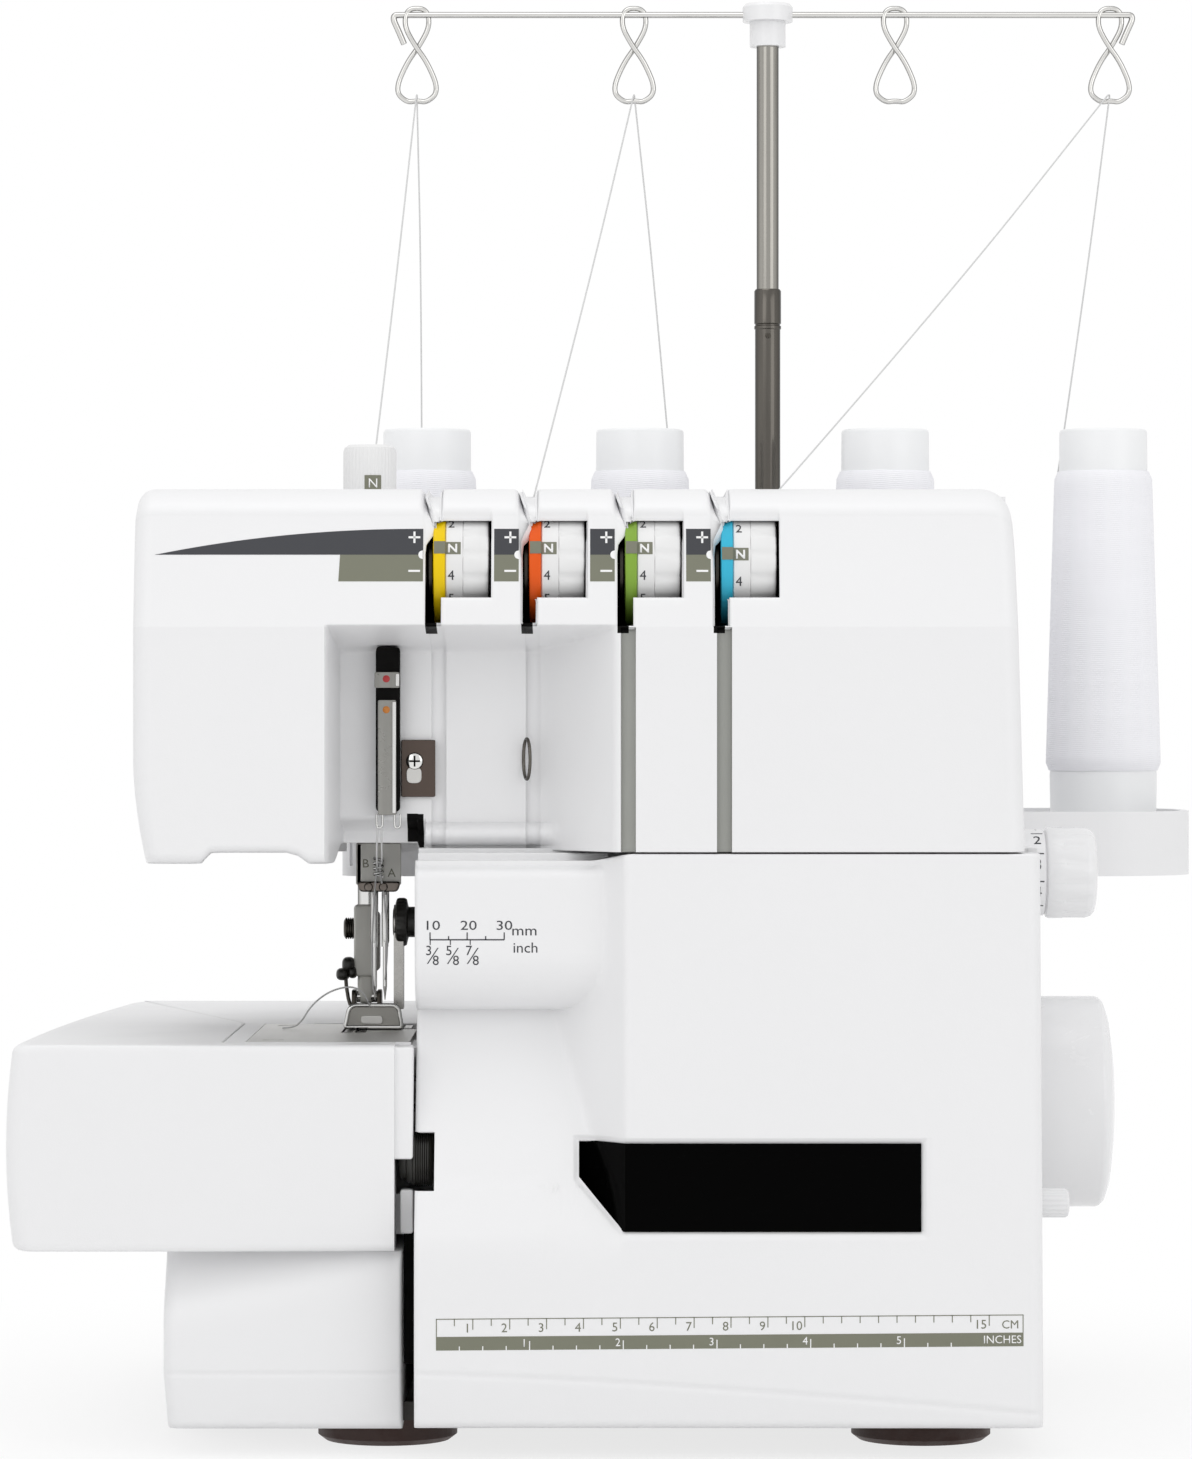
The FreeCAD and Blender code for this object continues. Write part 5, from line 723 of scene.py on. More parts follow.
def build_finishes(tone):
    """Every finish of the machine, from the colours of the panel."""
    moulded_group()
    brushed_group()
    wound_group()
    white, dial = screen(tone.shell), screen(tone.dial)
    finish("shell_white", white, (0.34, 0.46), 0.10, 0.985, Grain_size=0.0005, Mark_size=0.05)
    finish("gloss_white", white, (0.20, 0.30), 0.04, 0.985, Grain_size=0.0004, Mark_size=0.04)
    finish("dial_white", dial, (0.28, 0.38), 0.06, 0.98, Grain_size=0.0004, Mark_size=0.01)
    for ring in ("yellow", "orange", "green", "blue"):
        finish(f"ring_{ring}", screen(getattr(tone, ring)), (0.35, 0.45), 0.05, 0.93, Mark_size=0.01,
               Specular_IOR_Level=0.2)
    finish("print_grey", screen(tone.print_dark), (0.5, 0.6), 0.05, 0.93, Mark_size=0.02,
           Specular_IOR_Level=0.2)
    finish("print_khaki", screen(tone.print_khaki), (0.5, 0.6), 0.05, 0.95, Mark_size=0.02,
           Specular_IOR_Level=0.2)
    finish("print_white", (244, 244, 244), (0.5, 0.6), 0.05, 0.97, Mark_size=0.02)
    # painted shade: grey for the floor of the thread grooves
    finish("groove_painted_shade", (160, 161, 156), (0.4, 0.5), 0.05, 0.9, Mark_size=0.02)
    # painted shade: black put in openings, slots and gaps where only shade is seen
    finish("pocket_black", (10, 9, 8), (0.5, 0.7), 0.1, 0.7, Grain_size=0.0006, Mark_size=0.02,
           Specular_IOR_Level=0.08)
    finish("plastic_black", (38, 37, 33), (0.35, 0.5), 0.2, 0.75, Grain_size=0.0005, Mark_size=0.01)
    finish("pan_dark", (52, 48, 44), (0.5, 0.65), 0.3, 0.8, Grain_size=0.0008, Mark_size=0.03)
    finish("window_smoked", (3, 3, 3), (0.05, 0.10), 0.0, 0.8, Mark_size=0.04, Specular_IOR_Level=0.02)
    finish("rubber_brown", (62, 36, 28), (0.5, 0.7), 0.5, 0.7, Grain_size=0.0008, Mark_size=0.02)
    # The edge colours below are painted reflections of darker surroundings on bright metal.
    finish("strip_steel", (160, 159, 154), (0.2, 0.35), 0.05, 0.6, "Brushed surface", edge=(90, 88, 84),
           Metallic=0.35, Along_Z=0.03)
    finish("plate_brown", (92, 78, 70), (0.15, 0.3), 0.05, 0.6, "Brushed surface", edge=(50, 42, 38),
           Metallic=0.4, Along_Z=0.03)
    # painted reflection: a darker copy of polished steel, standing in for the dark surroundings it mirrors
    finish("tube_dark", (120, 116, 110), (0.10, 0.24), 0.03, 0.5, "Brushed surface", edge=(46, 44, 40),
           Metallic=1.0, Along_Z=0.05)
    finish("chrome", (232, 232, 230), (0.08, 0.16), 0.02, 0.85, edge=(60, 58, 55), Metallic=1.0,
           Mark_size=0.01)
    finish("tube_steel", (190, 187, 180), (0.08, 0.2), 0.03, 0.5, "Brushed surface", edge=(56, 54, 50),
           Metallic=1.0, Along_Z=0.01)
    finish("wire_steel", (226, 225, 222), (0.06, 0.14), 0.01, 0.9, edge=(40, 39, 37), Metallic=1.0,
           Mark_size=0.01)
    finish("steel", (196, 194, 190), (0.2, 0.36), 0.1, 0.75, "Brushed surface", edge=(90, 88, 84),
           Metallic=1.0, Along_Y=0.05)
    finish("steel_dark", (92, 88, 82), (0.3, 0.45), 0.2, 0.6, "Brushed surface", Metallic=1.0, Along_Z=0.05)
    finish("cast_metal", (182, 180, 174), (0.4, 0.55), 0.3, 0.85, Grain_size=0.0010, Mark_size=0.02,
           Metallic=0.1)
    finish("cone_plastic", (243, 244, 245), (0.3, 0.42), 0.05, 0.96, Grain_size=0.0005, Mark_size=0.02)
    finish("thread_white", (246, 246, 250), (0.75, 0.9), 0.25, 0.96, "Wound thread", Sheen_Weight=0.15)
    finish("thread_line", (214, 214, 214), (0.7, 0.85), 0.2, 0.85, Grain_size=0.0006, Mark_size=0.004)
    finish("belt_rubber", (26, 25, 24), (0.6, 0.75), 0.4, 0.8, Grain_size=0.0008, Mark_size=0.01)
    finish("cast_light", (214, 213, 207), (0.4, 0.55), 0.2, 0.9, Grain_size=0.0008, Mark_size=0.01,
           Metallic=0.1)
    finish("plate_steel", (214, 213, 210), (0.3, 0.45), 0.12, 0.9, "Brushed surface", Metallic=0.85,
           Along_Y=0.05)
    # painted reflection: a darkened copy of chrome, standing in for the dark surroundings it mirrors
    finish("chrome_dark", (128, 120, 114), (0.06, 0.18), 0.02, 0.35, "Brushed surface", edge=(30, 28, 26),
           Metallic=1.0, Along_Z=0.02)
    finish("dot_red", (176, 40, 44), (0.3, 0.4), 0.05, 0.85, Mark_size=0.004)
    finish("dot_amber", (196, 120, 40), (0.3, 0.4), 0.05, 0.85, Mark_size=0.004)


SLOT_FINISH = {
    "white_plastic": "shell_white", "white_gloss": "gloss_white", "white_dial": "dial_white",
    "yellow_ring": "ring_yellow", "orange_ring": "ring_orange",
    "green_ring": "ring_green", "blue_ring": "ring_blue",
    "black_rubber": "rubber_brown", "black_plastic": "plastic_black", "dark_pan": "pan_dark",
    "smoked_window": "window_smoked", "chrome": "chrome", "steel": "steel", "cast_metal": "cast_metal",
    "cone_plastic": "cone_plastic", "thread_white": "thread_white", "belt_rubber": "belt_rubber",
}
# painted shade: the bracket takes the shade black and the discs the dark steel, for the shade inside the
# head
NODE_FINISH = {"mast_upper_tube": "tube_steel", "tension_discs": "steel_dark",
               "tension_bracket": "pocket_black", "mast_cap": "gloss_white", "stitch_plate": "plate_steel"}


# ---- surfaces ----

def beside_rings(x, before, after):
    """Distance outside the spans that reach so far before and after the left side of each ring."""
    return np.minimum.reduce([outside(x, left - before, left + after) for left in RING_LEFT])


def across_dials(x, start):
    """Distance outside the spans from start after each ring's left side to just inside its drum."""
    spans = zip(RING_LEFT, DRUM_RIGHT)
    return np.minimum.reduce([outside(x, left + start, right - WINDOW_MARGIN) for left, right in spans])


def head_slots(x, z):
    """Across each dial: distance outside its thread slot's notch, its ring's gap and its window."""
    notch = beside_rings(x, SLOT_BEFORE, SLOT_AFTER)
    gap = np.maximum(notch, outside(z, GAP_LOW, GAP_HIGH))
    window = np.maximum(across_dials(x, -WINDOW_BEFORE), outside(z, WINDOW_LOW, WINDOW_HIGH))
    return np.maximum(notch, GAP_HIGH - z), gap, window


def head_recess(x, z):
    """Depth of the recess: the least of its back wall, left side, slanted right side and ceiling."""
    left = (x - RECESS_LEFT) * 14 + 4
    right = (RECESS_RIGHT_FRONT - x) * RECESS_DEPTH / (RECESS_RIGHT_FRONT - RECESS_RIGHT_BACK)
    ceiling = (HEAD_BREAK + 0.4 - z) * RECESS_DEPTH / 6.0
    roll = np.sqrt(np.maximum(1 - ((z - LIP_MIDDLE) / LIP_RADIUS) ** 2, 0.0)) * (x > LIP_LEFT)
    back = RECESS_DEPTH - 5.5 * roll + 6 * (x < LIP_LEFT) * (x > PLATE_LEFT) * smooth_step(174, 167, z)
    depth = soft_least(soft_least(back, left, 5.0), soft_least(ceiling, right, 4.0), 5.0)
    return soft_most(depth, np.zeros_like(depth), 2.0)


def head_lean(z):
    """How far the face leans back above the break and rounds over to the top."""
    lean = HEAD_LEAN * np.clip((z - HEAD_BREAK) / (HEAD_SHOULDER - HEAD_BREAK), 0, 1)
    rise = np.clip((z - HEAD_SHOULDER) / (HEAD_HIGH[2] - HEAD_SHOULDER), 0, 1)
    return lean + HEAD_ROUND * (1 - np.sqrt(np.maximum(1 - rise * rise, 0.0)))


def head_depth(x, z):
    """Depth of the head's face: lean, rounded rim, recess, dimples, windows, gaps and slots."""
    depth = head_lean(z) + head_recess(x, z)
    edge = np.minimum(x - HEAD_LOW[0], HEAD_HIGH[0] - x)
    depth = depth + round_off(edge, 5.0) + round_off(z - HEAD_LOW[2], 3.0) * (x < RECESS_LEFT)
    slot, gap, window = head_slots(x, z)
    side = across_dials(x, 2.6)
    depth = depth + 0.8 * smooth_step(259.6, 255.8, z) * (z > 250) * smooth_step(0.3, -0.3, side)
    groove = beside_rings(x, GROOVE_BEFORE, GROOVE_AFTER)
    depth = depth + np.where((groove < 0) & (z < GROOVE_TOP), 1.6, 0.0)
    rim = np.minimum(np.minimum(window, gap), slot)
    depth = depth + 0.45 * np.clip(1 - rim / 0.9, 0, 1) ** 2 * (rim > 0)
    floor = 0.1 + head_lean(z) + 1.0 * np.clip((z - 256) / 9, 0, 1) ** 2
    depth = np.maximum(depth, floor - 9 * np.clip(1 + slot / 0.9, 0, 1))
    return np.where((window < 0) | (gap < 0), WINDOW_DEPTH, depth)


def head_shift(x, z, depth):
    """The head's outline: bowed left side, tapering right side, rounded tops of each finger and the
    step in its lower edge where it sits on the body."""
    low, high = HEAD_LOW, HEAD_HIGH
    bow = 3.6 * np.clip((190 - z) / (190 - low[2]), 0, 1) ** 1.7
    new_x = x + bow * smooth_step(low[0] + 26, low[0], x)
    new_x = new_x - 2.7 * np.clip((z - 166) / 95, 0, 1) * smooth_step(high[0] - 40, high[0], x)
    pinch = 2.4 * np.minimum(smooth_step(248.5, GAP_HIGH, z), smooth_step(266, GAP_HIGH, z))
    for left in RING_LEFT:
        into = smooth_step(left - 2.6, left - SLOT_BEFORE, x)
        new_x = new_x + pinch * into * smooth_step(left + SLOT_AFTER, left - GROOVE_BEFORE, x)
    edges = [(left - SLOT_BEFORE - x, x - left - SLOT_AFTER) for left in RING_LEFT]
    before = np.minimum.reduce([np.where(a > 0, a, 99.0) for a, b in edges])
    after = np.minimum.reduce([np.where(b > 0, b, 99.0) for a, b in edges])
    drop = np.maximum(2.6 * round_off(before, 2.2), round_off(after, 0.9))
    drop = np.maximum(drop, 0.8 * round_off(high[0] - x, 9.0))
    drop = np.maximum(drop, 0.9 * round_off(x - low[0], 5.0))
    new_z = z - drop * smooth_step(238, high[2], z) ** 2
    for left in RING_LEFT:
        inside = np.minimum(smooth_step(left - SLOT_BEFORE, left - 1.5, x),
                            smooth_step(left + SLOT_AFTER, left + 1.6, x))
        new_z = new_z - 2.2 * inside * smooth_step(257, high[2], z)
    seam = (BODY_SEAM_X - 0.4, BODY_SEAM_X + 0.2)
    step = (BODY_SEAM_Z - low[2]) * smooth_step(*seam, x)
    step = step + 3.0 * smooth_step(-118, -114, x) * smooth_step(-88, -92, x)
    step = step + 5.0 * smooth_step(PLATE_LEFT, PLATE_LEFT + 1.5, x) * smooth_step(*seam[::-1], x)
    new_z = new_z + step * np.clip((176 - z) / (176 - low[2]), 0, 1)
    return new_x, new_z


def head_surface(x, z, lift):
    """Points a lift above the plain face of the head, for prints."""
    return np.stack([x, FRONT + head_lean(z) - lift, z], -1)


def facet_depth(x):
    """Depth of the slanted side of the looper cover's step."""
    return (FACET_FRONT_X - x) * 25.0 / (FACET_FRONT_X - FACET_BACK_X)


def cover_crease(x):
    """Height of the crease above the skirt, which falls towards the right."""
    t = np.clip((x - COVER_LOW[0]) / (COVER_HIGH[0] - COVER_LOW[0]), 0, 1)
    return 24.7 - 11.0 * t ** 1.4


def cover_plain(x, z):
    """Depth of the looper cover's face: the least of the facet, the scoop and the bulge, and the
    face itself."""
    facet = facet_depth(x)
    scoop = 25.0 * (z - SCOOP_LOW) / (SCOOP_TOP - SCOOP_LOW)
    scoop = np.where(z > SCOOP_TOP, 26.0 + 0 * z, scoop)
    roll = np.clip((SCOOP_TOP + 16 - z) / 16, 0, 1.0)
    bulge = 7.0 + 16 * (1 - np.sqrt(np.maximum(1 - roll * roll, 0.0)))
    bulge = bulge + round_off(COVER_HIGH[2] - 1.6 - z, 4.0)
    bulge = np.where(z < SCOOP_TOP, 40.0, bulge)
    hollow = soft_least(facet, scoop, 2.6)
    stepped = soft_least(hollow, bulge, 1.6)
    face = soft_most(stepped, np.zeros_like(stepped), 1.2)
    run_out = smooth_step(SCOOP_LOW + 24, SCOOP_LOW - 8, z)
    return face * (1 - 0.25 * run_out * (face < 6))


def cover_depth(x, z):
    """Depth of the looper cover: the plain face, its rounded rim, the skirt and the window's rim."""
    depth = cover_plain(x, z)
    below = np.clip(cover_crease(x) - z, 0, None)
    depth = depth + 0.065 * below + 0.35 * np.clip(1 - np.abs(cover_crease(x) - 0.8 - z) / 1.1, 0, 1)
    depth = depth + round_off(COVER_HIGH[0] - x, 4.0) + round_off(z - COVER_LOW[2], 2.2)
    depth = depth + round_off(COVER_HIGH[2] - z, 0.6) * (x > -7) + round_off(x - COVER_LOW[0], 1.2)
    pane = window_distance(x, z)
    return depth + 1.0 * np.clip(1 - pane / 1.4, 0, 1) ** 0.7 * (pane > -0.6)


def window_distance(x, z):
    """Distance outside the window's pane, whose lower left corner is cut off."""
    plain = np.maximum(outside(x, GLASS_LOW[0], GLASS_HIGH[0]), outside(z, GLASS_LOW[2], GLASS_HIGH[2]))
    run, rise = GLASS_CUT_X - GLASS_LOW[0] + 3, GLASS_CUT_RISE + 3
    cut = ((GLASS_LOW[2] - z) * run + (GLASS_CUT_X - x) * rise) / math.hypot(run, rise)
    return np.maximum(plain, cut)


def cover_surface(x, z, lift):
    """Points a lift above the looper cover's face, for prints."""
    return np.stack([x, FRONT + cover_plain(x, z) - lift, z], -1)


def dial_surface(radius, middle_z, middle_y=DIAL_Y):
    """Lays prints round a dial about the X axis: heights become arc lengths."""
    def laid(x, z, lift):
        turn = (z - middle_z) / radius
        reach = radius + lift
        return np.stack([x, middle_y - reach * np.cos(turn), middle_z + reach * np.sin(turn)], -1)
    return laid


def plane_surface(y):
    """Lays prints on a flat face that looks towards the operator."""
    def laid(x, z, lift):
        return np.stack([x, np.full_like(x, y) - lift, z], -1)
    return laid


def drum_surface(radius, middle_x, middle_y):
    """Lays prints round an upright drum: distances from its middle become arc lengths."""
    def laid(x, z, lift):
        turn = (x - middle_x) / radius
        reach = radius + lift
        return np.stack([middle_x + reach * np.sin(turn), middle_y - reach * np.cos(turn), z], -1)
    return laid


# ---- what a user may change ----

def colour_property(name, description, value):
    """A colour of the panel, as plain screen values from 0 to 1."""
    return bpy.props.FloatVectorProperty(name=name, description=description, subtype="COLOR", size=3,
                                         min=0.0, max=1.0, default=tuple(v / 255 for v in value))


def length_property(name, description, value):
    """A length of the panel, given in millimetres and held in metres."""
    return bpy.props.FloatProperty(name=name, description=description, subtype="DISTANCE", unit="LENGTH",
                                   default=value / MM, min=0.0, precision=5)


class OverlockColours(bpy.types.PropertyGroup):
    """Colours of the machine, as they look on screen."""
    shell: colour_property("Shell", "White of the moulded covers", (237, 237, 238))
    dial: colour_property("Dials", "White of the dials and knobs", (232, 232, 232))
    yellow: colour_property("First ring", "Colour ring of the first dial", (240, 204, 8))
    orange: colour_property("Second ring", "Colour ring of the second dial", (232, 92, 26))
    green: colour_property("Third ring", "Colour ring of the third dial", (134, 172, 66))
    blue: colour_property("Fourth ring", "Colour ring of the fourth dial", (60, 184, 216))
    print_dark: colour_property("Dark print", "Plus fields and the wedge", (72, 73, 77))
    print_khaki: colour_property("Khaki print", "Minus fields, rulers and scale", (126, 127, 112))


class OverlockSizes(bpy.types.PropertyGroup):
    """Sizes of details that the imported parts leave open."""
    wall: length_property("Cover wall", "Wall of the moulded covers", 1.0)
    print_height: length_property("Print height", "How far prints stand on a surface", 0.05)
    thread: length_property("Thread", "Diameter of the sewing thread", 0.5)


def lamp_property(name, description, value):
    """The power of a lamp, in watts."""
    return bpy.props.FloatProperty(name=name, description=description, default=value, unit="POWER")


class OverlockLight(bpy.types.PropertyGroup):
    """Power of the studio's lamps."""
    key: lamp_property("Key lamp", "Large lamp at the front left", 3.3)
    fill: lamp_property("Fill lamp", "Large lamp at the front right", 5.0)
    top: lamp_property("Top lamp", "Lamp above the machine", 6.0)
    sky: bpy.props.FloatProperty(name="Sky", description="Even light from all round", default=0.86, min=0.0)


class OverlockOperator:
    """What every operator of this add-on shares."""
    bl_options = {"REGISTER", "UNDO"}

    @classmethod
    def poll(cls, context):
        return bool(frame["nodes"])


# ---- threads ----

THREADS = {
    "thread_cord_1": [(-63.52, 78.10, 276.5), (-63.91, 85.55, 336.9), (-65.46, 92.6, 394.6),
                      (-65.5, 93.0, 397.3), (-65.75, 90.2, 394.9), (-69.9, 21.5, 328.33),
                      (-74.3, -50.0, 265.35)],
    "thread_cord_2": [(13.70, 74.68, 276.5), (8.60, 83.84, 336.9), (2.55, 92.6, 394.6),
                      (2.3, 93.0, 397.3), (1.8, 90.2, 394.9), (-12.45, 0.5, 326.83),
                      (-27.2, -92.0, 262.35)],
    "thread_cord_4": [(132.54, 70.16, 276.5), (142.32, 81.58, 336.9), (150.5, 92.6, 394.6),
                      (150.9, 93.0, 397.3), (148.7, 90.2, 394.9), (95.95, 31.5, 328.33),
                      (41.0, -30.0, 265.35)],
}


class OVERLOCK_OT_threads(OverlockOperator, bpy.types.Operator):
    """Adds the sewing threads from the cones through their eyes into the head"""
    bl_idname = "overlock.threads"
    bl_label = "Sewing threads"

    def execute(self, context):
        diameter = context.scene.overlock_sizes.thread
        for name, points in THREADS.items():
            path = smooth_path(points)
            piece = tube(name + "_line", path, diameter * MM / 2, "thread_line", "frame",
                         THREAD_SIDES)
            piece.parent = None
            piece.matrix_world.identity()
            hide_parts(name)
            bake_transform(piece)
        return {"FINISHED"}


class OVERLOCK_OT_finishes(OverlockOperator, bpy.types.Operator):
    """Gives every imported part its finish"""
    bl_idname = "overlock.finishes"
    bl_label = "Finishes"

    def execute(self, context):
        build_finishes(context.scene.overlock_colours)
        parts = {part["node"]: part["material_slot"] for part in frame["record"]["subparts"]}
        for name, piece in frame["nodes"].items():
            chosen = FINISHES[NODE_FINISH.get(name, SLOT_FINISH[parts[name]])]
            piece.data.materials.clear()
            piece.data.materials.append(chosen)
        return {"FINISHED"}


# ---- covers ----

class OVERLOCK_OT_head(OverlockOperator, bpy.types.Operator):
    """Adds the head's front cover with its recess, dial windows and thread slots"""
    bl_idname = "overlock.head"
    bl_label = "Head cover"

    def execute(self, context):
        crowd_x = [(RECESS_LEFT, 5, 0.6), (RECESS_RIGHT_FRONT, 4, 1.0), (RECESS_RIGHT_BACK, 5, 1.0),
                   (HEAD_LOW[0] + 2.5, 2.5, 0.5), (HEAD_HIGH[0] - 4, 4, 0.6), (BODY_SEAM_X, 1, 0.3),
                   (PAINTED_SHADE_SLOT[0], 0.03, 0.03), (PAINTED_SHADE_SLOT[1], 0.03, 0.03), (LIP_LEFT, 0.03, 0.03),
                   (PLATE_LEFT, 0.5, 0.25)]
        for left, right in zip(RING_LEFT, DRUM_RIGHT):
            for place in (left - SLOT_BEFORE, left + SHADOW_AFTER, left - GROOVE_BEFORE,
                          left - WINDOW_BEFORE, left + SLOT_AFTER, left + GROOVE_AFTER,
                          right - WINDOW_MARGIN):
                crowd_x += [(place, 0.03, 0.03), (place, 0.9, 0.3)]
            crowd_x += [(left - 3.4, 1.2, 0.4), (left + 0.5, 2.0, 0.4)]
        crowd_z = [(HEAD_LOW[2] + 1.5, 1.5, 0.4), (174, 8, 1.2), (223.5, 5, 0.5), (HEAD_BREAK, 0.05, 0.05),
                   (HEAD_HIGH[2] - 1.5, 1.5, 0.15), (HEAD_HIGH[2] - 5, 4.5, 0.7), (257, 3, 0.6),
                   (LIP_MIDDLE, LIP_RADIUS, 0.4), (PAINTED_SHADE_SLOT[3], 0.03, 0.03)]
        edges = (GAP_FOOT, GAP_LOW, WINDOW_LOW, WINDOW_HIGH, GAP_HIGH)
        crowd_z += [(place, 0.03, 0.03) for place in edges]
        crowd_z += [(place, 0.9, 0.45) for place in edges] + [(257, 6, 0.8)]
        xs = lines(HEAD_LOW[0], HEAD_HIGH[0], 3.0, *crowd_x)
        zs = lines(HEAD_LOW[2], HEAD_HIGH[2], 3.0, *crowd_z)

        # painted shade: cells deep inside the windows and gaps, the strip below each gap and the slot by the
        # lip are painted black
        def paint(x, z, y):
            _, gap, window = head_slots(x, z)
            painted_shade_cells = ((gap < 0.02) | (window < 0.02)) & (y > head_lean(z) + 3)
            below = beside_rings(x, SLOT_BEFORE, SHADOW_AFTER)
            painted_shade_cells = painted_shade_cells | ((below < 0) & (z > GAP_FOOT) & (z < GAP_LOW))
            lower = np.maximum(outside(x, *PAINTED_SHADE_SLOT[:2]), outside(z, *PAINTED_SHADE_SLOT[2:])) < 0
            # painted shade: the grooves by the third and fourth dials are cut and their floors painted grey
            groove = (beside_rings(x, GROOVE_BEFORE, GROOVE_AFTER) < 0) & (x >= RING_LEFT[2] - 5)
            return np.where(painted_shade_cells | lower, 1, np.where(groove & (z < GROOVE_TOP), 2, 0))

        def back(x, z):
            return np.full_like(x, HEAD_HIGH[1] - FRONT)

        finishes = ["shell_white", "pocket_black", "groove_painted_shade"]
        piece = moulding("head_front_cover", xs, zs, head_depth, back, head_shift, finishes,
                         "frame", paint=paint, wall=context.scene.overlock_sizes.wall * MM,
                         sides=("left", "right", "high"))
        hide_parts("upper_front_cover")
        return {"FINISHED"}


class OVERLOCK_OT_cover(OverlockOperator, bpy.types.Operator):
    """Adds the looper cover with its bulge, scoop, slanted facet, window opening and skirt"""
    bl_idname = "overlock.cover"
    bl_label = "Looper cover"

    def execute(self, context):
        low, high = GLASS_LOW[2], GLASS_HIGH[2]
        reach = 20.0
        notch_low, notch_high = DIAL_NOTCH_Z - DIAL_NOTCH_HALF, DIAL_NOTCH_Z + DIAL_NOTCH_HALF
        panel("cover_top_lip", COVER_LOW[0] + 0.5, -6.0, 150.0, COVER_HIGH[2] - 0.1, 0.6, FRONT + 19.5,
              FRONT + 21.0, 0.4, "shell_white", "front_cover")
        xs = lines(COVER_LOW[0], COVER_HIGH[0], 3.0, (COVER_LOW[0] + 1, 1.2, 0.3),
                   (COVER_HIGH[0] - 2, 2.2, 0.4), (FACET_FRONT_X, 3, 0.5), (FACET_BACK_X, 4, 0.6),
                   (-7, 5, 0.8), (-14, 8, 1.2), (GLASS_HIGH[0], 1.6, 0.4), (GLASS_LOW[0], 1.6, 0.4),
                   (GLASS_LOW[0], 0.05, 0.05), (GLASS_HIGH[0], 0.05, 0.05), (DIAL_NOTCH_X, 0.6, 0.3))
        zs = lines(COVER_LOW[2], COVER_HIGH[2], 3.0, (COVER_LOW[2] + 1.2, 1.2, 0.4),
                   (COVER_HIGH[2] - 2.5, 2.8, 0.35), (124, 6, 0.6), (134, 6, 1.2), (19, 7, 0.6),
                   (low, 1.6, 0.4), (high, 1.6, 0.4), (low, 0.05, 0.05), (high, 0.05, 0.05),
                   (notch_low, 0.6, 0.3), (notch_high, 0.6, 0.3))

        def warp(x, z):
            """Bends the grid's lines about the window's lower edge so that they follow its cut corner."""
            rise = np.clip((GLASS_CUT_X - x) / (GLASS_CUT_X - GLASS_LOW[0]), 0, 1.4) * GLASS_CUT_RISE
            near = np.where(z > low, (high - z) / (high - low), (z - low + reach) / reach)
            return x, z + rise * np.clip(near, 0, 1) * smooth_step(GLASS_LOW[0] - 12, GLASS_LOW[0] - 2, x)

        def hidden(x, z):
            pane = (x > GLASS_LOW[0] + 0.1) & (x < GLASS_HIGH[0] - 0.1) & (z > low + 0.1) & (z < high - 0.1)
            return pane | ((x < DIAL_NOTCH_X) & (np.abs(z - DIAL_NOTCH_Z) < DIAL_NOTCH_HALF))

        def shift(x, z, depth):
            taper = 0.9 * np.clip((z - 20) / 145, 0, 1) * smooth_step(COVER_HIGH[0] - 30, COVER_HIGH[0], x)
            return x - taper, z - 2.1 * smooth_step(1, -12, x) * smooth_step(150, COVER_HIGH[2], z)

        def back(x, z):
            deep = np.where(z < 40, 17.0, 25.0)
            return np.where(z > COVER_HIGH[2] - 6, np.where(x < -12, 27.0, 19.0), deep)

        piece = moulding("looper_cover", xs, zs, cover_depth, back, shift, "shell_white",
                         "front_cover", hidden=hidden, wall=context.scene.overlock_sizes.wall * MM,
                         warp=warp, sides=("right", "low", "high"), ways=LUG_WAYS)
        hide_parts("front_cover")
        return {"FINISHED"}


# ---- dials ----

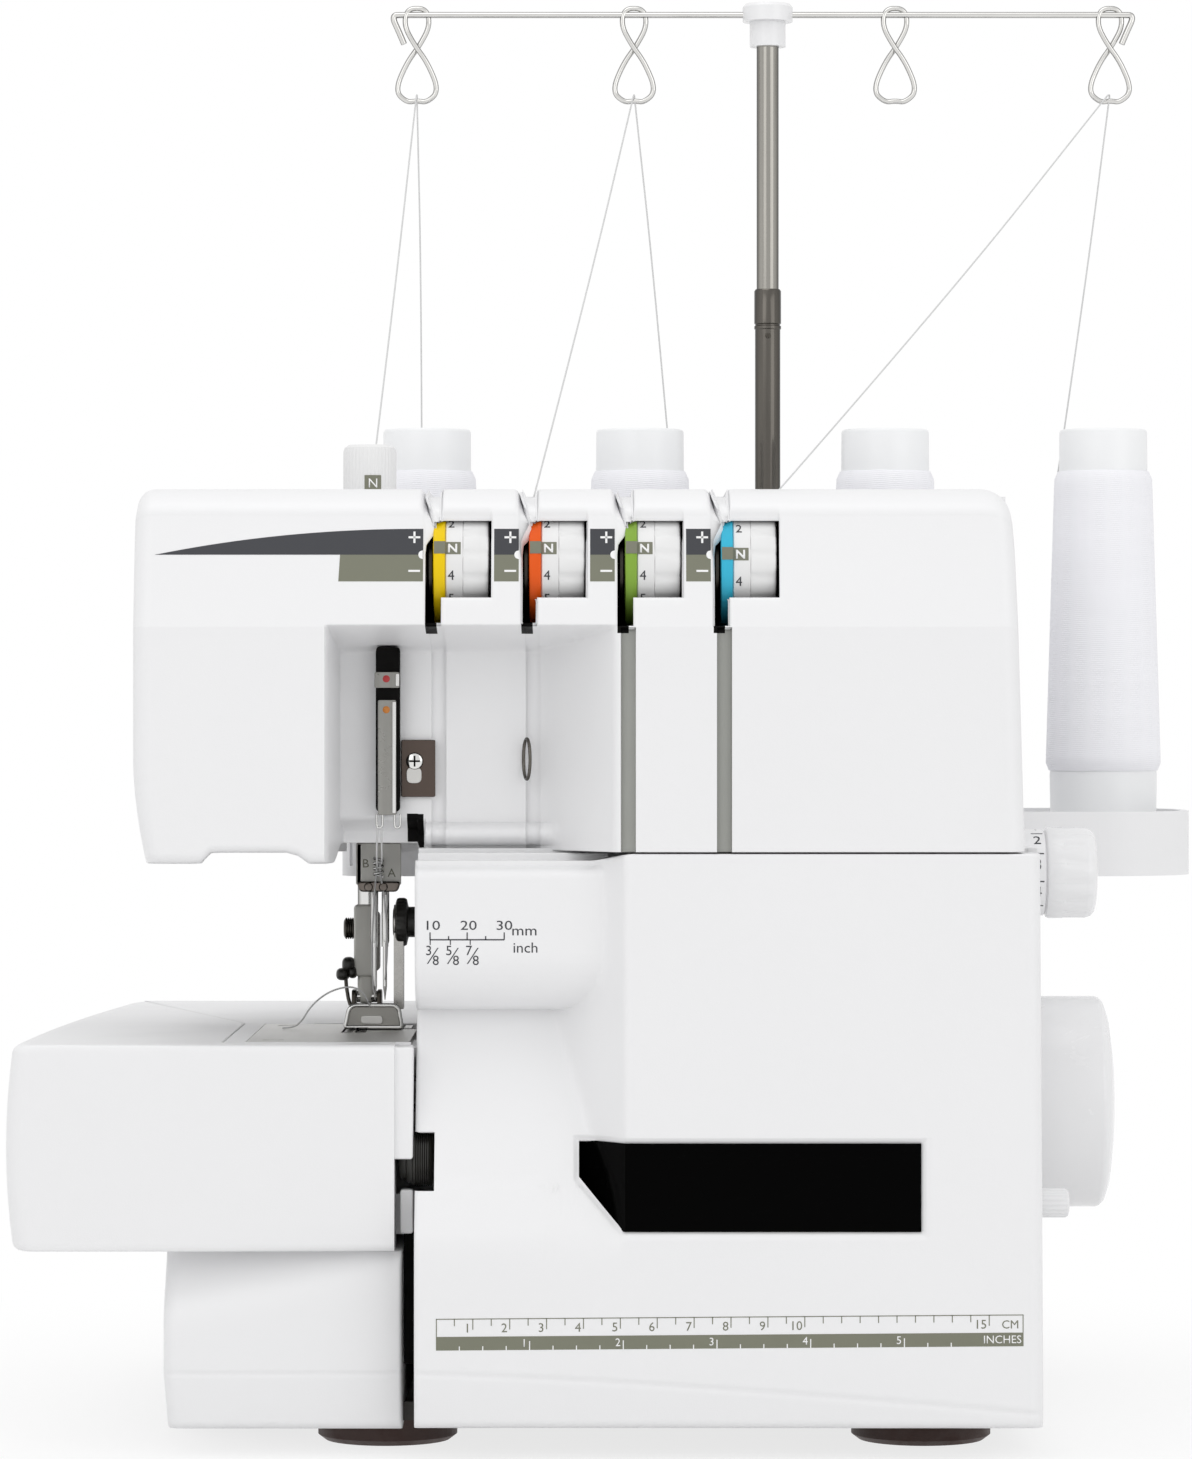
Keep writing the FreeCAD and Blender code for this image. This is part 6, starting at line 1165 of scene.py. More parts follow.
class OVERLOCK_OT_dials(OverlockOperator, bpy.types.Operator):
    """Adds the four tension dials with their colour rings, numbers and markers"""
    bl_idname = "overlock.dials"
    bl_label = "Tension dials"

    def execute(self, context):
        lift = context.scene.overlock_sizes.print_height * MM
        names = ("ring_yellow", "ring_orange", "ring_green", "ring_blue")
        for k, (left, right, colour) in enumerate(zip(RING_LEFT, DRUM_RIGHT, names), start=1):
            body = f"tension_dial_{k}"
            width = RINGS[k - 1][1][0] - left
            half = width / 2
            rim = [(3.06, 0.0), (RING_RADIUS - 0.7, 0.0), (RING_RADIUS - 0.2, 0.25), (RING_RADIUS, half),
                   (RING_RADIUS - 0.2, width - 0.25), (RING_RADIUS - 0.7, width), (3.06, width)]
            ring = closed_profile(f"colour_ring_{k}", rim, (left, DIAL_Y, DIAL_Z), "X", colour, body,
                                  96)
            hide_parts(f"tension_ring_{k}")
            split, grip = 4.8, right - 1.0 - left - width
            drum = [(3.06, 0.05), (DRUM_RADIUS - 0.3, 0.05), (DRUM_RADIUS, 0.3), (DRUM_RADIUS, split - 0.15),
                    (DRUM_RADIUS - 0.35, split), (DRUM_RADIUS, split + 0.15), (DRUM_RADIUS, grip - 1.1),
                    (DRUM_RADIUS - 0.4, grip - 0.35), (DRUM_RADIUS - 1.2, grip), (3.06, grip)]
            dial = closed_profile(f"number_drum_{k}", drum, (left + width, DIAL_Y, DIAL_Z), "X",
                                  "dial_white", body, 192,
                                  fluting(16, 0.42, split + 0.1, 13, 3))
            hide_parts(f"tension_dial_{k}")
            mark = DIAL_Z - 1.7 if k == 4 else DIAL_Z
            round_drum = dial_surface(DRUM_RADIUS, DIAL_Z)
            round_ring = dial_surface(RING_RADIUS, DIAL_Z)
            face, tall = left + width, 1.75
            block = [patch_print(face, face + 4.2, mark - tall + 4.7, mark + tall + 4.7)]
            strip = [patch_print(left + 0.2, face, mark - tall + 4.9, mark + tall + 4.9)]
            lay_prints(f"dial_marker_{k}", block, round_drum, "print_khaki", body, lift)
            lay_prints(f"ring_marker_{k}", strip, round_ring, "print_khaki", body, lift)
            letter = [text_print("N", face + 2.0, mark + 4.7 - 1.2, 2.4, stretch=1.1, bold=0.09)]
            lay_prints(f"dial_letter_{k}", letter, round_drum, "print_white", body, lift * 4)
            steps = {"2": 7.6, "4": -7.6, "5": -14.2, "6": -20.8, "7": -27.4, "1": 14.2, "0": 20.8}
            figures = [text_print(text, face + 1.6, mark + 4.9 - 1.35 + step, 2.7)
                       for text, step in steps.items()]
            lay_prints(f"dial_figures_{k}", figures, round_drum, "print_grey", body, lift * 2)
        return {"FINISHED"}


# ---- thread path ----

class OVERLOCK_OT_thread_path(OverlockOperator, bpy.types.Operator):
    """Adds the take-up cover, the guide plate, the eyelet and the small wire guides of the recess"""
    bl_idname = "overlock.thread_path"
    bl_label = "Thread path"

    def execute(self, context):
        low, high = box("take_up_cover")
        middle = (low[0] + high[0]) / 2
        # painted shade: a black panel in the opening behind the take-up cover
        backing = panel("take_up_slot_painted_shade", low[0] + 0.3, high[0], 176.0, 221.7, 1.5, low[1] + 1.6,
                        high[1] - 0.1, 0.3, "pocket_black", "frame")
        for name, x0, x1, z0, z1 in (("take_up_top", low[0], high[0], 210.2, high[2]),
                                     ("take_up_strip", low[0] + 0.9, high[0] - 0.9, low[2], 206.9)):
            panel(name, x0, x1, z0, z1, 0.6, low[1] + 0.3, high[1] - 0.6, 0.25, "strip_steel", "frame")
            panel(name + "_edge", x1 - 1.1, x1 - 0.1, z0 + 0.5, z1 - 0.5, 0.3, low[1], low[1] + 0.5, 0.15,
                  "chrome", "frame")
        dome = [(0.0, 0.35), (0.7, 0.25), (1.0, 0.0), (1.0, -0.4)]
        for name, z, colour in (("dot_upper", 212.7, "dot_red"), ("dot_lower", 204.2, "dot_amber")):
            lathe(name, [(r, -d) for r, d in dome], (middle - 0.2, low[1] + 0.3, z), "Y", colour, "frame",
                  24)
        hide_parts("take_up_cover")
        self.guides()
        return {"FINISHED"}

    def guides(self):
        """The guide plate with its screw, the eyelet and two wire hooks below the take-up."""
        low, high = box("thread_guides")
        left, right = low[0], low[0] + 9.4
        plate = panel("guide_plate", left, right, low[2], 195.9, 0.5, high[1] - 1.2, high[1], 0.2,
                      "plate_brown", "frame")
        screw_x, screw_z, face = left + 3.7, 190.0, high[1] - 1.2
        head = [(0.0, -1.0), (1.3, -0.95), (2.1, -0.6), (2.4, -0.1), (2.4, 0.2)]
        lathe("guide_screw", head, (screw_x, face, screw_z), "Y", "chrome", "frame", 32)
        # painted shade: the screw's cross slot is painted black
        cross = [box_print(screw_x - 1.5, screw_x + 1.5, screw_z - 0.25, screw_z + 0.25),
                 box_print(screw_x - 0.25, screw_x + 0.25, screw_z - 1.5, screw_z + 1.5)]
        lay_prints("guide_screw_cross_painted_shade", cross, plane_surface(face - 1.0), "pocket_black", "frame",
                   0.06, 0.3)
        panel("guide_slot", left + 1.4, left + 5.6, 183.9, 188.3, 1.6, face - 0.25, face + 0.3, 0.15,
              "plate_steel", "frame")
        turn = np.linspace(0, 2 * np.pi, 49)
        ring_x, ring_z = -28.7, 190.6
        eyelet = np.stack([ring_x + 0.95 * np.sin(turn), high[1] - 3.6 - 3.0 * np.sin(turn),
                           ring_z + 5.6 * np.cos(turn)], -1)
        tube("eyelet", eyelet, 0.45, "tube_dark", "frame", 12)
        for name, x in (("hook_left", -69.3), ("hook_right", -64.4)):
            bend = np.linspace(0, np.pi, 13)
            arc = np.stack([x - 0.8 * np.cos(bend), np.full(13, high[1] - 3.8), 172.6 - 1.0 * np.sin(bend)],
                           -1)
            hook = np.concatenate([[arc[0] + (0, 0, 2.8)], arc, [arc[-1] + (0, 0, 2.8)]])
            tube(name, hook, 0.3, "chrome", "frame", 10)
        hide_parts("thread_guides")


# ---- needle, foot and knife ----

class OVERLOCK_OT_needle_area(OverlockOperator, bpy.types.Operator):
    """Adds the needle holder, the presser ankle and foot, the release lever and the knife knob"""
    bl_idname = "overlock.needle_area"
    bl_label = "Needle, foot and knife"

    def execute(self, context):
        self.holder()
        self.ankle()
        self.foot()
        self.knob()
        return {"FINISHED"}

    def holder(self):
        """The cast needle holder with its clamp band, set screws, marks and thread coil."""
        low, high = box("needle_clamp")
        face = low[1] + 1.4
        body = "needle_bar"
        middle, block_right = -39.3, -68.6
        panel("needle_holder_face", low[0] + 1.2, high[0] + 0.3, 154.0, high[2], 0.5, face, middle, 0.3,
              "cast_light", body)
        plate = panel("needle_holder", low[0] + 1.3, block_right, 154.1, high[2], 0.5, middle - 0.4, high[1],
                      0.3, "cast_light", body)
        # painted shade: a strip in the darker cast finish for the shaded left side of the holder
        panel("needle_holder_shaded_side", low[0] - 0.2, low[0] + 1.6, 154.0, high[2], 0.5, face + 0.7,
              high[1] - 0.5, 0.4, "cast_metal", body)
        slab("needle_clamp_band", round_corners([(low[0], 155.0), (low[0] + 0.9, 152.0),
                                                 (high[0] - 0.6, 152.0), (high[0] + 0.3, 155.0)], 1.2), "Y",
             face - 1.2, middle, 0.5, "chrome_dark", body)
        panel("needle_clamp_block", low[0] + 0.9, block_right, 152.0, 154.8, 0.6, middle - 0.5,
              high[1] - 0.8, 0.5, "chrome_dark", body)
        for side in (0.28, 0.62):
            x = low[0] + side * (high[0] - low[0])
            lathe(f"clamp_screw_{int(side * 100)}", [(0.0, -0.7), (1.0, -0.6), (1.3, -0.2), (1.3, 0.6)],
                  (x, face - 1.1, 153.4), "Y", "chrome_dark", body, 20)
        for name, x, z in (("B", low[0] + 2.6, 159.0), ("A", high[0] - 2.4, 156.3)):
            lay_prints(f"needle_mark_{name}", [text_print(name, x, z, 2.5)], plane_surface(face),
                       "print_khaki", body, 0.04)
        turn = np.linspace(0, 7 * np.pi, 90)
        rise = np.linspace(0, 5.4, 90)
        coil = np.stack([-72.2 + 1.25 * np.cos(turn), face - 1.1 + 0.7 * np.sin(turn), 156.3 + rise], -1)
        tube("thread_coil", coil, 0.36, "chrome", body, 10)
        shank = [(0.95, 137.0), (1.1, 137.6), (1.1, 151.5), (0.9, 152.3)]
        for k, x in enumerate((-73.6, -70.4), start=1):
            lathe(f"needle_shank_{k}", shank, (x, -35.0, 0.0), "Z", "chrome", body, 24)
        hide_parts("needle_clamp")

    def ankle(self):
        """The presser bar's ankle with its side screw, release lever and spring wire."""
        low, high = box("presser_ankle")
        body = "presser_bar"
        right, left = -73.6, -79.9
        shank = slab("ankle", round_corners([(left, 127.0), (right, 127.0), (right, high[2]),
                                             (left, high[2])], 1.2), "Y", -27.0, high[1], 0.7, "cast_light",
                     body)
        # painted shade: a strip in the darker cast finish for the shaded right side of the ankle
        slab("ankle_shaded_side", round_corners([(right - 0.6, 128.0), (right + 1.1, 129.0), (right + 1.1, 145.0),
                                          (right - 0.6, 146.4)], 0.8), "Y", -25.5, high[1] - 0.5, 0.5,
             "cast_metal", body)
        soft_block("ankle_foot", (left + 0.9, -25.5, low[2] + 0.6), (right - 0.4, high[1] - 1, 128.6), 0.45,
                   "cast_light", body)
        grooves = [(0.0, -3.2), (2.2, -3.1), (2.9, -2.7)]
        for k in range(4):
            grooves += [(3.1, -2.5 + 0.62 * k), (3.1, -2.2 + 0.62 * k), (2.6, -2.05 + 0.62 * k)]
        lathe("ankle_screw", grooves + [(2.6, 0.4)], (left, -22.0, 140.8), "X", "steel_dark", body,
              32)
        for k, (x0, x1, z0, z1) in enumerate(((-85.1, -81.2, 125.8, 129.4), (-83.4, -79.6, 128.2, 132.6),
                                              (-81.6, -79.0, 126.4, 130.0)), start=1):
            soft_block(f"release_lever_{k}", (x0, -28.5, z0), (x1, -21.5, z1), 0.75, "plastic_black", body)
        spring = np.array([(-82.4, -24.0, 127.0), (-82.2, -24.0, 124.0), (-81.6, -24.4, 120.5),
                           (-81.0, -24.8, 118.6)])
        tube("spring_wire", spring, 0.55, "steel_dark", body, 10)
        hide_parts("presser_ankle")

    def foot(self):
        """The presser foot: a sole, a turned up toe with a bright rim and slot, ears and a pivot."""
        low, high = box("presser_foot")
        body = "presser_foot"
        toe, heel, inner = low[1] + 1.5, high[1] - 3.3, -68.7
        pieces = (("left", low[0] + 0.6, -75.4, toe, heel), ("front", -75.7, high[0] - 0.4, toe, -40.4),
                  ("back", -75.7, inner, -31.2, heel), ("side", inner - 0.5, inner, -41.0, -30.8))
        for name, x0, x1, y0, y1 in pieces:
            sole = slab(f"foot_sole_{name}", rounded_box(x0, x1, y0, y1, 0.2), "Z", low[2], low[2] + 1.7,
                        0.15, "steel", body)
        corners = [(low[0], low[2] + 0.4), (high[0], low[2] + 0.4), (high[0] - 1.0, low[2] + 6.9),
                   (low[0] + 1.3, low[2] + 6.9)]
        outline = round_corners(corners, (0.6, 0.6, 2.2, 2.2), 7)
        slab("foot_toe", outline, "Y", low[1] + 0.6, low[1] + 2.2, 0.3, "cast_metal", body)
        middle = outline.mean(0)
        rim = middle + (outline - middle) * 0.96
        rim = np.concatenate([rim, rim[:1]])
        tube("foot_rim", np.stack([rim[:, 0], np.full(len(rim), low[1] + 0.75), rim[:, 1]], -1), 0.62,
             "chrome", body, 10)
        panel("foot_slot", -76.9, -70.6, low[2] + 1.4, low[2] + 3.9, 1.1, low[1] + 0.2, low[1] + 0.9, 0.2,
              "plate_steel", body)
        for k, x in enumerate((-80.6, -73.2), start=1):
            ear = round_corners([(-27.0, low[2] + 1.2), (-17.2, low[2] + 1.2), (-18.4, high[2]),
                                 (-25.6, high[2])], 1.6)
            slab(f"foot_ear_{k}", ear, "X", x, x + 1.3, 0.3, "steel_dark", body)
        lathe("foot_pivot", [(1.5, -79.2), (1.7, -79.0), (1.7, -73.4), (1.5, -73.2)],
              (0.0, -23.6, high[2] - 2.0), "X", "chrome", body, 24)
        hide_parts("presser_foot")

    def knob(self):
        """The black knob that folds the upper knife away."""
        profile = [(3.6, -68.3), (4.2, -68.1), (4.2, -67.7), (5.9, -67.5), (6.8, -67.1), (7.0, -66.5),
                   (7.0, -65.0), (6.6, -64.3), (5.2, -64.0), (4.4, -63.8), (4.4, -60.9), (4.0, -60.6)]
        knob = lathe("knife_fold_knob", profile, hub("knife_knob")[2], "X", "plastic_black", "upper_knife",
                     96, fluting(24, 0.25, -67.2, -64.9))
        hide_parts("knife_knob")


NEEDLE_THREADS = {
    "needle_thread_left": [(-69.9, -105.8, 172.4), (-70.1, -105.8, 166.0), (-70.3, -100.0, 160.9),
                           (-71.6, -60.0, 160.4), (-72.5, -43.2, 160.2), (-72.8, -42.4, 157.0),
                           (-73.4, -42.2, 150.0), (-74.2, -38.5, 136.0), (-74.0, -36.4, 124.5),
                           (-73.6, -35.4, 122.6)],
    "needle_thread_right": [(-68.8, -105.8, 172.4), (-68.7, -105.8, 166.0), (-68.9, -100.0, 161.4),
                            (-71.0, -60.0, 161.0), (-71.8, -43.2, 160.8), (-71.6, -42.4, 157.0),
                            (-70.4, -42.2, 150.0), (-69.6, -38.5, 138.0), (-70.2, -36.4, 128.5),
                            (-70.5, -35.4, 126.4)],
}
THREAD_TAIL = [(-73.4, -46.0, 117.6), (-74.2, -50.6, 119.6), (-76.0, -51.6, 123.6), (-79.0, -51.0, 125.2),
               (-83.0, -50.0, 124.8), (-87.5, -49.0, 122.8), (-91.5, -48.0, 119.2), (-94.0, -47.5, 115.0),
               (-96.5, -47.0, 113.2), (-99.5, -46.5, 113.1)]


class OVERLOCK_OT_needle_threads(OverlockOperator, bpy.types.Operator):
    """Adds the two needle threads and the tail that runs out from under the foot"""
    bl_idname = "overlock.needle_threads"
    bl_label = "Needle threads"

    def execute(self, context):
        diameter = context.scene.overlock_sizes.thread
        for name, points in (*NEEDLE_THREADS.items(), ("thread_tail", THREAD_TAIL)):
            tail = name == "thread_tail"
            path = smooth_path(points)
            piece = tube(name, path, diameter * MM / 2, "thread_line", "presser_foot" if tail else "frame",
                         THREAD_SIDES)
            if not tail:
                piece.parent = None
                piece.matrix_world.identity()
            if not tail:
                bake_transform(piece)
        return {"FINISHED"}


# ---- stand ----

class OVERLOCK_OT_stand(OverlockOperator, bpy.types.Operator):
    """Adds the thread stand: cones, windings, the mast's lower tube, the guide bar and its four wire eyes"""
    bl_idname = "overlock.stand"
    bl_label = "Thread stand"

    def execute(self, context):
        low, high = box("thread_cones")
        winding_low, winding_high = box("thread_windings")
        middle_y = (low[1] + high[1]) / 2
        cones, windings = [], []
        wall, top = 1.2, 13.4
        share = np.linspace(0, 1, 40)
        for k, x in enumerate(PIN_X, start=1):
            cone = [(16.5, low[2]), (16.5, low[2] + 3), (16.0, low[2] + 4), (16.4, winding_low[2] - 1),
                    (16.2, winding_low[2]), (top + 0.1, winding_high[2]), (top, high[2] - 0.8),
                    (top - 0.3, high[2] - 0.2), (top - 0.6, high[2]), (top - wall, high[2] - 0.3),
                    (top - wall, winding_high[2]), (14.8, winding_low[2]), (15.2, low[2])]
            cones.append(closed_profile(f"cone_{k}", cone, (x, middle_y, 0.0), "Z", "cone_plastic", "frame",
                                        96))
            radius = 17.65 - 2.75 * share - 1.0 * round_off(share * 30, 1.0)
            radius = radius - 1.0 * round_off((1 - share) * 30, 1.0)
            height = winding_low[2] + 0.1 + share * (winding_high[2] - winding_low[2] - 0.4)
            profile = [(16.5, winding_low[2] + 0.05), *zip(radius, height), (13.9, winding_high[2] - 0.4)]
            windings.append(lathe(f"winding_{k}", profile, (x, middle_y, 0.0), "Z", "thread_white", "frame",
                                  96, uv=True))
        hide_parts("thread_cones")
        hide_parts("thread_windings")
        self.mast()
        self.guide_bar()
        return {"FINISHED"}

    def mast(self):
        """The mast's lower tube with its ringed collar and detent."""
        low, high = box("mast_lower_tube")
        centre = ((low[0] + high[0]) / 2, (low[1] + high[1]) / 2, 0.0)
        collar = high[2] - 11.2
        outer = [(3.95, low[2]), (3.95, collar - 1.4), (4.2, collar - 1.2), (4.2, collar - 0.3),
                 (3.9, collar - 0.1), (3.9, collar + 0.2), (4.2, collar + 0.5), (4.2, high[2] - 0.6),
                 (3.8, high[2])]
        inner = [(3.52, high[2]), (3.52, low[2])]
        lower = closed_profile("mast_lower", outer + inner, centre, "Z", "tube_dark", "frame")
        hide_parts("mast_lower_tube")
        soft_block("mast_detent", (centre[0] - 0.9, centre[1] - 4.15, collar - 4.4),
                   (centre[0] + 0.9, centre[1] - 3.5, collar - 2.6), 0.9, "steel_dark", "frame")

    def guide_bar(self):
        """The bar with its hooked ends, and four wires bent into figures of eight round it."""
        low, high = box("thread_guide_bar")
        y, radius = (low[1] + high[1]) / 2, 0.95
        ends = [low[0] + 0.9, high[0] - 0.9]
        body = "mast_upper"
        left = [(ends[0] + 3.4, y, 412.6), (ends[0] + 2.0, y, 416.0), (ends[0] - 0.6, y, 421.6),
                (ends[0] + 3.0, y, BAR_Z)]
        right = [(ends[0] + ends[1] - x, py, pz) for x, py, pz in left[::-1]]
        level = [(x, y, BAR_Z) for x in np.linspace(ends[0] + 20, ends[1] - 20, 6)]
        path = smooth_path(left + level + right)
        bar = tube("guide_bar", path, radius, "wire_steel", body, 16)
        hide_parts("thread_guide_bar")
        half = [(0.0, 0.0, 423.7), (2.9, 0.1, 423.9), (4.1, 0.6, 418.6), (1.0, 0.9, 412.6),
                (-3.4, 0.7, 406.6), (-6.9, 0.2, 398.0), (-3.2, 0.0, 394.4), (0.0, 0.0, 394.9)]
        whole = half + [(-x, -dy, pz) for x, dy, pz in half[-2::-1]]
        for k, x in enumerate(EYE_X, start=1):
            eye = smooth_path([(x + dx, y + dy, pz) for dx, dy, pz in whole])
            tube(f"wire_eye_{k}", eye, 0.8, "wire_steel", body, 12)


# ---- knobs ----

class OVERLOCK_OT_knobs(OverlockOperator, bpy.types.Operator):
    """Adds the pressure dial, handwheel, stitch length dial, differential knob and cutting width dial"""
    bl_idname = "overlock.knobs"
    bl_label = "Knobs and wheel"

    def execute(self, context):
        self.pressure_dial()
        self.right_side()
        self.width_dial()
        return {"FINISHED"}

    def pressure_dial(self):
        """A white knurled dial on top of the head, with a khaki marker."""
        low, high = box("pressure_dial")
        x, y, radius = (low[0] + high[0]) / 2, (low[1] + high[1]) / 2, (high[0] - low[0]) / 2
        profile = [(radius - 1.2, low[2]), (radius - 0.5, low[2] + 0.4), (radius - 0.5, 262.5),
                   (radius - 0.1, 263.2), (radius - 0.1, high[2] - 2.0), (radius - 0.5, high[2] - 0.9),
                   (radius - 1.6, high[2] - 0.1), (radius - 2.6, high[2] - 0.2),
                   (radius - 3.2, high[2] - 0.7), (0.0, high[2] - 0.8)]
        dial = lathe("pressure_knob", profile, (x, y, 0.0), "Z", "dial_white", "pressure_dial",
                     320, fluting(40, 0.22, 262.8, high[2] - 1.8))
        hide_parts("pressure_dial")
        surface = drum_surface(radius - 0.1, x, y)
        square = [box_print(a, a + 0.6, 266.2, 270.6) for a in x - 1.2 + np.arange(8) * 0.6]
        lay_prints("pressure_marker", square, surface, "print_khaki", "pressure_dial", 0.06)
        lay_prints("pressure_letter", [text_print("N", x + 1.2, 267.1, 2.7)], surface, "print_white",
                   "pressure_dial", 0.2)

    def right_side(self):
        """The handwheel's dome and the two dials of the right side."""
        low, high, centre, radius = hub("handwheel")
        right = high[0]
        profile = [(radius - 2.5, low[0]), (radius - 0.6, low[0] + 0.3), (radius, low[0] + 1.2),
                   (radius, right - 5.0), (radius - 0.3, right - 4.0), (radius - 1.4, right - 2.9),
                   (radius - 4.5, right - 1.8), (radius - 12.0, right - 0.7), (8.0, right - 0.1),
                   (0.0, right)]
        wheel = lathe("wheel", profile, centre, "X", "gloss_white", "drive_shaft", 128)
        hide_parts("handwheel")
        low, high, centre, radius = hub("stitch_length_dial")
        right, drum = high[0], radius - 0.7
        profile = [(drum - 1, low[0]), (drum, low[0] + 0.4), (drum, 116.3), (drum - 0.6, 116.8),
                   (radius - 0.3, 117.2), (radius, 117.8), (radius, 121.6), (radius, 122.2),
                   (radius, right - 3.0), (radius - 0.5, right - 1.4), (radius - 1.6, right - 0.4),
                   (radius - 3.2, right), (0.0, right)]
        dial = lathe("length_dial", profile, centre, "X", "gloss_white", "stitch_length_dial",
                     256, fluting(14, 0.45, 121.9, right - 0.2, 1.5))
        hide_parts("stitch_length_dial")
        figures = [text_print(text, 114.2, centre[2] + at, 3.4)
                   for text, at in (("2", 9.0), ("3", 1.0), ("4", -7.0), ("1", 17.0), ("5", -15.0))]
        ticks = [box_print(112.6, 115.9, centre[2] + at, centre[2] + at + 0.35)
                 for at in (13.6, 5.6, -2.4, -10.4)]
        lay_prints("length_figures", figures + ticks, dial_surface(drum, centre[2], centre[1]), "print_grey",
                   "stitch_length_dial", 0.06)
        low, high, centre, radius = hub("differential_knob")
        profile = [(radius - 0.8, low[0]), (radius - 0.4, low[0] + 0.4), (radius - 0.4, 113.0),
                   (radius, 113.5), (radius, high[0] - 1.0), (radius - 0.5, high[0] - 0.3),
                   (radius - 1.4, high[0]), (0.0, high[0])]
        knob = lathe("feed_knob", profile, centre, "X", "gloss_white", "differential_knob",
                     144, fluting(18, 0.3, 113.3, high[0] - 0.6))
        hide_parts("differential_knob")

    def width_dial(self):
        """The black cutting width dial, stepped at its end and ringed where it is gripped."""
        low, high, centre, radius = hub("cutting_width_dial")
        profile = [(4.4, low[0]), (5.4, low[0] + 0.3), (5.8, low[0] + 0.9), (5.8, low[0] + 1.8),
                   (6.7, low[0] + 2.1), (7.0, low[0] + 2.6), (7.0, low[0] + 3.6), (radius, low[0] + 3.9)]
        for k in range(7):
            place = low[0] + 4.2 + 0.6 * k
            profile += [(radius, place), (radius, place + 0.3), (radius - 0.35, place + 0.45)]
        profile += [(radius, low[0] + 8.5), (radius - 0.3, low[0] + 9.0), (radius - 1.0, low[0] + 9.4),
                    (4.0, low[0] + 9.5), (4.0, high[0])]
        dial = lathe("width_dial", profile, centre, "X", "plastic_black", "cutting_width_dial",
                     72)
        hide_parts("cutting_width_dial")


# ---- table and base ----

class OVERLOCK_OT_table(OverlockOperator, bpy.types.Operator):
    """Adds the slide-on table round the free arm, and the lower left cover below it"""
    bl_idname = "overlock.table"
    bl_label = "Table and base"

    def execute(self, context):
        low, high = box("extension_table")
        arm_low, arm_high = box("free_arm")
        gap = 0.6
        notch_left, notch_low, notch_high = arm_low[0] - gap, arm_low[1] - gap, arm_high[1] + gap
        front_right = high[0] - 5.0
        legs = (12, 16, 12)
        outer = bent_path((front_right, low[1]), [(low[0], low[1]), (low[0], high[1])], (high[0], high[1]),
                          (6.0, 16.0), legs)
        inner = bent_path((front_right, notch_low), [(notch_left, notch_low), (notch_left, notch_high)],
                          (high[0], notch_high), (0.8, 0.8), legs)
        middle = (low[2] + high[2]) / 2

        def bend(points):
            x, y, z = points.T
            side = smooth_step(-150.0, low[0], x)
            back = np.clip((y - low[1]) / (high[1] - low[1]), 0, 1)
            return np.stack([x + side * (2.0 * ((z - middle) / 28) ** 2 + 15.0 * back ** 1.7), y, z], -1)

        table = band("slide_on_table", outer, inner, low[2], high[2], 2.2, 0.5, "shell_white",
                     "extension_table", bend)
        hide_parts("extension_table")
        panel("table_step", high[0] - 5.4, high[0], 81.5, high[2] - 0.6, 0.8, low[1] + 1.4, notch_low, 0.5,
              "shell_white", "extension_table")
        self.base()
        return {"FINISHED"}

    def base(self):
        """The lower left cover: a face that leans in below a crease, and sides that go straight back."""
        low, high = box("lower_left_cover")
        crease = 22.8
        right = high[0] - 1.6
        xs = lines(low[0], right, 4.0, (low[0] + 2, 2.0, 0.4), (right - 1, 1.0, 0.3))
        zs = lines(low[2], high[2], 4.0, (low[2] + 1.5, 1.5, 0.4), (crease, 2.0, 0.5),
                   (high[2] - 1, 1.0, 0.3))
        start = low[1] - FRONT

        def depth(x, z):
            lean = 0.07 * np.clip(crease - z, 0, None) + 0.3 * np.clip(1 - np.abs(z - crease) / 1.0, 0, 1)
            scoop = 13.0 * smooth_step(0.0, 22.0, z - 36.0 - 14.0 * (x - low[0]) / (right - low[0]))
            edge = round_off(x - low[0], 4.0) + round_off(z - low[2], 2.0) + round_off(right - x, 1.0)
            return start + lean + scoop + edge

        def shift(x, z, deep):
            lower = np.clip((crease - z) / (crease - low[2]), 0, 1)
            return x + 1.2 * lower * smooth_step(low[0] + 30, low[0], x), z - 1.6 * lower * (deep < 40)

        def back(x, z):
            return np.full_like(x, high[1] - FRONT)

        # painted shade: a black sheet in the gap beside the base cover
        panel("base_gap_painted_shade", right + 0.2, high[0] + 1.6, 24.5, 61.0, 0.3, low[1] + 9.0, low[1] + 10.0,
              0.2, "pocket_black", "frame")
        panel("arm_end_block", high[0] - 2.2, high[0] + 1.4, 60.8, 72.8, 0.8, low[1] + 3.0, low[1] + 9.0,
              0.5, "shell_white", "frame")
        panel("base_back_wall", low[0] + 1.0, high[0] - 0.2, low[2] + 0.2, high[2] - 0.2, 0.8, high[1] - 2.2,
              high[1] - 0.3, 0.4, "shell_white", "frame")
        cover = moulding("base_left_cover", xs, zs, depth, back, shift, "shell_white",
                         "frame", wall=1.2)
        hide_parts("lower_left_cover")


# ---- prints ----

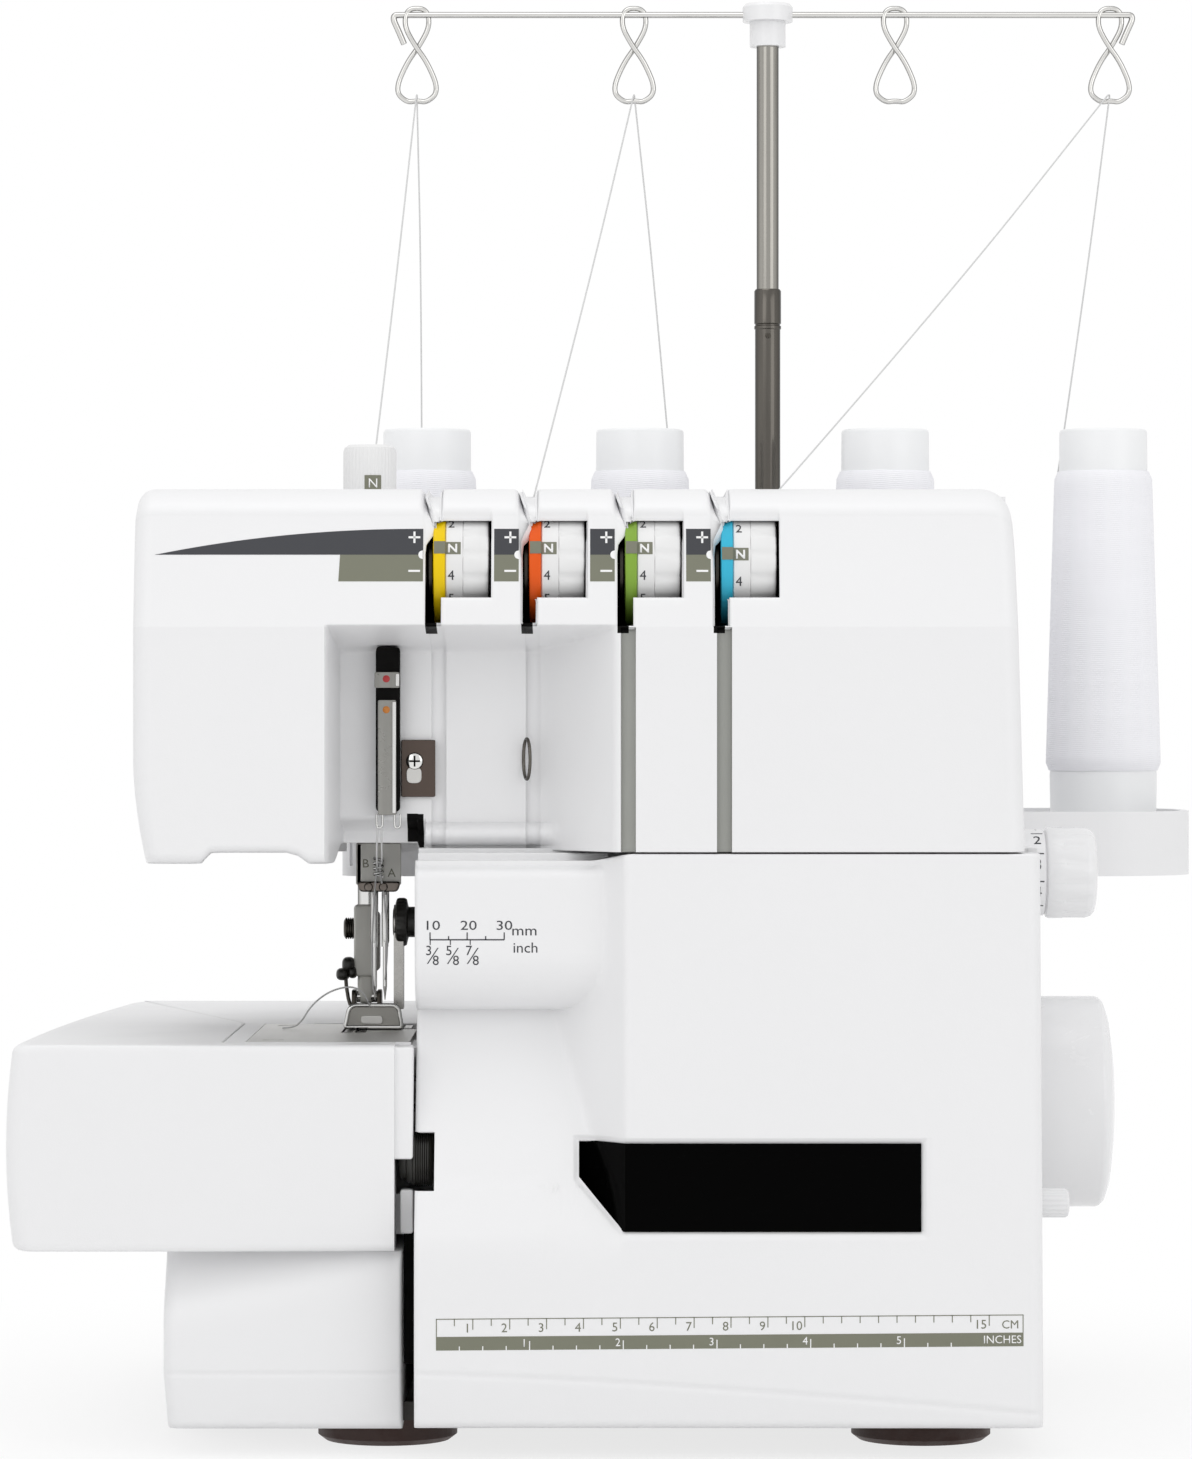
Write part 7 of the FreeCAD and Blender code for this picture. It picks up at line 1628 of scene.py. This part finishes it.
class OVERLOCK_OT_prints(OverlockOperator, bpy.types.Operator):
    """Adds the plus and minus fields, the tension wedge, the seam scale and the ruler"""
    bl_idname = "overlock.prints"
    bl_label = "Prints"

    def execute(self, context):
        lift = context.scene.overlock_sizes.print_height * MM
        self.fields(lift)
        self.seam_scale(lift)
        self.ruler(lift)
        return {"FINISHED"}

    def fields(self, lift):
        """The wedge and the plus and minus fields beside the dials."""
        middle, high, low = 246.3, 253.4, 239.0
        dark, khaki, white = [], [], []
        gap, wide = 2.8, 6.7
        x = np.linspace(-129.5, -56.6, 60)
        rise = (high - middle) * (1 - (1 - (x - x[0]) / (x[-1] - x[0])) ** 2.1)
        dark.append(band_print(x, np.full(60, middle), middle + np.maximum(rise, 0.05)))
        slant = np.array([-79.6, -79.2, -56.6])
        khaki.append(band_print(slant, np.array([low, low, low]), np.array([low + 0.1, middle, middle])))
        for left in RING_LEFT[1:]:
            edge = left - gap
            dark.append(box_print(edge - wide, edge, middle, high))
            khaki.append(box_print(edge - wide, edge, low, middle))
        for left in RING_LEFT:
            edge = left - gap
            turn = np.linspace(-1, 1, 13)
            reach = 1.2 * np.sqrt(1 - turn * turn)
            notch = band_print(middle + 1.2 * turn, edge - reach, np.full(13, edge))
            notch = (notch[0][:, [2, 1, 0]], [face[::-1] for face in notch[1]])
            white += [notch, box_print(edge - 3.9, edge - 0.7, 250.8, 251.35),
                      box_print(edge - 2.58, edge - 2.02, 249.5, 252.65),
                      box_print(edge - 3.9, edge - 0.7, 241.6, 242.15)]
        lay_prints("plus_fields", dark, head_surface, "print_grey", "frame", lift)
        lay_prints("minus_fields", khaki, head_surface, "print_khaki", "frame", lift)
        lay_prints("plus_minus_signs", white, head_surface, "print_white", "frame",
                   lift * 2)

    def seam_scale(self, lift):
        """Seam widths on the bulge: millimetres above a line and eighths of an inch below it."""
        foot = 141.5
        shapes = [box_print(-54.9, -34.6, foot - 0.18, foot + 0.18)]
        for step in range(5):
            x = -54.8 + 5.05 * step
            tall = 2.0 if step % 2 == 0 else 1.0
            shapes.append(box_print(x - 0.17, x + 0.17, foot, foot + tall))
        for text, x in (("10", -54.3), ("20", -44.3), ("30", -34.6)):
            shapes.append(text_print(text, x, foot + 2.7, 2.6, stretch=1.3))
        for text, x in (("3", -54.4), ("5", -48.9), ("7", -43.5)):
            shapes.append(box_print(x - 0.5, x - 0.22, foot - 1.4, foot))
            shapes.append(text_print(text, x - 0.75, foot - 4.2, 2.7))
            shapes.append(text_print("8", x + 1.15, foot - 6.9, 2.7))
            shapes.append(slash_print(x - 1.3, x + 1.6, foot - 6.6, foot - 2.2))
        shapes.append(text_print("mm", -29.1, foot + 1.2, 2.9, stretch=1.15))
        shapes.append(text_print("inch", -28.8, foot - 3.5, 2.9, stretch=1.05))
        lay_prints("seam_scale", shapes, cover_surface, "print_grey", "front_cover", lift)

    def ruler(self, lift):
        """A ruler with centimetres in its white half and inches in its khaki half."""
        left, right, low, middle, high = -53.0, 106.3, 30.4, 34.1, 39.0
        tilt = 0.0075

        def lean(shape):
            flat, around = shape
            flat = flat.copy()
            flat[:, 2] += tilt * (flat[:, 0] - left)
            return flat, around

        outline = 0.25
        dark = [box_print(left, right, high - outline, high), box_print(left, left + outline, middle, high),
                box_print(right - outline, right, middle, high), box_print(left, right, low, middle)]
        for half in range(1, 31):
            x = left + half * 5.0
            named = half % 2 == 0 and (half <= 20 or half == 30)
            dark.append(box_print(x - 0.13, x + 0.13, high - (3.0 if named else 2.0), high))
            if named:
                dark.append(text_print(str(half // 2), x - 0.6, middle + 1.15, 2.5, "RIGHT"))
        dark.append(text_print("CM", right - 1.2, middle + 1.15, 2.3, "RIGHT"))
        white = []
        for quarter in range(1, 23):
            x = left + quarter * 6.35
            whole = quarter % 4 == 0
            white.append(box_print(x - 0.14, x + 0.14, low, low + (2.4 if whole else 1.1)))
            if whole:
                white.append(text_print(str(quarter // 4), x - 0.7, low + 0.85, 2.2, "RIGHT"))
        white.append(text_print("INCHES", right - 0.5, low + 0.85, 2.2, "RIGHT"))
        lay_prints("ruler_print", [lean(s) for s in dark], cover_surface, "print_khaki", "front_cover",
                   lift)
        lay_prints("ruler_inches", [lean(s) for s in white], cover_surface, "print_white", "front_cover",
                   lift * 2)


# ---- stage ----

class OVERLOCK_OT_stage(OverlockOperator, bpy.types.Operator):
    """Adds the floor, the lamps, the white surround and the camera"""
    bl_idname = "overlock.stage"
    bl_label = "Studio"

    def execute(self, context):
        light = context.scene.overlock_light
        self.floor()
        self.world(light.sky)
        for name, power, size, place, aim in (
                ("key_lamp", light.key, 1.2, (-1.1, -1.9, 1.1), (0, -0.05, 0.2)),
                ("fill_lamp", light.fill, 1.4, (1.6, -1.6, 0.9), (0, 0, 0.2)),
                ("top_lamp", light.top, 1.4, (-0.3, -0.5, 1.9), (0, 0, 0.1))):
            self.lamp(name, power, size, place, aim)
        self.camera(context)
        context.scene.view_settings.view_transform = "Standard"
        return {"FINISHED"}

    def floor(self):
        """A wide disc, y and x from a radius and an angle, white to the camera but for shadows."""
        radius = np.concatenate([[0.0], np.geomspace(300, 30000, 24)])
        angle = np.linspace(0, 2 * np.pi, 96, endpoint=False)
        points = np.stack([radius[:, None] * np.cos(angle), radius[:, None] * np.sin(angle),
                           np.full((len(radius), 96), -0.02)], -1)
        mesh = bpy.data.meshes.new("studio_floor")
        mesh.from_pydata((points.reshape(-1, 3) / MM).tolist(), [],
                         grid_faces(len(radius), 96, wrap_columns=True).tolist())
        material = bpy.data.materials.new("studio_white")
        material.use_nodes = True
        tree = material.node_tree
        tree.nodes.clear()
        rays = put(tree, "ShaderNodeLightPath").outputs
        seen = maths(tree, "MAXIMUM", rays["Is Camera Ray"], rays["Is Glossy Ray"])
        seen = maths(tree, "MAXIMUM", seen, rays["Is Transmission Ray"])
        plain = put(tree, "ShaderNodeBsdfDiffuse", {"Color": (0.86, 0.86, 0.86, 1)})
        bright = put(tree, "ShaderNodeEmission", {"Color": (1, 1, 1, 1), "Strength": 1.0})
        where = put(tree, "ShaderNodeTexCoord").outputs["Object"]
        away = put(tree, "ShaderNodeVectorMath", {0: where}, operation="LENGTH")
        far = put(tree, "ShaderNodeMapRange", {"Value": away.outputs["Value"], "From Min": 0.12,
                                               "From Max": 0.36, "To Min": 0.78, "To Max": 1.0},
                  interpolation_type="SMOOTHSTEP")
        both = put(tree, "ShaderNodeMixShader", {0: far.outputs[0], 1: plain.outputs[0],
                                                 2: bright.outputs[0]})
        pick = put(tree, "ShaderNodeMixShader", {0: seen, 1: plain.outputs[0], 2: both.outputs[0]})
        out = put(tree, "ShaderNodeOutputMaterial")
        tree.links.new(pick.outputs[0], out.inputs[0])
        mesh.materials.append(material)
        piece = bpy.data.objects.new("studio_floor", mesh)
        bpy.context.scene.collection.objects.link(piece)
        weld(piece)

    def world(self, strength):
        """Even light from all round, seen as plain white."""
        world = bpy.data.worlds.new("studio_surround")
        bpy.context.scene.world = world
        world.use_nodes = True
        tree = world.node_tree
        tree.nodes.clear()
        rays = put(tree, "ShaderNodeLightPath").outputs
        seen = maths(tree, "MAXIMUM", rays["Is Camera Ray"], rays["Is Transmission Ray"])
        dim = put(tree, "ShaderNodeBackground", {"Color": (1, 1, 1, 1), "Strength": strength})
        white = put(tree, "ShaderNodeBackground", {"Color": (1, 1, 1, 1), "Strength": 1.0})
        pick = put(tree, "ShaderNodeMixShader", {0: seen, 1: dim.outputs[0], 2: white.outputs[0]})
        out = put(tree, "ShaderNodeOutputWorld")
        tree.links.new(pick.outputs[0], out.inputs[0])

    def lamp(self, name, power, size, place, aim):
        """One square area lamp that faces a point."""
        data = bpy.data.lights.new(name, "AREA")
        data.shape = "SQUARE"
        data.size = size
        data.energy = power
        made = bpy.data.objects.new(name, data)
        bpy.context.scene.collection.objects.link(made)
        made.location = place
        toward = np.array(aim, float) - np.array(place, float)
        tip = math.atan2(math.hypot(toward[0], toward[1]), -toward[2])
        made.rotation_euler = (tip, 0.0, -math.atan2(toward[0], toward[1]))

    def camera(self, context):
        """A level camera in front of the machine, with a long lens."""
        data = bpy.data.cameras.new("view")
        data.sensor_width = 36.0
        data.lens = 134.72
        data.shift_y = -0.0031
        data.clip_end = 200.0
        made = bpy.data.objects.new("view", data)
        context.scene.collection.objects.link(made)
        made.location = (-0.0096, -1.612, 0.2)
        made.rotation_euler = (math.radians(90), 0.0, 0.0)
        context.scene.camera = made


class OVERLOCK_PT_panel(bpy.types.Panel):
    """Lists the pieces of the machine, with their colours and sizes"""
    bl_idname = "OVERLOCK_PT_panel"
    bl_label = "Overlock machine"
    bl_space_type = "VIEW_3D"
    bl_region_type = "UI"
    bl_category = "Overlock"

    def draw(self, context):
        for kind in STEPS:
            self.layout.operator(kind.bl_idname)
        for group in (context.scene.overlock_colours, context.scene.overlock_sizes,
                      context.scene.overlock_light):
            column = self.layout.column(align=True)
            for name in group.__annotations__:
                column.prop(group, name)


STEPS = (OVERLOCK_OT_finishes, OVERLOCK_OT_stage, OVERLOCK_OT_threads, OVERLOCK_OT_head, OVERLOCK_OT_cover,
         OVERLOCK_OT_dials, OVERLOCK_OT_thread_path, OVERLOCK_OT_needle_area, OVERLOCK_OT_needle_threads,
         OVERLOCK_OT_stand, OVERLOCK_OT_knobs, OVERLOCK_OT_table, OVERLOCK_OT_prints)
GROUPS = {"overlock_colours": OverlockColours, "overlock_sizes": OverlockSizes,
          "overlock_light": OverlockLight}


def register():
    for kind in (*GROUPS.values(), *STEPS, OVERLOCK_PT_panel):
        bpy.utils.register_class(kind)
    for name, kind in GROUPS.items():
        setattr(bpy.types.Scene, name, bpy.props.PointerProperty(type=kind))


def unregister():
    for name in GROUPS:
        delattr(bpy.types.Scene, name)
    for kind in (OVERLOCK_PT_panel, *reversed(STEPS), *GROUPS.values()):
        bpy.utils.unregister_class(kind)


def main():
    register()
    for kind in STEPS:
        group, name = kind.bl_idname.split(".")
        getattr(getattr(bpy.ops, group), name)()


if __name__ == "__main__":
    main()
